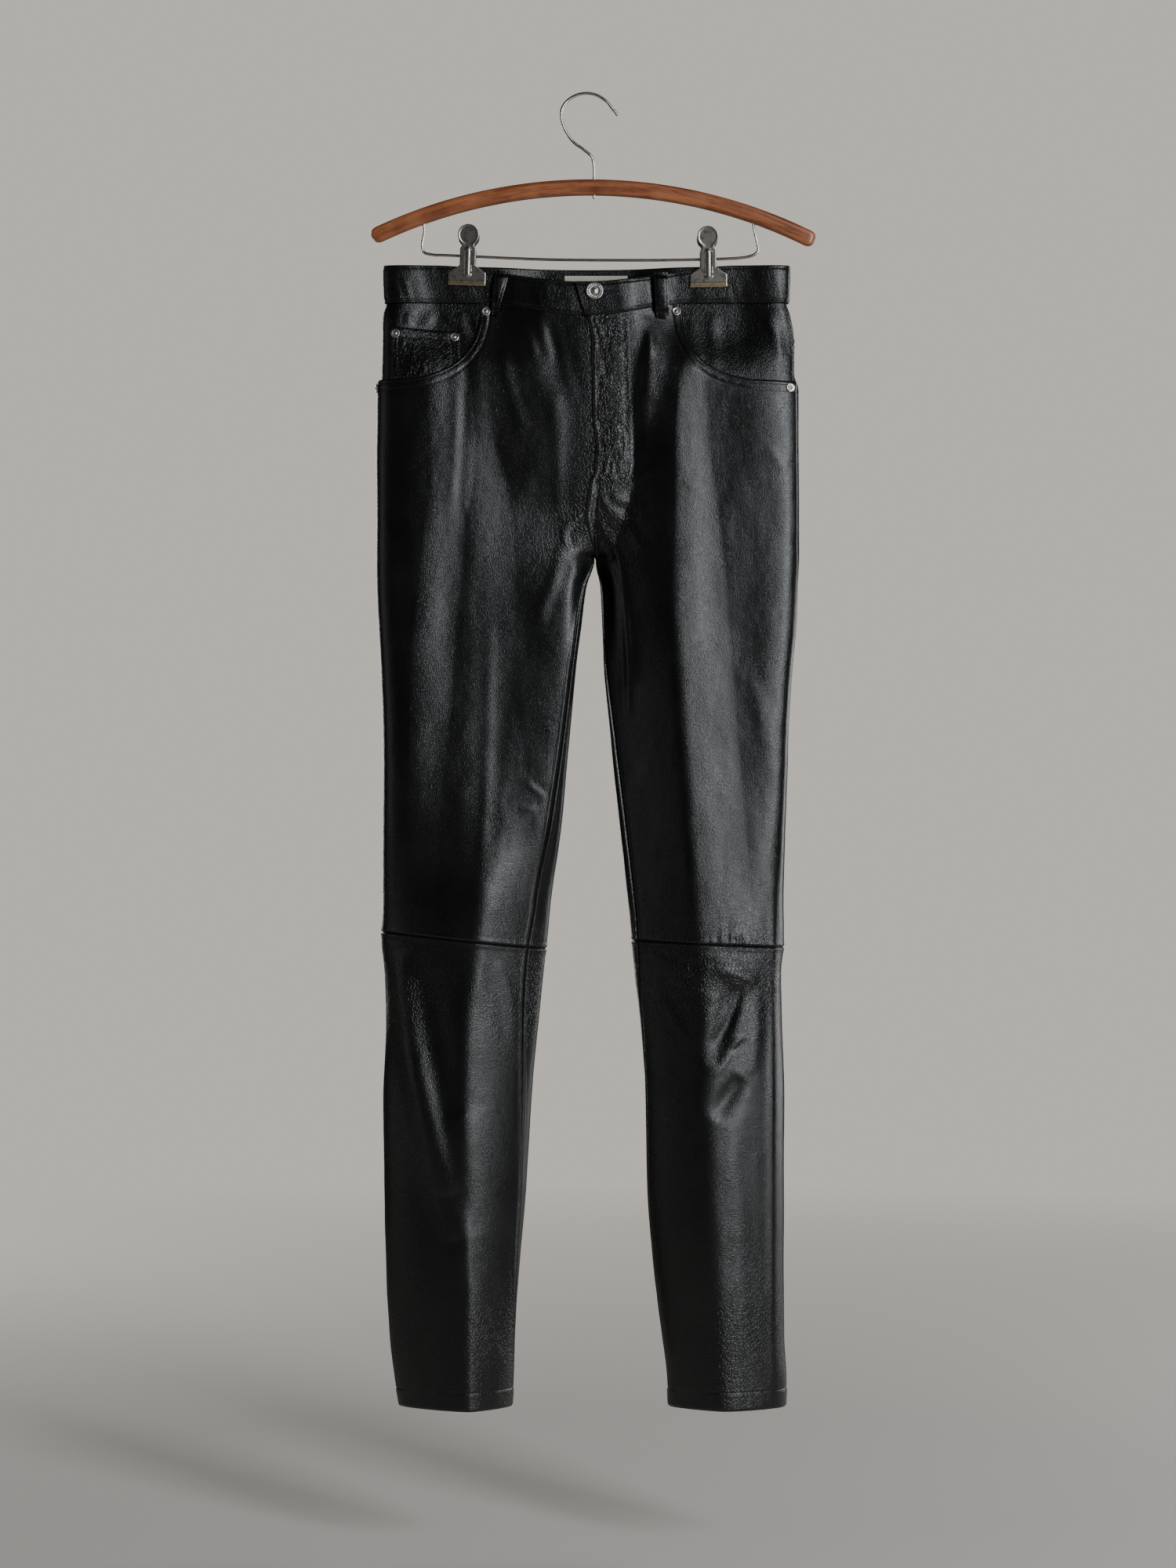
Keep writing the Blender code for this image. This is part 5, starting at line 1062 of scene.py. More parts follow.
def table_value(table, z):
    """The x of a table of (z, x) rows at the heights z."""
    rows = sorted(table)
    return np.interp(z, [row[0] for row in rows], [row[1] for row in rows])


def fly_wrinkles(x, z):
    """The crumpled leather between the fly's edge and its J-shaped rows, and just beside them."""
    left = table_value(FLY_EDGE, z)
    right = table_value(J_INNER, z)
    inside = ease(x, left + 0.001, left + 0.006) * fade(x, right - 0.002, right + 0.001)
    inside = inside * fade(-z, 0.374, 0.386)
    warp_x = x + uneven_layer(FLY_WARP["x"], x, z, cloud) + 0.25 * (z + 0.3)
    warp_z = z + uneven_layer(FLY_WARP["z"], x, z, cloud)
    total = sum(uneven_layer(layer, warp_x, warp_z, ridges) for layer in FLY_RIDGES)
    fan = np.arctan2(x - FLY_FAN["x"], z - FLY_FAN["z"])
    around = bell(x - 0.026, 0.014) * bell(z + 0.366, 0.016)
    total += FLY_FAN["height"] * around * np.sin(fan * FLY_FAN["count"])
    outside = ease(x, right, right + 0.006) * fade(x, 0.052, 0.070) * ease(-z, 0.33, 0.37)
    outside = outside * fade(-z, 0.40, 0.43)
    return total * inside + uneven_layer(BESIDE_FLY, x, z + 0.5 * x, ridges) * outside


def gathers(side, x, distance, rows, pitch, reach, seed):
    """Small puckers that start at a seam and die out away from it."""
    total = np.zeros_like(x)
    for pucker in named(GATHER_COLUMNS, rows):
        if pucker["side"] == side:
            soft = GATHER_EDGE * (pucker["x1"] - pucker["x0"])
            inside = ease(x, pucker["x0"], pucker["x0"] + soft)
            total += pucker["height"] * inside * fade(x, pucker["x1"] - soft, pucker["x1"])
    wave = ridges(x, distance, pitch, reach * 1.6, seed)
    wave = wave + 0.5 * ridges(x, distance, pitch / 2, reach, seed + 1)
    return total * wave * bell(distance, reach)


def seam_roll(distance, pad=1.0):
    """The rounded edge of a seam, with the doubled leather beside it."""
    roll = -ROLL_DEPTH * bell(distance, ROLL_REACH)
    return roll + pad * PAD_HEIGHT * bell(distance - PAD_MIDDLE, PAD_REACH)


def row_dip(distance, rows):
    """The channels that topstitching pulls into the leather."""
    total = np.zeros_like(distance)
    for place in rows:
        total -= STITCH_DIP * bell(distance - place, STITCH_DIP_REACH)
    return total


def nearest(points, line):
    """The distance of each point from a line of close points."""
    tree = kdtree.KDTree(len(line))
    for k, place in enumerate(line):
        tree.insert(place, k)
    tree.balance()
    flat = points.reshape(-1, 3)
    found = np.array([tree.find(place)[2] for place in flat])
    return found.reshape(points.shape[:-1])


def grid_distance(points, edge):
    """The distance of a grid's points from one of its edges, along the grid's own lines."""
    axis = 0 if edge in ("top", "bottom") else 1
    legs = np.linalg.norm(np.diff(points, axis=axis), axis=-1)
    zero = np.zeros_like(np.take(legs, [0], axis=axis))
    total = np.concatenate([zero, np.cumsum(legs, axis=axis)], axis=axis)
    return np.take(total, [-1], axis=axis) - total if edge in ("bottom", "last") else total


def grid_distances(points, *edges):
    return [grid_distance(points, edge) for edge in edges]


def fine_shares(length, first=FINE_REACH, last=FINE_REACH, coarse=COARSE):
    """Shares from 0 to 1 of a length, in fine steps near its ends and coarser ones between."""
    places = [0.0]
    while places[-1] < length:
        clear = min(places[-1] - first, length - places[-1] - last)
        growth = min(max(clear / STEP_GROWTH, 0.0), 1.0)
        places.append(places[-1] + FINE + (coarse - FINE) * growth)
    return np.array(places) / places[-1]


def new_mesh(name, points, faces):
    mesh = bpy.data.meshes.new(name)
    mesh.from_pydata(points, [], faces)
    mesh.shade_smooth()
    return mesh


def set_layer(mesh, title, values):
    """Stores one number at each point of a mesh."""
    layer = mesh.attributes.new(title, "FLOAT", "POINT")
    layer.data.foreach_set("value", np.asarray(values, np.float32))


def shell(name, outer, inner, finish, wear_and_sheen=0.0, crumple=0.0, sharp=55.0):
    """A closed leather wall between two grids of points, shaded smooth, with its rims."""
    rows, columns = outer.shape[:2]
    count = rows * columns
    index = np.arange(count).reshape(rows, columns)
    front = np.stack([index[:-1, :-1], index[:-1, 1:], index[1:, 1:], index[1:, :-1]], axis=-1)
    front = front.reshape(-1, 4)
    rim = np.concatenate([index[0, :], index[1:, -1], index[-1, -2::-1], index[-2:0:-1, 0]])
    after = np.roll(rim, -1)
    sides = np.stack([after, rim, rim + count, after + count], axis=-1)
    faces = np.concatenate([front, front[:, ::-1] + count, sides])
    across = outer[:-1, 1:] - outer[:-1, :-1]
    down = outer[1:, :-1] - outer[:-1, :-1]
    if (np.cross(across, down) * (outer - inner)[:-1, :-1]).sum() < 0.0:
        faces = faces[:, ::-1]
    points = np.concatenate([outer.reshape(-1, 3), inner.reshape(-1, 3)])
    mesh = new_mesh(name, points.tolist(), faces.tolist())
    # The first layer marks the lighter leather: partly rubbed wear, partly a painted highlight.
    for title, values in (("wear_and_sheen", wear_and_sheen), ("crumple", crumple)):
        set_layer(mesh, title, np.tile(np.ravel(np.broadcast_to(values, (rows, columns))), 2))
    mesh.set_sharp_from_angle(angle=math.radians(sharp))
    return add_piece(name, mesh, finish)


def add_piece(name, data, finish=None):
    made = bpy.data.objects.new(name, data)
    if finish is not None:
        data.materials.append(finish)
    bpy.context.scene.collection.objects.link(made)
    return made


def fitted_shares(count, length, reach=FINE_REACH):
    """That many shares from 0 to 1 of a length, closer together near both ends."""
    close = int(reach / FINE)
    middle = count - 1 - 2 * close
    wide = (length - 2 * close * FINE) / middle
    legs = np.concatenate([np.full(close, FINE), np.full(middle, wide), np.full(close, FINE)])
    legs = np.convolve(np.pad(legs, 2, mode="edge"), np.ones(5) / 5, mode="valid")
    return np.concatenate([[0.0], np.cumsum(legs)]) / legs.sum()


def surface(side, w, z, recess, relief, thickness):
    """The outer and inner grids of a panel: relief stands out from the cloth, recess lies in."""
    face = cloth_point(side, w, z)
    normal = outward(side, w, z)
    outer = face + normal * (relief - recess)[..., None]
    inner = outer - normal * np.broadcast_to(thickness, z.shape)[..., None]
    return outer, inner


def common_relief(points, is_back):
    """The relief that every panel has: the finer folds and the undulation, calm under the band."""
    x, _, z = np.moveaxis(points, -1, 0)
    back = np.full(x.shape, is_back)
    calm = fade(z, *CALM_TOP)
    return calm * (crease_height(back, x, z) + unevenness(x, z, back))


def crackled(name, z):
    middle, reach, strength = CRACKLED[name]
    return strength * bell(z - middle, reach)


def crackled_across(name, x):
    middle, reach = CRACKLED_X[name]
    return bell(x - middle, reach)


def crumple_of(x, z, is_back):
    """Where the leather is crackled by wear: at the fly, the knees, the hems and the seat."""
    fly = crackled_across("fly", x) * ease(z, -0.40, -0.37) * (0.0 if is_back else 1.0)
    crotch = crackled("crotch", z) * crackled_across("crotch", x)
    patch = 0.5 + uneven_layer(CRACKLED_PATCH, x, z, cloud)
    legs = (crackled("knee", z) + crackled("hem", z)) * patch
    return np.clip(CRACKLED_LEAST + legs + fly + crotch, 0.0, 1.0)


def wear_and_sheen_of(relief, edge_distance):
    """Lighter leather on the seams' lips and on the tops of the folds: partly real rubbed wear and
    partly a painted highlight.
    """
    tops = np.clip(relief / WORN_SHEEN_TOP, 0.0, 1.0) ** 2
    return np.clip(0.8 * bell(edge_distance, WORN_SHEEN_LIP) + 0.5 * tops, 0.0, 1.0)


def panel(name, grid, relief, distances, finish, crumple, recess=0.0, thickness=WALL):
    """A panel of leather on its grid (side, w, z), coloured lighter along the edges at those distances:
    partly rubbed wear, partly a painted highlight.
    """
    outer, inner = surface(*grid, recess, relief, thickness)
    wear_and_sheen = wear_and_sheen_of(relief, np.minimum.reduce(distances))
    return shell(name, outer, inner, finish, wear_and_sheen, crumple)


def fly_shift():
    """How far round the section the fly's edge lies from the centre seam, by height."""
    heights = np.linspace(-0.16, CROTCH + 2e-6, 90)
    wanted = table_value(FLY_EDGE, heights)
    found = []
    for x, z in zip(wanted, heights):
        inner = float(section_value("left", "inner", z))
        if x >= inner:
            found.append(float(w_at_x("left", x, z)[0]))
        else:
            found.append(-float(w_at_x("right", x, z)[0]))
    return heights[::-1], np.array(found)[::-1]


FLY_HEIGHTS, FLY_PLACES = fly_shift()


def fly_place(z):
    return np.interp(z, FLY_HEIGHTS, FLY_PLACES)


def leather_front_inner(side, z):
    """The front panel's inner edge: the fly's edge above the crotch and the inseam below it."""
    lap = FLY_UNDER * fade(-z, -FLY_END[0], -FLY_END[1])
    above = fly_place(z) if side == "left" else -fly_place(z) - lap
    return np.where(z > JOINED, above, section_value(side, "inseam", z))


def mouth_line(side):
    """Front-view places along a pocket mouth, in even steps from the waist seam to its corner."""
    x, z = mouth_curve(side, np.linspace(0.0, MOUTH_CORNER, 500))
    length = path_length(x, z)
    even = np.linspace(0.0, length[-1], int(length[-1] / MOUTH_STEP))
    return np.interp(even, length, x), np.interp(even, length, z)


def seam_shares(mouth_x):
    """Shares of the waist seam from a front's inner edge to its pocket mouth."""
    return fine_shares(abs(mouth_x[0]), 0.004, 0.012)


def front_top(side):
    """Places (w, z) along a front panel's top: under the waistband, then along the mouth."""
    mouth_x, mouth_z = mouth_line(side)
    bottom = MOUTH[side]["bottom"]
    share = seam_shares(mouth_x)
    seam_x = table_value(FLY_EDGE, BAND_SEAM) * (1.0 - share) + mouth_x[0] * share
    seam_z = band_edges(seam_x, False)[1] + TUCK * fade(share, 0.985, 1.0)
    seam_w = w_at_x(side, seam_x, seam_z)
    seam_w[0] = leather_front_inner(side, seam_z[0])
    if side == "left":
        seam_w = np.maximum(seam_w, seam_w[0] + np.arange(len(seam_w)) * 1e-4)
        seam_w = np.maximum.accumulate(seam_w)
    mouth_w = w_at_x(side, mouth_x[1:], mouth_z[1:])
    share = np.linspace(0.0, 1.0, MOUTH_END_STEPS)[1:]
    edge_w = blend(mouth_w[-1], float(outseam(side, bottom)), share)
    edge_z = blend(mouth_z[-1], bottom, share)
    return np.concatenate([seam_w, mouth_w, edge_w]), np.concatenate([seam_z, mouth_z[1:], edge_z])


def panel_grid(side, top_share, top_z, low_share, low_z, rows, inner_edge, outer_edge):
    """A fine grid of (w, z), whose columns run from a panel's top edge to its bottom edge."""
    share = rows[:, None]
    z = top_z[None, :] * (1.0 - share) + low_z[None, :] * share
    fan = ease(share, 0.0, 0.7)
    place = top_share[None, :] * (1.0 - fan) + low_share[None, :] * fan
    first = inner_edge(side, z)
    last = outer_edge(side, z)
    return first + (last - first) * place, z


def crotch_rows(rows, top, knee):
    """The rows with the nearest one moved onto the crotch's height."""
    rows = rows.copy()
    crotch = (CROTCH - top) / (knee - top)
    rows[np.argmin(np.abs(rows - crotch))] = crotch
    return rows


def knee_line(side, inner_edge, share):
    """Heights of the knee seam at shares of a panel's width."""
    first = inner_edge(side, np.array(KNEE[side]["inner"]))
    w = first + (1.0 - first) * share
    x = base_point(side, w, np.full_like(w, KNEE[side]["crest"]))[:, 0]
    return knee_height(side, x)


def front_thigh_relief(side, w, points, edges):
    """The relief of a front's leather: its folds, its seams, its pocket mouth and its fly."""
    to_knee, to_last, to_mouth, to_first = edges
    x, _, z = np.moveaxis(points, -1, 0)
    below = ease(-z, -CROTCH - 0.010, -CROTCH + 0.004)
    relief = common_relief(points, False)
    relief += seam_roll(to_knee) + row_dip(to_knee, (KNEE_ROW,))
    relief += gathers(side, x, to_knee, KNEE_GATHERS, *PITCHES["front_thigh"])
    relief += seam_roll(to_last, 0.5) + seam_roll(to_first, 0.5) * below
    relief += seam_roll(to_mouth, 0.6) + row_dip(to_mouth, MOUTH_ROWS)
    swell = bell(to_mouth - MOUTH_SWELL["middle"], MOUTH_SWELL["reach"])
    uneven = uneven_layer(MOUTH_RIDGES, x + z, z - x, ridges)
    relief += swell * (MOUTH_SWELL["height"] + uneven)
    if side == "left":
        relief += fly_relief(x, z, to_first) * (1.0 - below)
        relief += fly_raise(np.abs(w), z)
    return relief


def leather_front_thigh(side, finish):
    top_w, top_z = front_top(side)
    first = leather_front_inner(side, top_z)
    top_share = (top_w - first) / (outseam(side, top_z) - first)
    low_share = fitted_shares(len(top_w), FRONT_WIDE)
    low_z = knee_line(side, leather_front_inner, low_share)
    rows = crotch_rows(fine_shares(top_z[0] - low_z[0]), top_z[0], low_z[0])
    w, z = panel_grid(side, top_share, top_z, low_share, low_z, rows, leather_front_inner, outseam)
    points = cloth_point(side, w, z)
    to_knee, to_first, to_last = grid_distances(points, "bottom", "first", "last")
    mouth = points[0, len(seam_shares(mouth_line(side)[0])) - 1 :]
    to_mouth = nearest(points, dense_line(mouth))
    edges = (to_knee, to_last, to_mouth, to_first)
    relief = front_thigh_relief(side, w, points, edges)
    thickness = WALL + MOUTH_DOUBLED[0] * bell(to_mouth, MOUTH_DOUBLED[1])
    name = "leather_front_thigh_" + side
    crumple = crumple_of(points[..., 0], z, False)
    return panel(name, (side, w, z), relief, edges, finish, crumple, thickness=thickness)


def fly_relief(x, z, to_edge):
    """The lapped fly: its rolled edge, its two J rows and its crumpled middle."""
    relief = FLY_ROLL["pad"] * bell(to_edge - FLY_ROLL["pad_at"], FLY_ROLL["pad_reach"])
    relief -= FLY_ROLL["roll"] * bell(to_edge, FLY_ROLL["reach"])
    flat = np.stack([x, np.zeros_like(x), z], axis=-1)
    for table in (J_INNER, J_OUTER):
        line = np.array([(px, 0.0, pz) for pz, px in table])
        relief -= J_DIP[0] * bell(nearest(flat, dense_line(line)), J_DIP[1])
    ledge = ease(-z, 0.3795, 0.3825) * ease(x, 0.006, 0.010) * fade(x, 0.030, 0.038)
    relief -= 0.0009 * ledge * fade(-z, 0.384, 0.402)
    relief += 0.0003 * ease(z, -0.386, -0.376) * bell(x - 0.042, 0.0030)
    relief -= STITCH_DIP * bell(to_edge - CROTCH_ROW, 0.0009) * ease(-z, 0.384, 0.390)
    return relief + fly_wrinkles(x, z)


def dense_line(points, step=0.0004):
    """Close points along a line of points."""
    length = path_length(*points.T)
    even = np.linspace(0.0, length[-1], max(2, int(length[-1] / step)))
    return np.stack([np.interp(even, length, points[:, k]) for k in range(3)], axis=-1)


def leather_back_thigh(side, finish):
    share = fine_shares(BACK_WIDE, coarse=COARSE_BACK)
    top_z = yoke_seam(share)
    low_z = knee_line(side, back_inner, share)
    rows = crotch_rows(fine_shares(top_z[0] - low_z[0], coarse=COARSE_BACK), top_z[0], low_z[0])
    w, z = panel_grid(side, share, top_z, share, low_z, rows, back_inner, outseam)
    points = cloth_point(side, w, z)
    x = points[..., 0]
    edges = grid_distances(points, "bottom", "top", "first", "last")
    to_knee, to_yoke, to_first, to_last = edges
    relief = common_relief(points, True)
    relief += seam_roll(to_knee) + row_dip(to_knee, (KNEE_ROW,))
    relief += gathers(side, x, to_knee, KNEE_GATHERS, *PITCHES["back_thigh"])
    relief += seam_roll(to_yoke) + row_dip(to_yoke, YOKE_ROWS)
    relief += seam_roll(to_first, 0.6) + seam_roll(to_last, 0.5)
    if side == "left":
        relief += row_dip(to_first, YOKE_ROWS) * fade(-z, 0.42, 0.44)
    name = "leather_back_thigh_" + side
    crumple = crumple_of(x, z, True)
    return panel(name, (side, w, z), relief, edges, finish, crumple, side_recess(w, z))


def leather_yoke(side, finish):
    share, rows = (fine_shares(size, coarse=COARSE_BACK) for size in GRIDS["yoke"])
    x = base_point(side, 2.0 - share, np.full_like(share, BAND_SEAM))[:, 0]
    top_z = band_edges(x, True)[1] + TUCK
    w, z = panel_grid(side, share, top_z, share, yoke_seam(share), rows, back_inner, outseam)
    points = cloth_point(side, w, z)
    edges = grid_distances(points, "bottom", "first", "last")
    relief = common_relief(points, True) + seam_roll(edges[0])
    relief += seam_roll(edges[1], 0.6) + seam_roll(edges[2], 0.5)
    if side == "left":
        relief += row_dip(edges[1], YOKE_ROWS)
    name = "leather_yoke_" + side
    crumple = crumple_of(points[..., 0], z, True)
    return panel(name, (side, w, z), relief, edges, finish, crumple, side_recess(w, z))


def leather_shin(face, side, finish):
    is_back = face == "back"
    coarse = COARSE_BACK if is_back else COARSE
    wide, tall = GRIDS["shin"]
    share = fine_shares(wide, coarse=coarse)
    edge = back_inner if is_back else leather_front_inner
    top_z = knee_line(side, edge, share)
    rows = fine_shares(tall, first=0.009, last=0.024, coarse=coarse)
    w, z = panel_grid(side, share, top_z, share, np.full_like(top_z, HEM), rows, edge, outseam)
    points = cloth_point(side, w, z)
    x = points[..., 0]
    edges = grid_distances(points, "top", "bottom", "first", "last")
    to_knee, to_hem, to_first, to_last = edges
    relief = common_relief(points, is_back)
    relief += seam_roll(to_knee) + row_dip(to_knee, (KNEE_ROW,))
    relief += gathers(side, x, to_knee, KNEE_GATHERS, *PITCHES["shin"])
    relief += seam_roll(to_first, 0.5) + seam_roll(to_last, 0.5)
    relief += row_dip(to_hem, (HEM_ROW,)) * 2.0
    hem = fade(to_hem, HEM_ROW - 0.001, HEM_ROW + 0.003)
    relief += hem * (0.0005 - 0.0009 * bell(to_hem, 0.0012))
    relief += gathers(side, x, to_hem - 0.011, HEM_GATHERS, *PITCHES["hem"])
    name = "leather_" + face + "_shin_" + side
    thickness = WALL + (HEM_WALL - WALL) * hem
    crumple = crumple_of(x, z, is_back)
    return panel(name, (side, w, z), relief, edges, finish, crumple, thickness=thickness)


def leather_facing(side, finish):
    mouth = MOUTH[side]
    inner_x = mouth["start"] - SIGN[side] * FACING_UNDERLAP
    low = mouth["bottom"] - FACING_UNDERLAP
    wide, tall = GRIDS["facing"]
    share = fine_shares(wide, first=0.0, coarse=POCKET_STEP)
    rows = fine_shares(tall, first=0.0, last=0.0, coarse=POCKET_STEP)
    top_x = blend(inner_x, section_value(side, "outer", BAND_SEAM), share)
    top_z = band_edges(top_x, False)[1] + TUCK
    z = top_z[None, :] * (1.0 - rows[:, None]) + low * rows[:, None]
    first = w_at_x(side, np.full(len(rows), inner_x), z[:, 0])[:, None]
    w = blend(first, outseam(side, z), share[None, :])
    points = cloth_point(side, w, z)
    edges = grid_distances(points, "last")
    relief = common_relief(points, False) + seam_roll(edges[0], 0.5)
    name = "leather_facing_" + side
    return panel(name, (side, w, z), relief, edges, finish, FACING_CRUMPLE, facing_recess(z))


def coin_places(across, down):
    """Places (w, z) on the coin pocket, for shares across and down it."""
    corner = {name: np.array(place) for name, place in COIN.items()}
    top = blend(corner["top_in"], corner["top_out"], across[..., None])
    low = blend(corner["low_in"], corner["low_out"], across[..., None])
    x, z = np.moveaxis(blend(top, low, down[..., None]), -1, 0)
    return w_at_x("right", np.ravel(x), np.ravel(z)).reshape(x.shape), z


def leather_coin_pocket(finish):
    across, down = np.meshgrid(*(fine_shares(size, coarse=COIN_STEP) for size in GRIDS["coin"]))
    w, z = coin_places(across, down)
    points = cloth_point("right", w, z)
    x = points[..., 0]
    edges = grid_distances(points, "first", "last", "top")
    to_edge = np.minimum(edges[0], edges[1])
    relief = common_relief(points, False)
    for distance in (to_edge, edges[2]):
        relief += seam_roll(distance, 0.8) + row_dip(distance, COIN_ROWS_AT)
    relief += uneven_layer(COIN_RIDGES, x - z, z + x, ridges) * ease(to_edge, 0.004, 0.012)
    recess = facing_recess(z) - COIN_GAP - COIN_WALL
    name = "leather_coin_pocket"
    return panel(name, ("right", w, z), relief, edges, finish, COIN_CRUMPLE, recess, COIN_WALL)


def band_rings(stations, share_offsets):
    """Rings of points round the band: pairs of a share down the band and an offset, per station."""
    rings = []
    for run in sorted({station[2] for station in stations}):
        group = [station for station in stations if station[2] == run]
        side = group[0][0]
        w = np.array([station[1] for station in group])
        portion = np.array([station[3] for station in group])
        rings.append(band_run(side, w, run, portion, share_offsets))
    return np.concatenate(rings)


def uneven_layer(layer, x, z, kind):
    """One layer of soft relief: its height, width, tallness and seed, as cloud or ridges."""
    height, wide, tall, seed = layer
    return height * kind(x, z, wide, tall, seed)


def band_relief(x, z, is_back, from_edge):
    """The soft relief of the band, with the channels of its rows."""
    relief = uneven_layer(BAND_PUFF, x + (0.5 if is_back else 0.0), z, cloud)
    relief += uneven_layer(BAND_RIDGES, x + z * 0.3, z, ridges)
    relief += crease_height(np.full(x.shape, is_back), x, z) * 0.5
    return relief + row_dip(from_edge, (BAND_ROW,)) * 1.6 + 0.00030 * ease(from_edge, 0.003, 0.006)


def band_run(side, w, run, portion, share_offsets):
    """The rings along one run of the band."""
    x_here = base_point(side, w, BAND_SEAM)[:, 0]
    is_back = run in (2, 3)
    top, low = band_edges(x_here, is_back)
    lift = np.array([band_raise(run, float(x)) for x in x_here])[:, None]
    shares, offsets = np.array(share_offsets).T[:, None, :]
    z = blend(top[:, None], low[:, None], shares)
    w_ring = np.broadcast_to(w[:, None], z.shape)
    if run == 5:
        w_ring = portion[:, None] * (OVER_TOP_W * (1.0 - shares) + OVER_LOW_W * shares)
    place = base_point(side, w_ring, z)
    ahead = base_point(side, np.minimum(w_ring + 0.01, 2.0), z)
    behind = base_point(side, np.maximum(w_ring - 0.01, 0.0), z)
    along = (ahead - behind) * SIGN[side]
    normal = unit(np.stack([along[..., 1], -along[..., 0], np.zeros_like(z)], axis=-1))
    from_edge = np.minimum(shares, 1.0 - shares) * (top - low)[:, None]
    relief = band_relief(place[..., 0], z, is_back, from_edge) * ease(from_edge, 0.0, 0.002)
    depth = offsets + lift + np.where(offsets > BAND_MIDDLE, relief, 0.0)
    return place + normal * depth[..., None]


OVER_TOP_W = float(w_at_x("right", OVER_END_TOP, BAND_TOP)[0])
OVER_LOW_W = float(w_at_x("right", OVER_END_LOW, BAND_SEAM)[0])


def band_section():
    """A band's section as shares down it and offsets: round at its top and bottom edges."""
    tall = BAND_TOP - BAND_SEAM
    r = BAND_HALF
    turns = np.linspace(0.0, math.pi / 2, 6)
    rounded = [((r - r * math.sin(t)) / tall, r * math.cos(t)) for t in turns[::-1]]
    flat = list(np.linspace(r, 0.0065, 8)[1:] / tall) + list(np.linspace(0.0065, tall / 2, 7)[1:] / tall)
    upper = [(s, o) for s, o in rounded] + [(s, BAND_HALF) for s in flat]
    outer = upper + [(1.0 - s, o) for s, o in upper[-2::-1]]
    inner = [(s, -o) for s, o in outer[-2:0:-3]]
    return [(s, BAND_MIDDLE + o) for s, o in outer + inner]


def band_stations():
    """Fine places along the waistband from its under end, round the body, to its over end."""
    under_w = w_at_x("left", BAND_UNDER_END, BAND_TOP)[0]
    sides = ("left", "right", "right", "left", "left", "right")
    starts = (under_w, 0.0, 1.0, 2.0, 1.0, 0.0)
    ends = (0.0, 1.0, 2.0, 1.0, 0.0, 1.0)
    places = []
    for k, (side, start, end, count) in enumerate(zip(sides, starts, ends, BAND_RUNS)):
        steps = [float(step) for step in np.linspace(start, end, count)]
        if k == 5:
            places += [(side, 0.0, k, step) for step in steps]
        else:
            places += [(side, step, k, 0.0) for step in steps[:-1]]
    return places


def closed_strip(name, rings, finish):
    """A closed body through rings of points, with a flat cap at each end."""
    many, count = rings.shape[:2]
    index = np.arange(many * count).reshape(many, count)
    after = np.roll(index, -1, axis=1)
    sides = np.stack([index[:-1], after[:-1], after[1:], index[1:]], axis=-1).reshape(-1, 4)
    faces = sides.tolist() + [index[0].tolist()[::-1], index[-1].tolist()]
    mesh = new_mesh(name, rings.reshape(-1, 3).tolist(), faces)
    shape = bmesh.new()
    shape.from_mesh(mesh)
    bmesh.ops.recalc_face_normals(shape, faces=shape.faces)
    shape.to_mesh(mesh)
    shape.free()
    mesh.set_sharp_from_angle(angle=math.radians(50.0))
    return add_piece(name, mesh, finish)


def leather_waistband(finish):
    made = closed_strip("leather_waistband", band_rings(band_stations(), band_section()), finish)
    set_layer(made.data, "crumple", np.full(len(made.data.vertices), BAND_CRUMPLE))
    return made


def loop_run(loop, down):
    """Heights, middles and widths of a belt loop at shares down it."""
    is_back = loop["face"] == "back"
    top = float(band_edges(np.array(loop["top_x"]), is_back)[0]) + LOOP_ABOVE
    low = float(band_edges(np.array(loop["low_x"]), is_back)[1]) - LOOP_BELOW
    middle = blend(loop["top_x"], loop["low_x"], down)
    wide = blend(loop["top_wide"], loop["low_wide"], ease(down, 0.1, 0.9))
    return blend(top, low, down), middle, wide


def leather_loop(loop, finish):
    """A belt loop: folded over at its ends, sewn down there, and bowed off the band between."""
    is_back = loop["face"] == "back"
    hand = 1.0 if is_back else -1.0
    down = np.linspace(0.0, 1.0, 56)
    across = np.linspace(-0.5, 0.5, 15)[None, :]
    z, middle, wide = loop_run(loop, down)
    bow = (ease(down, 0.05, 0.18) - ease(down, 0.80, 0.93))[:, None]
    box_low, box_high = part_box(loop["node"])
    seat = (box_high.y if is_back else box_low.y) - hand * (LOOP_STAND + LOOP_THICK)
    x = middle[:, None] + wide[:, None] * across
    floor = seat + hand * LOOP_STAND * 0.93 * bow * (1.0 - 0.10 * (2 * across) ** 2)
    lean = np.maximum(across + 0.1, 0.0) * ease(down, 0.3, 0.8)[:, None]
    floor = floor + hand * loop["turn"] * lean
    from_edge = (0.5 - np.abs(across)) * wide[:, None]
    relief = row_dip(from_edge, (LOOP_ROW,)) - 0.0005 * bell(from_edge, 0.0009)
    relief = relief + 0.0004 * bell(np.minimum(down, 1.0 - down), 0.035)[:, None]
    zz = np.broadcast_to(z[:, None], x.shape)
    outer = np.stack([x, floor + hand * (LOOP_THICK + relief), zz], axis=-1)
    inner = np.stack([x, floor, zz], axis=-1)
    # Lighter colour along the loop's edges: partly rubbed wear, partly a painted highlight.
    wear_and_sheen = bell(from_edge, 0.0010)
    return shell("leather_" + loop["node"], outer, inner, finish, wear_and_sheen, BAND_CRUMPLE)


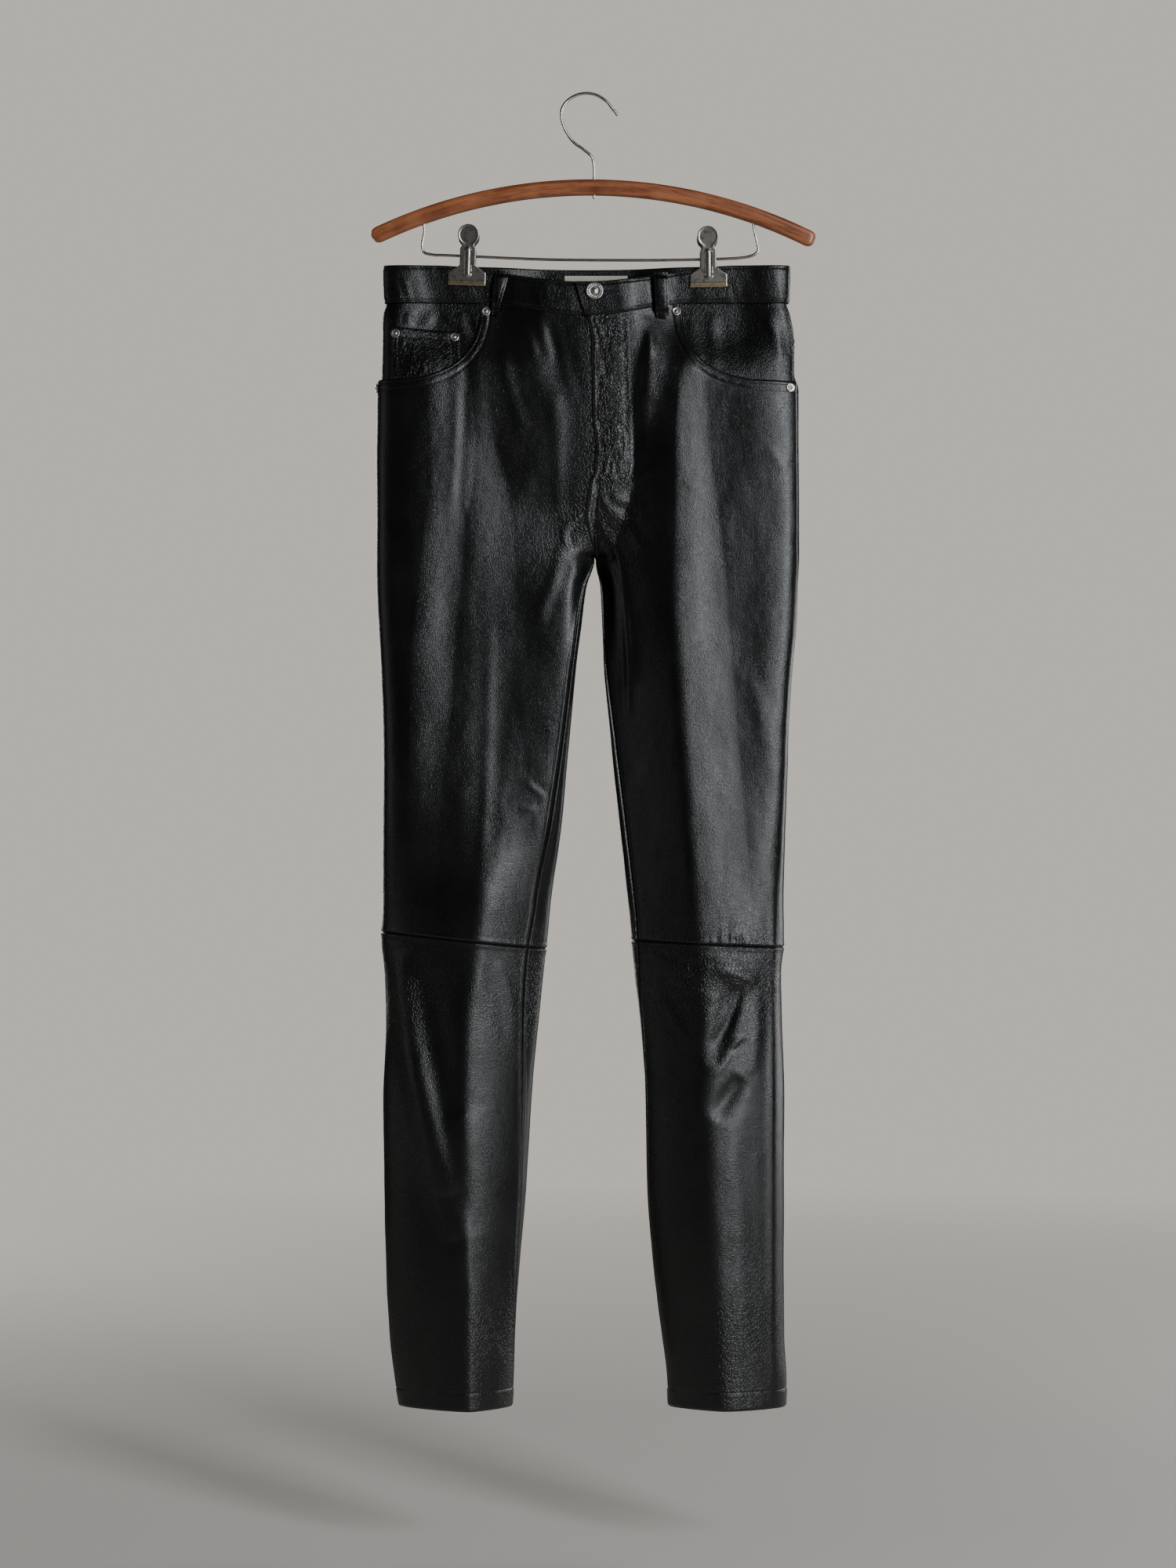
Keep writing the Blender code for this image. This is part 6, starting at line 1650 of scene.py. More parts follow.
def stitch_form():
    """One stitch along X: its points, and its faces."""
    points = [(-0.5 * THREAD_LONG, 0.0, -0.0003)]
    for place, size in THREAD_RINGS:
        for k in range(THREAD_SIDES):
            turn = 2 * math.pi * k / THREAD_SIDES
            r = THREAD_RADIUS * size
            sag = 0.0004 * abs(2 * place) ** 4
            points.append((place * THREAD_LONG, r * math.cos(turn), r * math.sin(turn) - sag + 0.0001))
    points.append((0.5 * THREAD_LONG, 0.0, -0.0003))
    faces = []
    n = THREAD_SIDES
    last = len(points) - 1
    for k in range(n):
        after = (k + 1) % n
        faces.append((0, 1 + after, 1 + k, 1 + k))
        for ring in range(len(THREAD_RINGS) - 1):
            a = 1 + ring * n
            faces.append((a + k, a + after, a + n + after, a + n + k))
        a = 1 + (len(THREAD_RINGS) - 1) * n
        faces.append((a + k, a + after, last, last))
    return np.array(points), faces


def stitching(name, rows, finish):
    """Rows of stitches, each a line of close points with the normals there."""
    form, form_faces = stitch_form()
    points = []
    faces = []
    for line, normals in rows:
        length = path_length(*line.T)
        count = max(1, int(length[-1] / THREAD_PITCH))
        for middle in (np.arange(count) + 0.5) * length[-1] / count:
            ends = [middle - THREAD_LONG / 2, middle, middle + THREAD_LONG / 2]
            a, b, c = (np.array([np.interp(e, length, line[:, k]) for k in range(3)]) for e in ends)
            normal = np.array([np.interp(middle, length, normals[:, k]) for k in range(3)])
            along = unit(c - a)
            normal = unit(normal - along * normal.dot(along))
            start = len(points) * len(form)
            frame = np.stack([along, np.cross(normal, along), normal])
            points.append((a + c) / 4 + b / 2 + form @ frame)
            faces += [tuple(start + k for k in dict.fromkeys(face)) for face in form_faces]
    return add_piece(name, new_mesh(name, np.concatenate(points).tolist(), faces), finish)


def laid_on(line, outside, targets):
    """A line laid on the nearest of the made pieces, as points and normals."""
    points = []
    normals = []
    for place, out in zip(line, outside):
        seen = Vector((place + out * SEEN_FROM).tolist())
        best = None
        for made in targets:
            found, point, normal, _ = made.closest_point_on_mesh(seen)
            if found and (best is None or (point - seen).length < best[0]):
                best = ((point - seen).length, point, normal)
        points.append(best[1])
        normals.append(best[2])
    return np.array(points), np.array(normals)


def front_hit(x, z, targets):
    """The foremost point of the made pieces at (x, z) of the front view, with its normal."""
    best = None
    for made in targets:
        found, point, normal, _ = made.ray_cast(Vector((x, -1.0, z)), Vector((0.0, 1.0, 0.0)))
        if found and (best is None or point.y < best[0].y):
            best = (point, normal)
    return best


def front_row(places, targets):
    """A stitch row through places (x, z) of the front view, laid on the front of the pieces."""
    line = dense_line(np.array([(x, 0.0, z) for x, z in places]), 0.0012)
    hits = [hit for hit in (front_hit(x, z, targets) for x, _, z in line) if hit]
    return np.array([point for point, _ in hits]), np.array([normal for _, normal in hits])


def cloth_row(side, w, z, targets):
    """A stitch row through places (w, z) of the cloth."""
    w, z = np.broadcast_arrays(np.asarray(w, float), np.asarray(z, float))
    return laid_on(cloth_point(side, w, z), outward(side, w, z), targets)


def offset_line(x, z, amount):
    """A front-view line moved to its right-hand side by amount."""
    dx = np.gradient(x)
    dz = np.gradient(z)
    size = np.hypot(dx, dz)
    return x + amount * dz / size, z - amount * dx / size


def mouth_rows(side, made):
    rows = []
    x, z = mouth_line(side)
    bottom = MOUTH[side]["bottom"]
    x = np.append(x, float(base_point(side, outseam(side, bottom) * 0.93, bottom)[0]))
    z = np.append(z, bottom)
    for place in MOUTH_ROWS:
        row_x, row_z = offset_line(x, z, place * SIGN[side])
        keep = row_z < band_edges(row_x, False)[1] - 0.002
        rows.append(front_row(list(zip(row_x[keep], row_z[keep])), [made]))
    return rows


def panel_row(side, edge, share, z, targets):
    """A stitch row across a panel, at shares of its width from its inner edge and heights z."""
    return cloth_row(side, blend(edge(side, z), outseam(side, z), share), z, targets)


def seam_rows(pieces):
    """Topstitching on the legs, the yokes and the seat."""
    rows = []
    for side in ("right", "left"):
        for face, edge in (("front", leather_front_inner), ("back", back_inner)):
            share = np.linspace(0.02, 0.98, 90)
            knee = knee_line(side, edge, share)
            hem = np.full_like(share, HEM + HEM_ROW)
            for part, z in (("thigh", knee + KNEE_ROW), ("shin", knee - KNEE_ROW), ("shin", hem)):
                rows.append(panel_row(side, edge, share, z, [pieces[face, part, side]]))
        share = np.linspace(0.02, 0.97, 110)
        for gap in YOKE_ROWS:
            z = yoke_seam(share) - gap
            rows.append(panel_row(side, back_inner, share, z, [pieces["back", "thigh", side]]))
    z = np.linspace(-0.214, -0.428, 120)
    centre, beside = (cloth_point("left", np.full_like(z, w), z) for w in (2.0, 2.0 - SEAT_STEP))
    step = np.linalg.norm(beside - centre, axis=1)
    for gap in YOKE_ROWS:
        targets = [pieces["back", "thigh", "left"], pieces["yoke", "left"]]
        rows.append(cloth_row("left", 2.0 - SEAT_STEP * gap / step, z, targets))
    return rows


def band_rows(band):
    rows = []
    stations = [s for s in band_stations() if s[2] > 0]
    share = BAND_ROW / (BAND_TOP - BAND_SEAM)
    for place in (share, 1.0 - share):
        pair = band_rings(stations, [(place, BAND_OUT), (place, BAND_OUT + 0.004)])
        rows.append(laid_on(pair[:, 0], unit(pair[:, 1] - pair[:, 0]), [band]))
    top, low = band_edges(np.array(OVER_END_MIDDLE), False)
    edge = [(OVER_END_TOP + BAND_END_ROW, float(top) - 0.004)]
    edge.append((OVER_END_LOW + BAND_END_ROW, float(low) + 0.004))
    rows.append(front_row(edge, [band]))
    return rows


def coin_rows(made):
    rows = []
    share = np.linspace(0.02, 0.98, 60)
    for gap in COIN_ROWS_AT:
        beside = gap / COIN_SIZE["wide"]
        below = gap / COIN_SIZE["tall"]
        for across, down in ((share, below), (beside, share), (1.0 - beside, share)):
            w, z = coin_places(*np.broadcast_arrays(across, down))
            rows.append(cloth_row("right", w, z, [made]))
    return rows


def fly_rows(made):
    rows = []
    for table in (J_INNER, J_OUTER):
        smooth = smooth_route([(x, z) for z, x in table], 8)
        rows.append(front_row([tuple(p) for p in smooth], [made]))
    z = np.linspace(*FLY_ROW_Z, 24)
    for gap in (FLY_EDGE_ROW, CROTCH_ROW):
        rows.append(front_row(list(zip(table_value(FLY_EDGE, z) + gap, z)), [made]))
    return rows


def loop_rows(loops):
    rows = []
    for loop in named(FINE_LOOP_COLUMNS, FINE_LOOPS):
        z, middle, wide = loop_run(loop, np.linspace(0.04, 0.96, 30))
        out = np.array([0.0, 1.0 if loop["face"] == "back" else -1.0, 0.0])
        for hand in (-1.0, 1.0):
            x = middle + hand * (wide / 2 - LOOP_ROW)
            line = np.stack([x, np.full_like(x, 0.030 * out[1]), z], axis=-1)
            rows.append(laid_on(line, np.tile(out, (len(x), 1)), [loops[loop["node"]]]))
    return rows


def turned_piece(name, outline, sides, finish, dots=None):
    """A turned piece about its own Z from (radius, height) pairs, its first point on the axis."""
    turns = np.linspace(0.0, 2 * math.pi, sides, endpoint=False)
    points = [(0.0, 0.0, outline[0][1])]
    for radius, height in outline[1:-1]:
        for turn in turns:
            rise = 0.0
            if dots and dots["inner"] < radius < dots["outer"]:
                rise = dots["height"] * max(0.0, math.cos(turn * dots["count"])) ** 2
            points.append((radius * math.cos(turn), radius * math.sin(turn), height + rise))
    points.append((0.0, 0.0, outline[-1][1]))
    faces = []
    for k in range(sides):
        after = (k + 1) % sides
        faces.append((0, 1 + k, 1 + after))
        for ring in range(len(outline) - 3):
            a = 1 + ring * sides
            faces.append((a + after, a + k, a + sides + k, a + sides + after))
        a = 1 + (len(outline) - 3) * sides
        faces.append((a + after, a + k, len(points) - 1))
    mesh = new_mesh(name, points, faces)
    mesh.set_sharp_from_angle(angle=math.radians(48.0))
    return add_piece(name, mesh, finish)


def place_on(made, point, normal):
    """Stands a turned piece on a point of the leather."""
    turn = normal.to_track_quat("Z", "Y").to_matrix().to_4x4()
    made.data.transform(Matrix.Translation(point) @ turn)


def make_trim(pieces, finish):
    """The waist button and the rivets."""
    made = turned_piece("waist_button", BUTTON_OUTLINE, 144, finish, BUTTON_MARKS)
    place_on(made, *front_hit(BUTTON_X, BUTTON_Z, [pieces["band"]]))
    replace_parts(made, "button")
    for rivet in named(RIVET_COLUMNS, RIVETS):
        made = turned_piece("fine_" + rivet["name"], RIVET_OUTLINE, 48, finish)
        place_on(made, *front_hit(rivet["x"], rivet["z"], [pieces[rivet["on"]]]))
        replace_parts(made, rivet["name"])
    made = turned_piece("fine_" + HIDDEN_RIVET["name"], RIVET_OUTLINE, 48, finish)
    w, z = np.array(HIDDEN_RIVET["w"]), np.array(HIDDEN_RIVET["z"])
    near = cloth_point("right", w, z) + outward("right", w, z) * SEEN_FROM
    hit = pieces["front", "thigh", "right"].closest_point_on_mesh(Vector(near.tolist()))
    place_on(made, hit[1], hit[2])
    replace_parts(made, HIDDEN_RIVET["name"])


def make_buttonhole(band, thread, dark):
    """The worked buttonhole beside the button: a ring of stitches, with a thin near-black tube in the
    slit as painted shade.
    """
    middle, half, tall = (BUTTONHOLE[name] for name in ("x", "half", "tall"))
    turns = np.linspace(0.0, 2 * math.pi, 60, endpoint=False)
    x = middle + half * np.copysign(np.abs(np.cos(turns)) ** 0.6, np.cos(turns))
    z = BUTTONHOLE["z"] + tall * np.copysign(np.abs(np.sin(turns)) ** 0.9, np.sin(turns))
    points = list(zip(x, z))
    line, normals = front_row(points + points[:1], [band])
    rows = []
    for place, normal in zip(line[:-1], normals[:-1]):
        out = place - line.mean(axis=0)
        out = unit(out - normal * out.dot(normal))
        ends = np.stack([place - out * BUTTONHOLE["long"], place + out * BUTTONHOLE["long"]])
        rows.append((ends + normal * 0.0002, np.stack([normal] * 2)))
    stitching("buttonhole_stitching", rows, thread)
    slit_x = np.linspace(middle - half * 0.9, middle + half * 0.9, 16)
    places, lifts = front_row([(x, BUTTONHOLE["z"]) for x in slit_x], [band])
    # A near-black tube along the slit: painted shade in the cut.
    tube("buttonhole_slit_shade", places + lifts * 0.00005, 0.00045, 8, dark)


def tube(name, line, radius, sides, finish):
    """A round wire along a line of points, with rounded ends."""
    tangents = unit(np.gradient(line, axis=0))
    side = np.cross(tangents[0], np.array([0.0, 1.0, 0.0]))
    if np.linalg.norm(side) < 0.1:
        side = np.cross(tangents[0], np.array([0.0, 0.0, 1.0]))
    turns = np.linspace(0.0, 2 * math.pi, sides, endpoint=False)[:, None]
    circles = []
    for along in tangents:
        side = unit(side - along * side.dot(along))
        circles.append((np.cos(turns) * side + np.sin(turns) * np.cross(along, side)) * radius)
    rings = [place + circle for place, circle in zip(line, circles)]
    first, last = tangents[0] * radius, tangents[-1] * radius
    front = [line[0] - first * shift + circles[0] * size for shift, size in WIRE_NOSE]
    back = [line[-1] + last * shift + circles[-1] * size for shift, size in WIRE_NOSE[::-1]]
    return closed_strip(name, np.array(front + rings + back), finish)


def flat_route(route, steps):
    places = smooth_route(route, steps)
    return np.stack([places[:, 0], np.zeros(len(places)), places[:, 1]], axis=-1)


def rounded(turns, size):
    """A squared cosine or sine, for a section with round corners."""
    return size * np.copysign(np.abs(turns) ** BAR_SQUARE, turns)


def make_bar(finish):
    """The arched bar, its section rounded and its ends drawn in, with its grain's own places."""
    radius = (BAR_HALF**2 + BAR_DROP**2) / (2 * BAR_DROP)
    reach = math.asin(BAR_HALF / radius) + BAR_NOSE
    length = 2 * reach * radius
    near = np.linspace(0.0, 1.0, 14) ** 1.8 * BAR_FINE
    middle = np.linspace(BAR_FINE, length - BAR_FINE, 150)[1:-1]
    along = np.concatenate([near, middle, length - near[::-1]])[:, None]
    turns = np.linspace(0.0, 2 * math.pi, 40, endpoint=False)[None, :]
    end = np.minimum(np.minimum(along, length - along) / BAR_END_ROUND, 1.0)
    size = np.maximum((1.0 - (1.0 - end) ** 2.4) ** (1 / 2.4), 0.30)
    y = rounded(np.cos(turns), BAR_DEEP / 2) * size**0.6
    up = rounded(np.sin(turns), BAR_TALL / 2) * size
    angle = along / radius - reach + BAR_TILT
    x = BAR_MIDDLE[0] + (radius + up) * np.sin(angle)
    z = BAR_MIDDLE[1] - radius + (radius + up) * np.cos(angle)
    made = closed_strip("wooden_bar", np.stack([x, y, z], axis=-1), finish)
    layer = made.data.attributes.new("grain", "FLOAT_VECTOR", "POINT")
    grain = np.stack([np.broadcast_to(along, up.shape), y, up], axis=-1)
    layer.data.foreach_set("vector", np.ravel(grain.astype(np.float32)))
    return made


def clip_half(z):
    """Half the width of a clip's plate at the heights z."""
    head = np.sqrt(np.maximum(CLIP_HEAD["radius"] ** 2 - (z - CLIP_HEAD["z"]) ** 2, 0.0))
    heights, halves = zip(*CLIP_NECK[::-1])
    body = np.interp(z, heights, halves)
    return np.where(z > CLIP_NECK[0][0], np.maximum(head, 0.0003), np.maximum(body, head))


def plate_relief(x, z, from_edge, low):
    """How far a plate stands out: its dished head, its rib, its lip and its softened edges."""
    radius = CLIP_HEAD["radius"]
    relief = -EDGE_SOFT[0] * bell(from_edge, EDGE_SOFT[1])
    dish = fade(np.hypot(x, z - CLIP_HEAD["z"]), radius - DISH_RIM[0], radius - DISH_RIM[1])
    relief = relief - DISH_DEPTH * dish * (z > CLIP_NECK[0][0] - 0.002)
    rib_z = np.clip(z, RIB_Z[1] + RIB_ROUND, RIB_Z[0] - RIB_ROUND)
    rib = np.hypot(x, z - rib_z) / RIB_HALF
    relief = relief + RIB_HEIGHT * np.sqrt(np.clip(1.0 - rib**2, 0.0, 1.0))
    lip_top = CLIP_NECK[-1][0] + LIP_TALL
    lip = ease(-z, -(lip_top + LIP_EDGE), -(lip_top - LIP_EDGE))
    return relief + LIP_THICK * lip * (1.0 - 0.25 * ((z - low - LIP_ROUND) / LIP_ROUND) ** 2)


def clip_plate(name, steel, brass):
    """A clip's plate: a dished head, a raised rib and a rolled brass lip at the jaw."""
    radius = CLIP_HEAD["radius"]
    neck = CLIP_NECK[0][0]
    low = CLIP_NECK[-1][0] - JAW_PAST
    turns = np.linspace(0.0, 1.0, 26)
    head = CLIP_HEAD["z"] + radius - 2 * radius * (0.5 - 0.5 * np.cos(turns * 2.45))
    z = np.concatenate([head[head > neck], np.linspace(neck, low, 74)])[:, None]
    half = clip_half(z)
    x = half * np.sin(np.linspace(-math.pi / 2, math.pi / 2, 45))
    z = np.broadcast_to(z, x.shape)
    relief = plate_relief(x, z, np.minimum(half - np.abs(x), z - low), low)
    outer = np.stack([x, -CLIP_THICK / 2 - relief, z], axis=-1)
    inner = np.stack([x, np.full_like(x, CLIP_THICK / 2), z], axis=-1)
    made = shell(name, outer, inner, steel, sharp=40.0)
    made.data.materials.append(brass)
    for face in made.data.polygons:
        if face.center.z < CLIP_NECK[-1][0] + LIP_TALL:
            face.material_index = 1
    return made


def lug(x, eye_z):
    """An ear's outline in the plane across the wire, as points (x, y, z)."""
    turns = np.linspace(math.radians(-70), math.radians(250), 15)
    y = CLIP_HEAD_Y * 0.82 + LUG_RADIUS * np.sin(turns)
    z = eye_z + LUG_RADIUS * np.cos(turns)
    points = [(x, *place) for place in zip(y, z)]
    return points + [(x, 0.0, eye_z - LUG_FOOT), (x, 0.0, eye_z + LUG_FOOT)]


def make_clip(side, steel, brass, coil):
    """A clip: its two plates, the ears on the wire and the coiled spring between them."""
    wire_z = wire_at(side)
    for face in ("front", "back"):
        plate = clip_plate("fine_clip_" + side + "_" + face, steel, brass)
        reach = EAR_REACH[face]
        eye_z = wire_z - CLIP_DROP[side]
        join_into(plate, [ear(hand * reach, hand * (reach - EAR_WIDE), eye_z) for hand in (-1.0, 1.0)])
        plate.data.transform(plate_place(side, face, wire_z))
        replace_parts(plate, "clip_" + side + "_" + face)
    half = EAR_REACH["back"] - EAR_WIDE - HOLE_CLEAR - SPRING_WIRE
    ring = WIRE_RADIUS + HOLE_CLEAR + SPRING_WIRE
    turns = np.linspace(0.0, 2 * math.pi * SPRING_TURNS, SPRING_TURNS * 14)
    x = np.linspace(-half, half, len(turns))
    line = np.stack([x, ring * np.cos(turns), ring * np.sin(turns)], axis=-1)
    spring = tube("fine_clip_" + side + "_spring", line, SPRING_WIRE, 8, coil)
    turn = Matrix.Rotation(wire_slope(side), 4, "Y")
    spring.data.transform(Matrix.Translation((CLIP_X[side], 0.0, wire_z)) @ turn)
    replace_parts(spring, "clip_" + side + "_spring")


def ear(far, near, eye_z):
    """The points and faces of one ear."""
    outer = lug(far, eye_z)
    count = len(outer)
    faces = [tuple(range(count)), tuple(reversed(range(count, 2 * count)))]
    for k in range(count):
        after = (k + 1) % count
        faces.append((after, k, k + count, after + count))
    return outer + lug(near, eye_z), faces


def join_into(made, additions):
    """Adds the points and faces of small closed forms to a mesh."""
    shape = bmesh.new()
    shape.from_mesh(made.data)
    for points, faces in additions:
        corners = [shape.verts.new(p) for p in points]
        new = [shape.faces.new([corners[k] for k in face]) for face in faces]
        bmesh.ops.recalc_face_normals(shape, faces=new)
    shape.to_mesh(made.data)
    shape.free()


def plate_place(side, face, wire_z):
    """Leans a plate so that its jaw bears on the band, turns it on the wire and puts it in place."""
    jaw_z = CLIP_NECK[-1][0]
    head_z = CLIP_HEAD["z"] + CLIP_HEAD["radius"]
    lean = math.atan2(CLIP_HEAD_Y - CLIP_JAW_Y, head_z - jaw_z)
    stand = Matrix.Translation((0.0, -(CLIP_JAW_Y + CLIP_THICK / 2), jaw_z + CLIP_DROP[side]))
    tilt = stand @ Matrix.Rotation(lean, 4, "X") @ Matrix.Translation((0.0, 0.0, -jaw_z))
    mirror = Matrix.Identity(4) if face == "front" else Matrix.Rotation(math.pi, 4, "Z")
    swing = Matrix.Translation((CLIP_X[side], 0.0, wire_z)) @ Matrix.Rotation(CLIP_TURN[side], 4, "Y")
    return swing @ Matrix.Translation((0.0, 0.0, -wire_z)) @ mirror @ tilt


def make_label(cloth, thread):
    """The plain woven label on the inside of the back of the waistband."""
    columns = np.linspace(*LABEL_X, 60)
    rows = np.linspace(*LABEL_Z, 22)
    x, z = np.meshgrid(columns, rows)
    y = np.zeros_like(x)
    for side, is_here in (("right", columns < BAND_CENTRE), ("left", columns >= BAND_CENTRE)):
        w = 2.0 - w_at_x(side, x[:, is_here], z[:, is_here]).reshape(z[:, is_here].shape)
        y[:, is_here] = base_point(side, w, z[:, is_here])[..., 1] - BAND_IN
    puff = uneven_layer(LABEL_PUFF, x, z, cloud)
    outer = np.stack([x, y - LAYER_GAP - LABEL_THICK - puff, z], axis=-1)
    inner = np.stack([x, y - LAYER_GAP, z], axis=-1)
    made = shell("woven_label", outer, inner, cloth)
    left, right = LABEL_X[0] + LABEL_INSET, LABEL_X[1] - LABEL_INSET
    top, low = LABEL_Z[0] - LABEL_INSET, LABEL_Z[1] + LABEL_INSET
    corners = [(left, top), (right, top), (right, low), (left, low), (left, top)]
    line = dense_line(np.array([(cx, 0.0, cz) for cx, cz in corners]), 0.001)
    line[:, 1] = np.interp(line[:, 0], x[0], outer[len(rows) // 2, :, 1]) - 0.0002
    facing = np.tile(np.array([0.0, -1.0, 0.0]), (len(line), 1))
    stitching("label_stitching", [(line, facing)], thread)
    return made


class Graph:
    """A small helper that adds nodes to a material and links them."""

    def __init__(self, name):
        self.made = bpy.data.materials.new(name)
        self.made.use_nodes = True
        self.tree = self.made.node_tree
        self.shader = self.tree.nodes["Principled BSDF"]
        self.place = None

    def put(self, socket, value):
        if isinstance(value, bpy.types.NodeSocket):
            self.tree.links.new(value, socket)
        else:
            socket.default_value = value

    def node(self, kind, values=None, **settings):
        made = self.tree.nodes.new("ShaderNode" + kind)
        for key, value in settings.items():
            setattr(made, key, value)
        for key, value in (values or {}).items():
            self.put(made.inputs[key], value)
        return made

    def object_place(self):
        self.place = self.node("TexCoord").outputs["Object"]
        return self.place

    def texture(self, kind, scale, place=None, output=0, values=None, **settings):
        inputs = {"Vector": self.place if place is None else place, "Scale": scale}
        return self.node("Tex" + kind, inputs | (values or {}), **settings).outputs[output]

    def noise(self, scale, detail, place=None, output=0, **values):
        return self.texture("Noise", scale, place, output, {"Detail": detail} | values)

    def cells(self, scale, place, edge):
        """0 on the borders of uneven cells and 1 inside them."""
        border = self.texture("Voronoi", scale, place, feature="DISTANCE_TO_EDGE")
        return self.span(border, 0.0, edge)

    def math(self, operation, a, b=0.0, c=0.0):
        return self.node("Math", {0: a, 1: b, 2: c}, operation=operation).outputs[0]

    def span(self, value, low, high, to_low=0.0, to_high=1.0):
        inputs = {"Value": value, "From Min": low, "From Max": high, "To Min": to_low, "To Max": to_high}
        return self.node("MapRange", inputs).outputs[0]

    def mix(self, share, a, b):
        made = self.node("Mix", data_type="RGBA")
        for key, value in (("Factor_Float", share), ("A_Color", a), ("B_Color", b)):
            self.put(next(s for s in made.inputs if s.identifier == key), value)
        return next(s for s in made.outputs if s.identifier == "Result_Color")

    def set(self, **values):
        for key, value in values.items():
            self.put(self.shader.inputs[key.replace("_", " ")], value)

    def bump(self, height, share=1.0):
        height = height if share == 1.0 else self.math("MULTIPLY", height, share)
        made = self.node("Bump", {"Height": height, "Distance": 1.0, "Strength": 1.0})
        self.put(self.shader.inputs["Normal"], made.outputs[0])


def leather_finish():
    """Black nappa: a fine grain, crackle where it is crumpled, and greyer on its edges and fold tops,
    partly from rubbed wear and partly as a painted highlight.
    """
    g = Graph("black_leather_fine")
    place = g.object_place()
    wear_and_sheen = g.node("Attribute", attribute_name="wear_and_sheen").outputs["Fac"]
    crumple = g.node("Attribute", attribute_name="crumple").outputs["Fac"]
    sway = g.noise(260.0, 2.0, output="Color")
    moved = g.node("VectorMath", {0: sway, 1: GRAIN_SWAY}, operation="MULTIPLY").outputs[0]
    placed = g.node("VectorMath", {0: place, 1: moved}, operation="ADD").outputs[0]
    height = g.math("MULTIPLY", g.cells(640.0, placed, 0.28), GRAIN_HEIGHT)
    crackle = g.math("MULTIPLY", g.cells(300.0, placed, 0.16), crumple)
    height = g.math("MULTIPLY_ADD", crackle, CRACKLE_HEIGHT, height)
    g.bump(g.math("MULTIPLY_ADD", g.noise(150.0, 3.0), SOFT_HEIGHT, height))
    patches = g.noise(22.0, 3.0)
    colour = g.mix(g.span(patches, 0.35, 0.70), *LEATHER_COLOURS)
    # Lighter on seam lips and fold tops: partly rubbed wear, partly a painted highlight.
    colour = g.mix(g.math("MULTIPLY", wear_and_sheen, 0.55), colour, LEATHER_WORN_AND_SHEEN)
    rough = g.math("MULTIPLY_ADD", wear_and_sheen, -0.05, g.span(patches, 0.3, 0.7, *LEATHER_ROUGH))
    g.set(Base_Color=colour, Roughness=rough, IOR=1.5, Coat_Weight=0.08, Coat_Roughness=0.20)
    return g.made


def thread_finish(name, colour):
    g = Graph(name)
    g.object_place()
    twist = g.texture("Wave", 700.0, output="Fac", values={"Distortion": 1.0})
    g.bump(twist, 0.00006)
    # The thread's colour is dimmed where the twist's bump lies low: painted shade in its grooves.
    g.set(Base_Color=g.mix(twist, dimmed(colour, 0.55), colour), Roughness=0.62)
    return g.made


def metal_finish(name, colour, dark, rough):
    """Worn plated metal, with fine scratches, dull patches and a little grime."""
    g = Graph(name)
    place = g.object_place()
    stretch = g.node("Mapping", {"Vector": place, "Scale": (1.0, 1.0, 0.12)}).outputs[0]
    g.bump(g.noise(2600.0, 3.0, stretch), 0.000012)
    patches = g.noise(240.0, 4.0)
    g.set(Base_Color=g.mix(g.span(patches, 0.42, 0.72), colour, dark), Metallic=1.0)
    g.set(Roughness=g.span(patches, 0.3, 0.75, rough - 0.06, rough + 0.14))
    return g.made


def wood_finish():
    """Varnished reddish-brown wood, with grain along the bar, pores and darker figure."""
    g = Graph("hanger_wood_fine")
    g.place = g.node("Attribute", attribute_name="grain").outputs["Vector"]
    longways = g.node("Mapping", {"Vector": g.place, "Scale": (14.0, 190.0, 190.0)}).outputs[0]
    figure = g.noise(1.0, 5.0, longways, Distortion=0.9)
    fine = g.node("Mapping", {"Vector": g.place, "Scale": (60.0, 1500.0, 1500.0)}).outputs[0]
    pores = g.noise(1.0, 3.0, fine)
    patches = g.noise(34.0, 2.0)
    colour = g.mix(g.span(figure, 0.30, 0.70), *WOOD_COLOURS)
    colour = g.mix(g.span(pores, 0.56, 0.70), colour, WOOD_PORES)
    colour = g.mix(g.span(patches, 0.45, 0.72, 0.0, 0.45), colour, WOOD_PALE)
    g.bump(pores, -0.00008)
    g.set(Base_Color=colour, Roughness=g.span(figure, 0.3, 0.7, 0.34, 0.46))
    g.set(Coat_Weight=0.45, Coat_Roughness=0.18)
    return g.made


def label_finish():
    g = Graph("label_weave")
    g.object_place()
    warp = g.texture("Wave", 420.0, output="Fac", bands_direction="X")
    weft = g.texture("Wave", 420.0, output="Fac", bands_direction="Z")
    weave = g.math("MULTIPLY", warp, weft)
    g.bump(weave, 0.00012)
    # Darker where the weave's bump lies low, between the threads: painted shade.
    g.set(Base_Color=g.mix(weave, *LABEL_COLOURS), Roughness=0.85)
    return g.made


def dimmed(colour, share):
    return tuple(part * share for part in colour[:3]) + (1.0,)


def plain_finish(name, colour, rough):
    g = Graph(name)
    g.object_place()
    g.set(Base_Color=g.mix(g.noise(3.0, 2.0), dimmed(colour, 0.96), colour), Roughness=rough)
    return g.made


def make_camera():
    data = bpy.data.cameras.new("camera")
    data.sensor_width = SENSOR
    data.lens = SENSOR * VIEW_DISTANCE / FRAME_TALL
    made = add_piece("camera", data)
    made.location = (VIEW_MIDDLE[0], -VIEW_DISTANCE, VIEW_MIDDLE[1])
    made.rotation_euler = (math.pi / 2, 0.0, 0.0)
    bpy.context.scene.camera = made


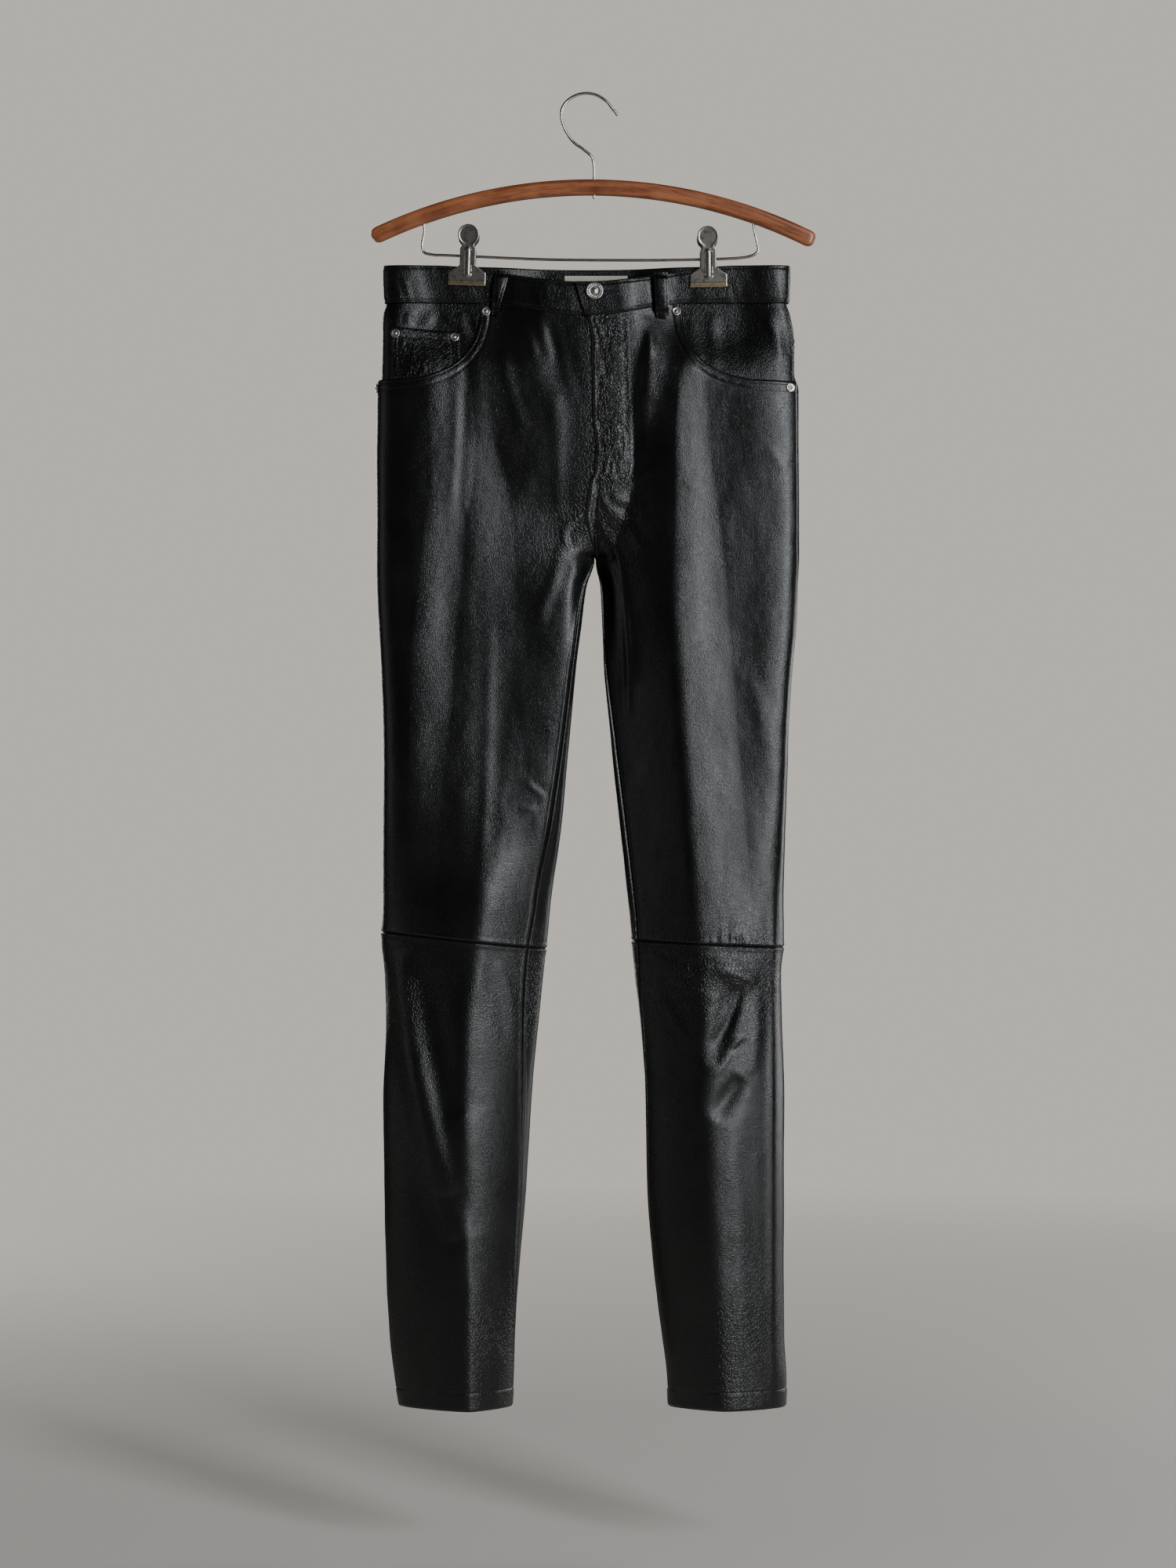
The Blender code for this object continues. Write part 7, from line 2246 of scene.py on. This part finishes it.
def make_lights():
    for light in named(LIGHT_COLUMNS, LIGHTS):
        data = bpy.data.lights.new(light["name"], "AREA")
        data.shape = "RECTANGLE"
        data.size = light["wide"]
        data.size_y = light["tall"]
        data.energy = light["power"]
        data.color = light["colour"]
        made = add_piece("light_" + light["name"], data)
        made.location = (light["x"], light["y"], light["z"])
        turned = (Vector(LIGHT_TARGET) - made.location).to_track_quat("-Z", "Y")
        made.rotation_euler = turned.to_euler()
        made.visible_camera = False


def make_world():
    """A pale backdrop all round, dimmer for what it lights."""
    world = bpy.data.worlds.new("studio")
    world.use_nodes = True
    bpy.context.scene.world = world
    tree = world.node_tree
    back = tree.nodes["Background"]
    dim = tree.nodes.new("ShaderNodeBackground")
    for made, colour, strength in ((back, BACKDROP, 1.0), (dim, SKY, WORLD_LIGHT)):
        made.inputs["Color"].default_value = (*colour, 1.0)
        made.inputs["Strength"].default_value = strength
    seen = tree.nodes.new("ShaderNodeLightPath")
    mix = tree.nodes.new("ShaderNodeMixShader")
    sources = (seen.outputs["Is Camera Ray"], dim.outputs[0], back.outputs[0])
    for source, socket in zip(sources, mix.inputs):
        tree.links.new(source, socket)
    tree.links.new(mix.outputs[0], tree.nodes["World Output"].inputs["Surface"])


def make_floor():
    """A plain pale round floor that thins out to nothing at its rim."""
    g = Graph("floor_plain")
    size = g.node("VectorMath", {0: g.object_place()}, operation="LENGTH").outputs["Value"]
    g.set(Base_Color=FLOOR_COLOUR, Roughness=0.85)
    g.set(Alpha=g.span(size, FLOOR_RADIUS * 0.25, FLOOR_RADIUS, 1.0, 0.0))
    shape = bmesh.new()
    bmesh.ops.create_circle(shape, cap_ends=True, segments=96, radius=FLOOR_RADIUS)
    mesh = bpy.data.meshes.new("floor")
    shape.to_mesh(mesh)
    shape.free()
    made = add_piece("floor", mesh, g.made)
    made.location = (0.0, 0.0, FLOOR_Z)


def declare(made, node):
    """Hides the node that a piece stands in for, and gives the piece back."""
    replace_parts(made, node)
    return made


def make_leather(leather):
    """All the panels, the band and the loops, each in place of its node."""
    pieces = {}
    for side in ("right", "left"):
        made = leather_front_thigh(side, leather)
        pieces["front", "thigh", side] = declare(made, "front_thigh_" + side)
        made = leather_back_thigh(side, leather)
        pieces["back", "thigh", side] = declare(made, "back_thigh_" + side)
        pieces["yoke", side] = declare(leather_yoke(side, leather), "yoke_" + side)
        for face in ("front", "back"):
            made = leather_shin(face, side, leather)
            pieces[face, "shin", side] = declare(made, face + "_shin_" + side)
        declare(leather_facing(side, leather), "pocket_facing_" + side)
    pieces["coin"] = declare(leather_coin_pocket(leather), "coin_pocket")
    pieces["band"] = declare(leather_waistband(leather), "waistband")
    for loop in named(FINE_LOOP_COLUMNS, FINE_LOOPS):
        pieces[loop["node"]] = declare(leather_loop(loop, leather), loop["node"])
    return pieces


def make_stitches(pieces, thread):
    bpy.context.view_layer.update()
    stitching("stitches_legs", seam_rows(pieces), thread)
    rows = mouth_rows("right", pieces["front", "thigh", "right"])
    rows += mouth_rows("left", pieces["front", "thigh", "left"])
    rows += coin_rows(pieces["coin"]) + fly_rows(pieces["front", "thigh", "left"])
    stitching("stitches_front", rows, thread)
    stitching("stitches_band", band_rows(pieces["band"]) + loop_rows(pieces), thread)


def main():
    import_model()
    leather = leather_finish()
    thread = thread_finish("black_thread", BLACK_THREAD)
    nickel, steel, satin, brass = (metal_finish(*row) for row in METALS)
    wood = wood_finish()
    pieces = make_leather(leather)
    make_stitches(pieces, thread)
    make_trim(pieces, nickel)
    make_buttonhole(pieces["band"], thread, plain_finish("slit_shadow", SLIT_SHADE_COLOUR, 0.8))
    label = make_label(label_finish(), thread_finish("cream_thread", CREAM_THREAD))
    declare(label, "label")
    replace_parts(make_bar(wood), "hanger_bar")
    for node, name, route, radius, sides in WIRES:
        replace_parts(tube(name, flat_route(route, 12), radius, sides, steel), node)
    for side in ("right", "left"):
        make_clip(side, satin, brass, steel)
    for made in bpy.context.scene.objects:
        if made.type == "MESH" and "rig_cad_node" not in made:
            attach(made, "root")
    make_floor()
    make_camera()
    make_lights()
    make_world()


main()
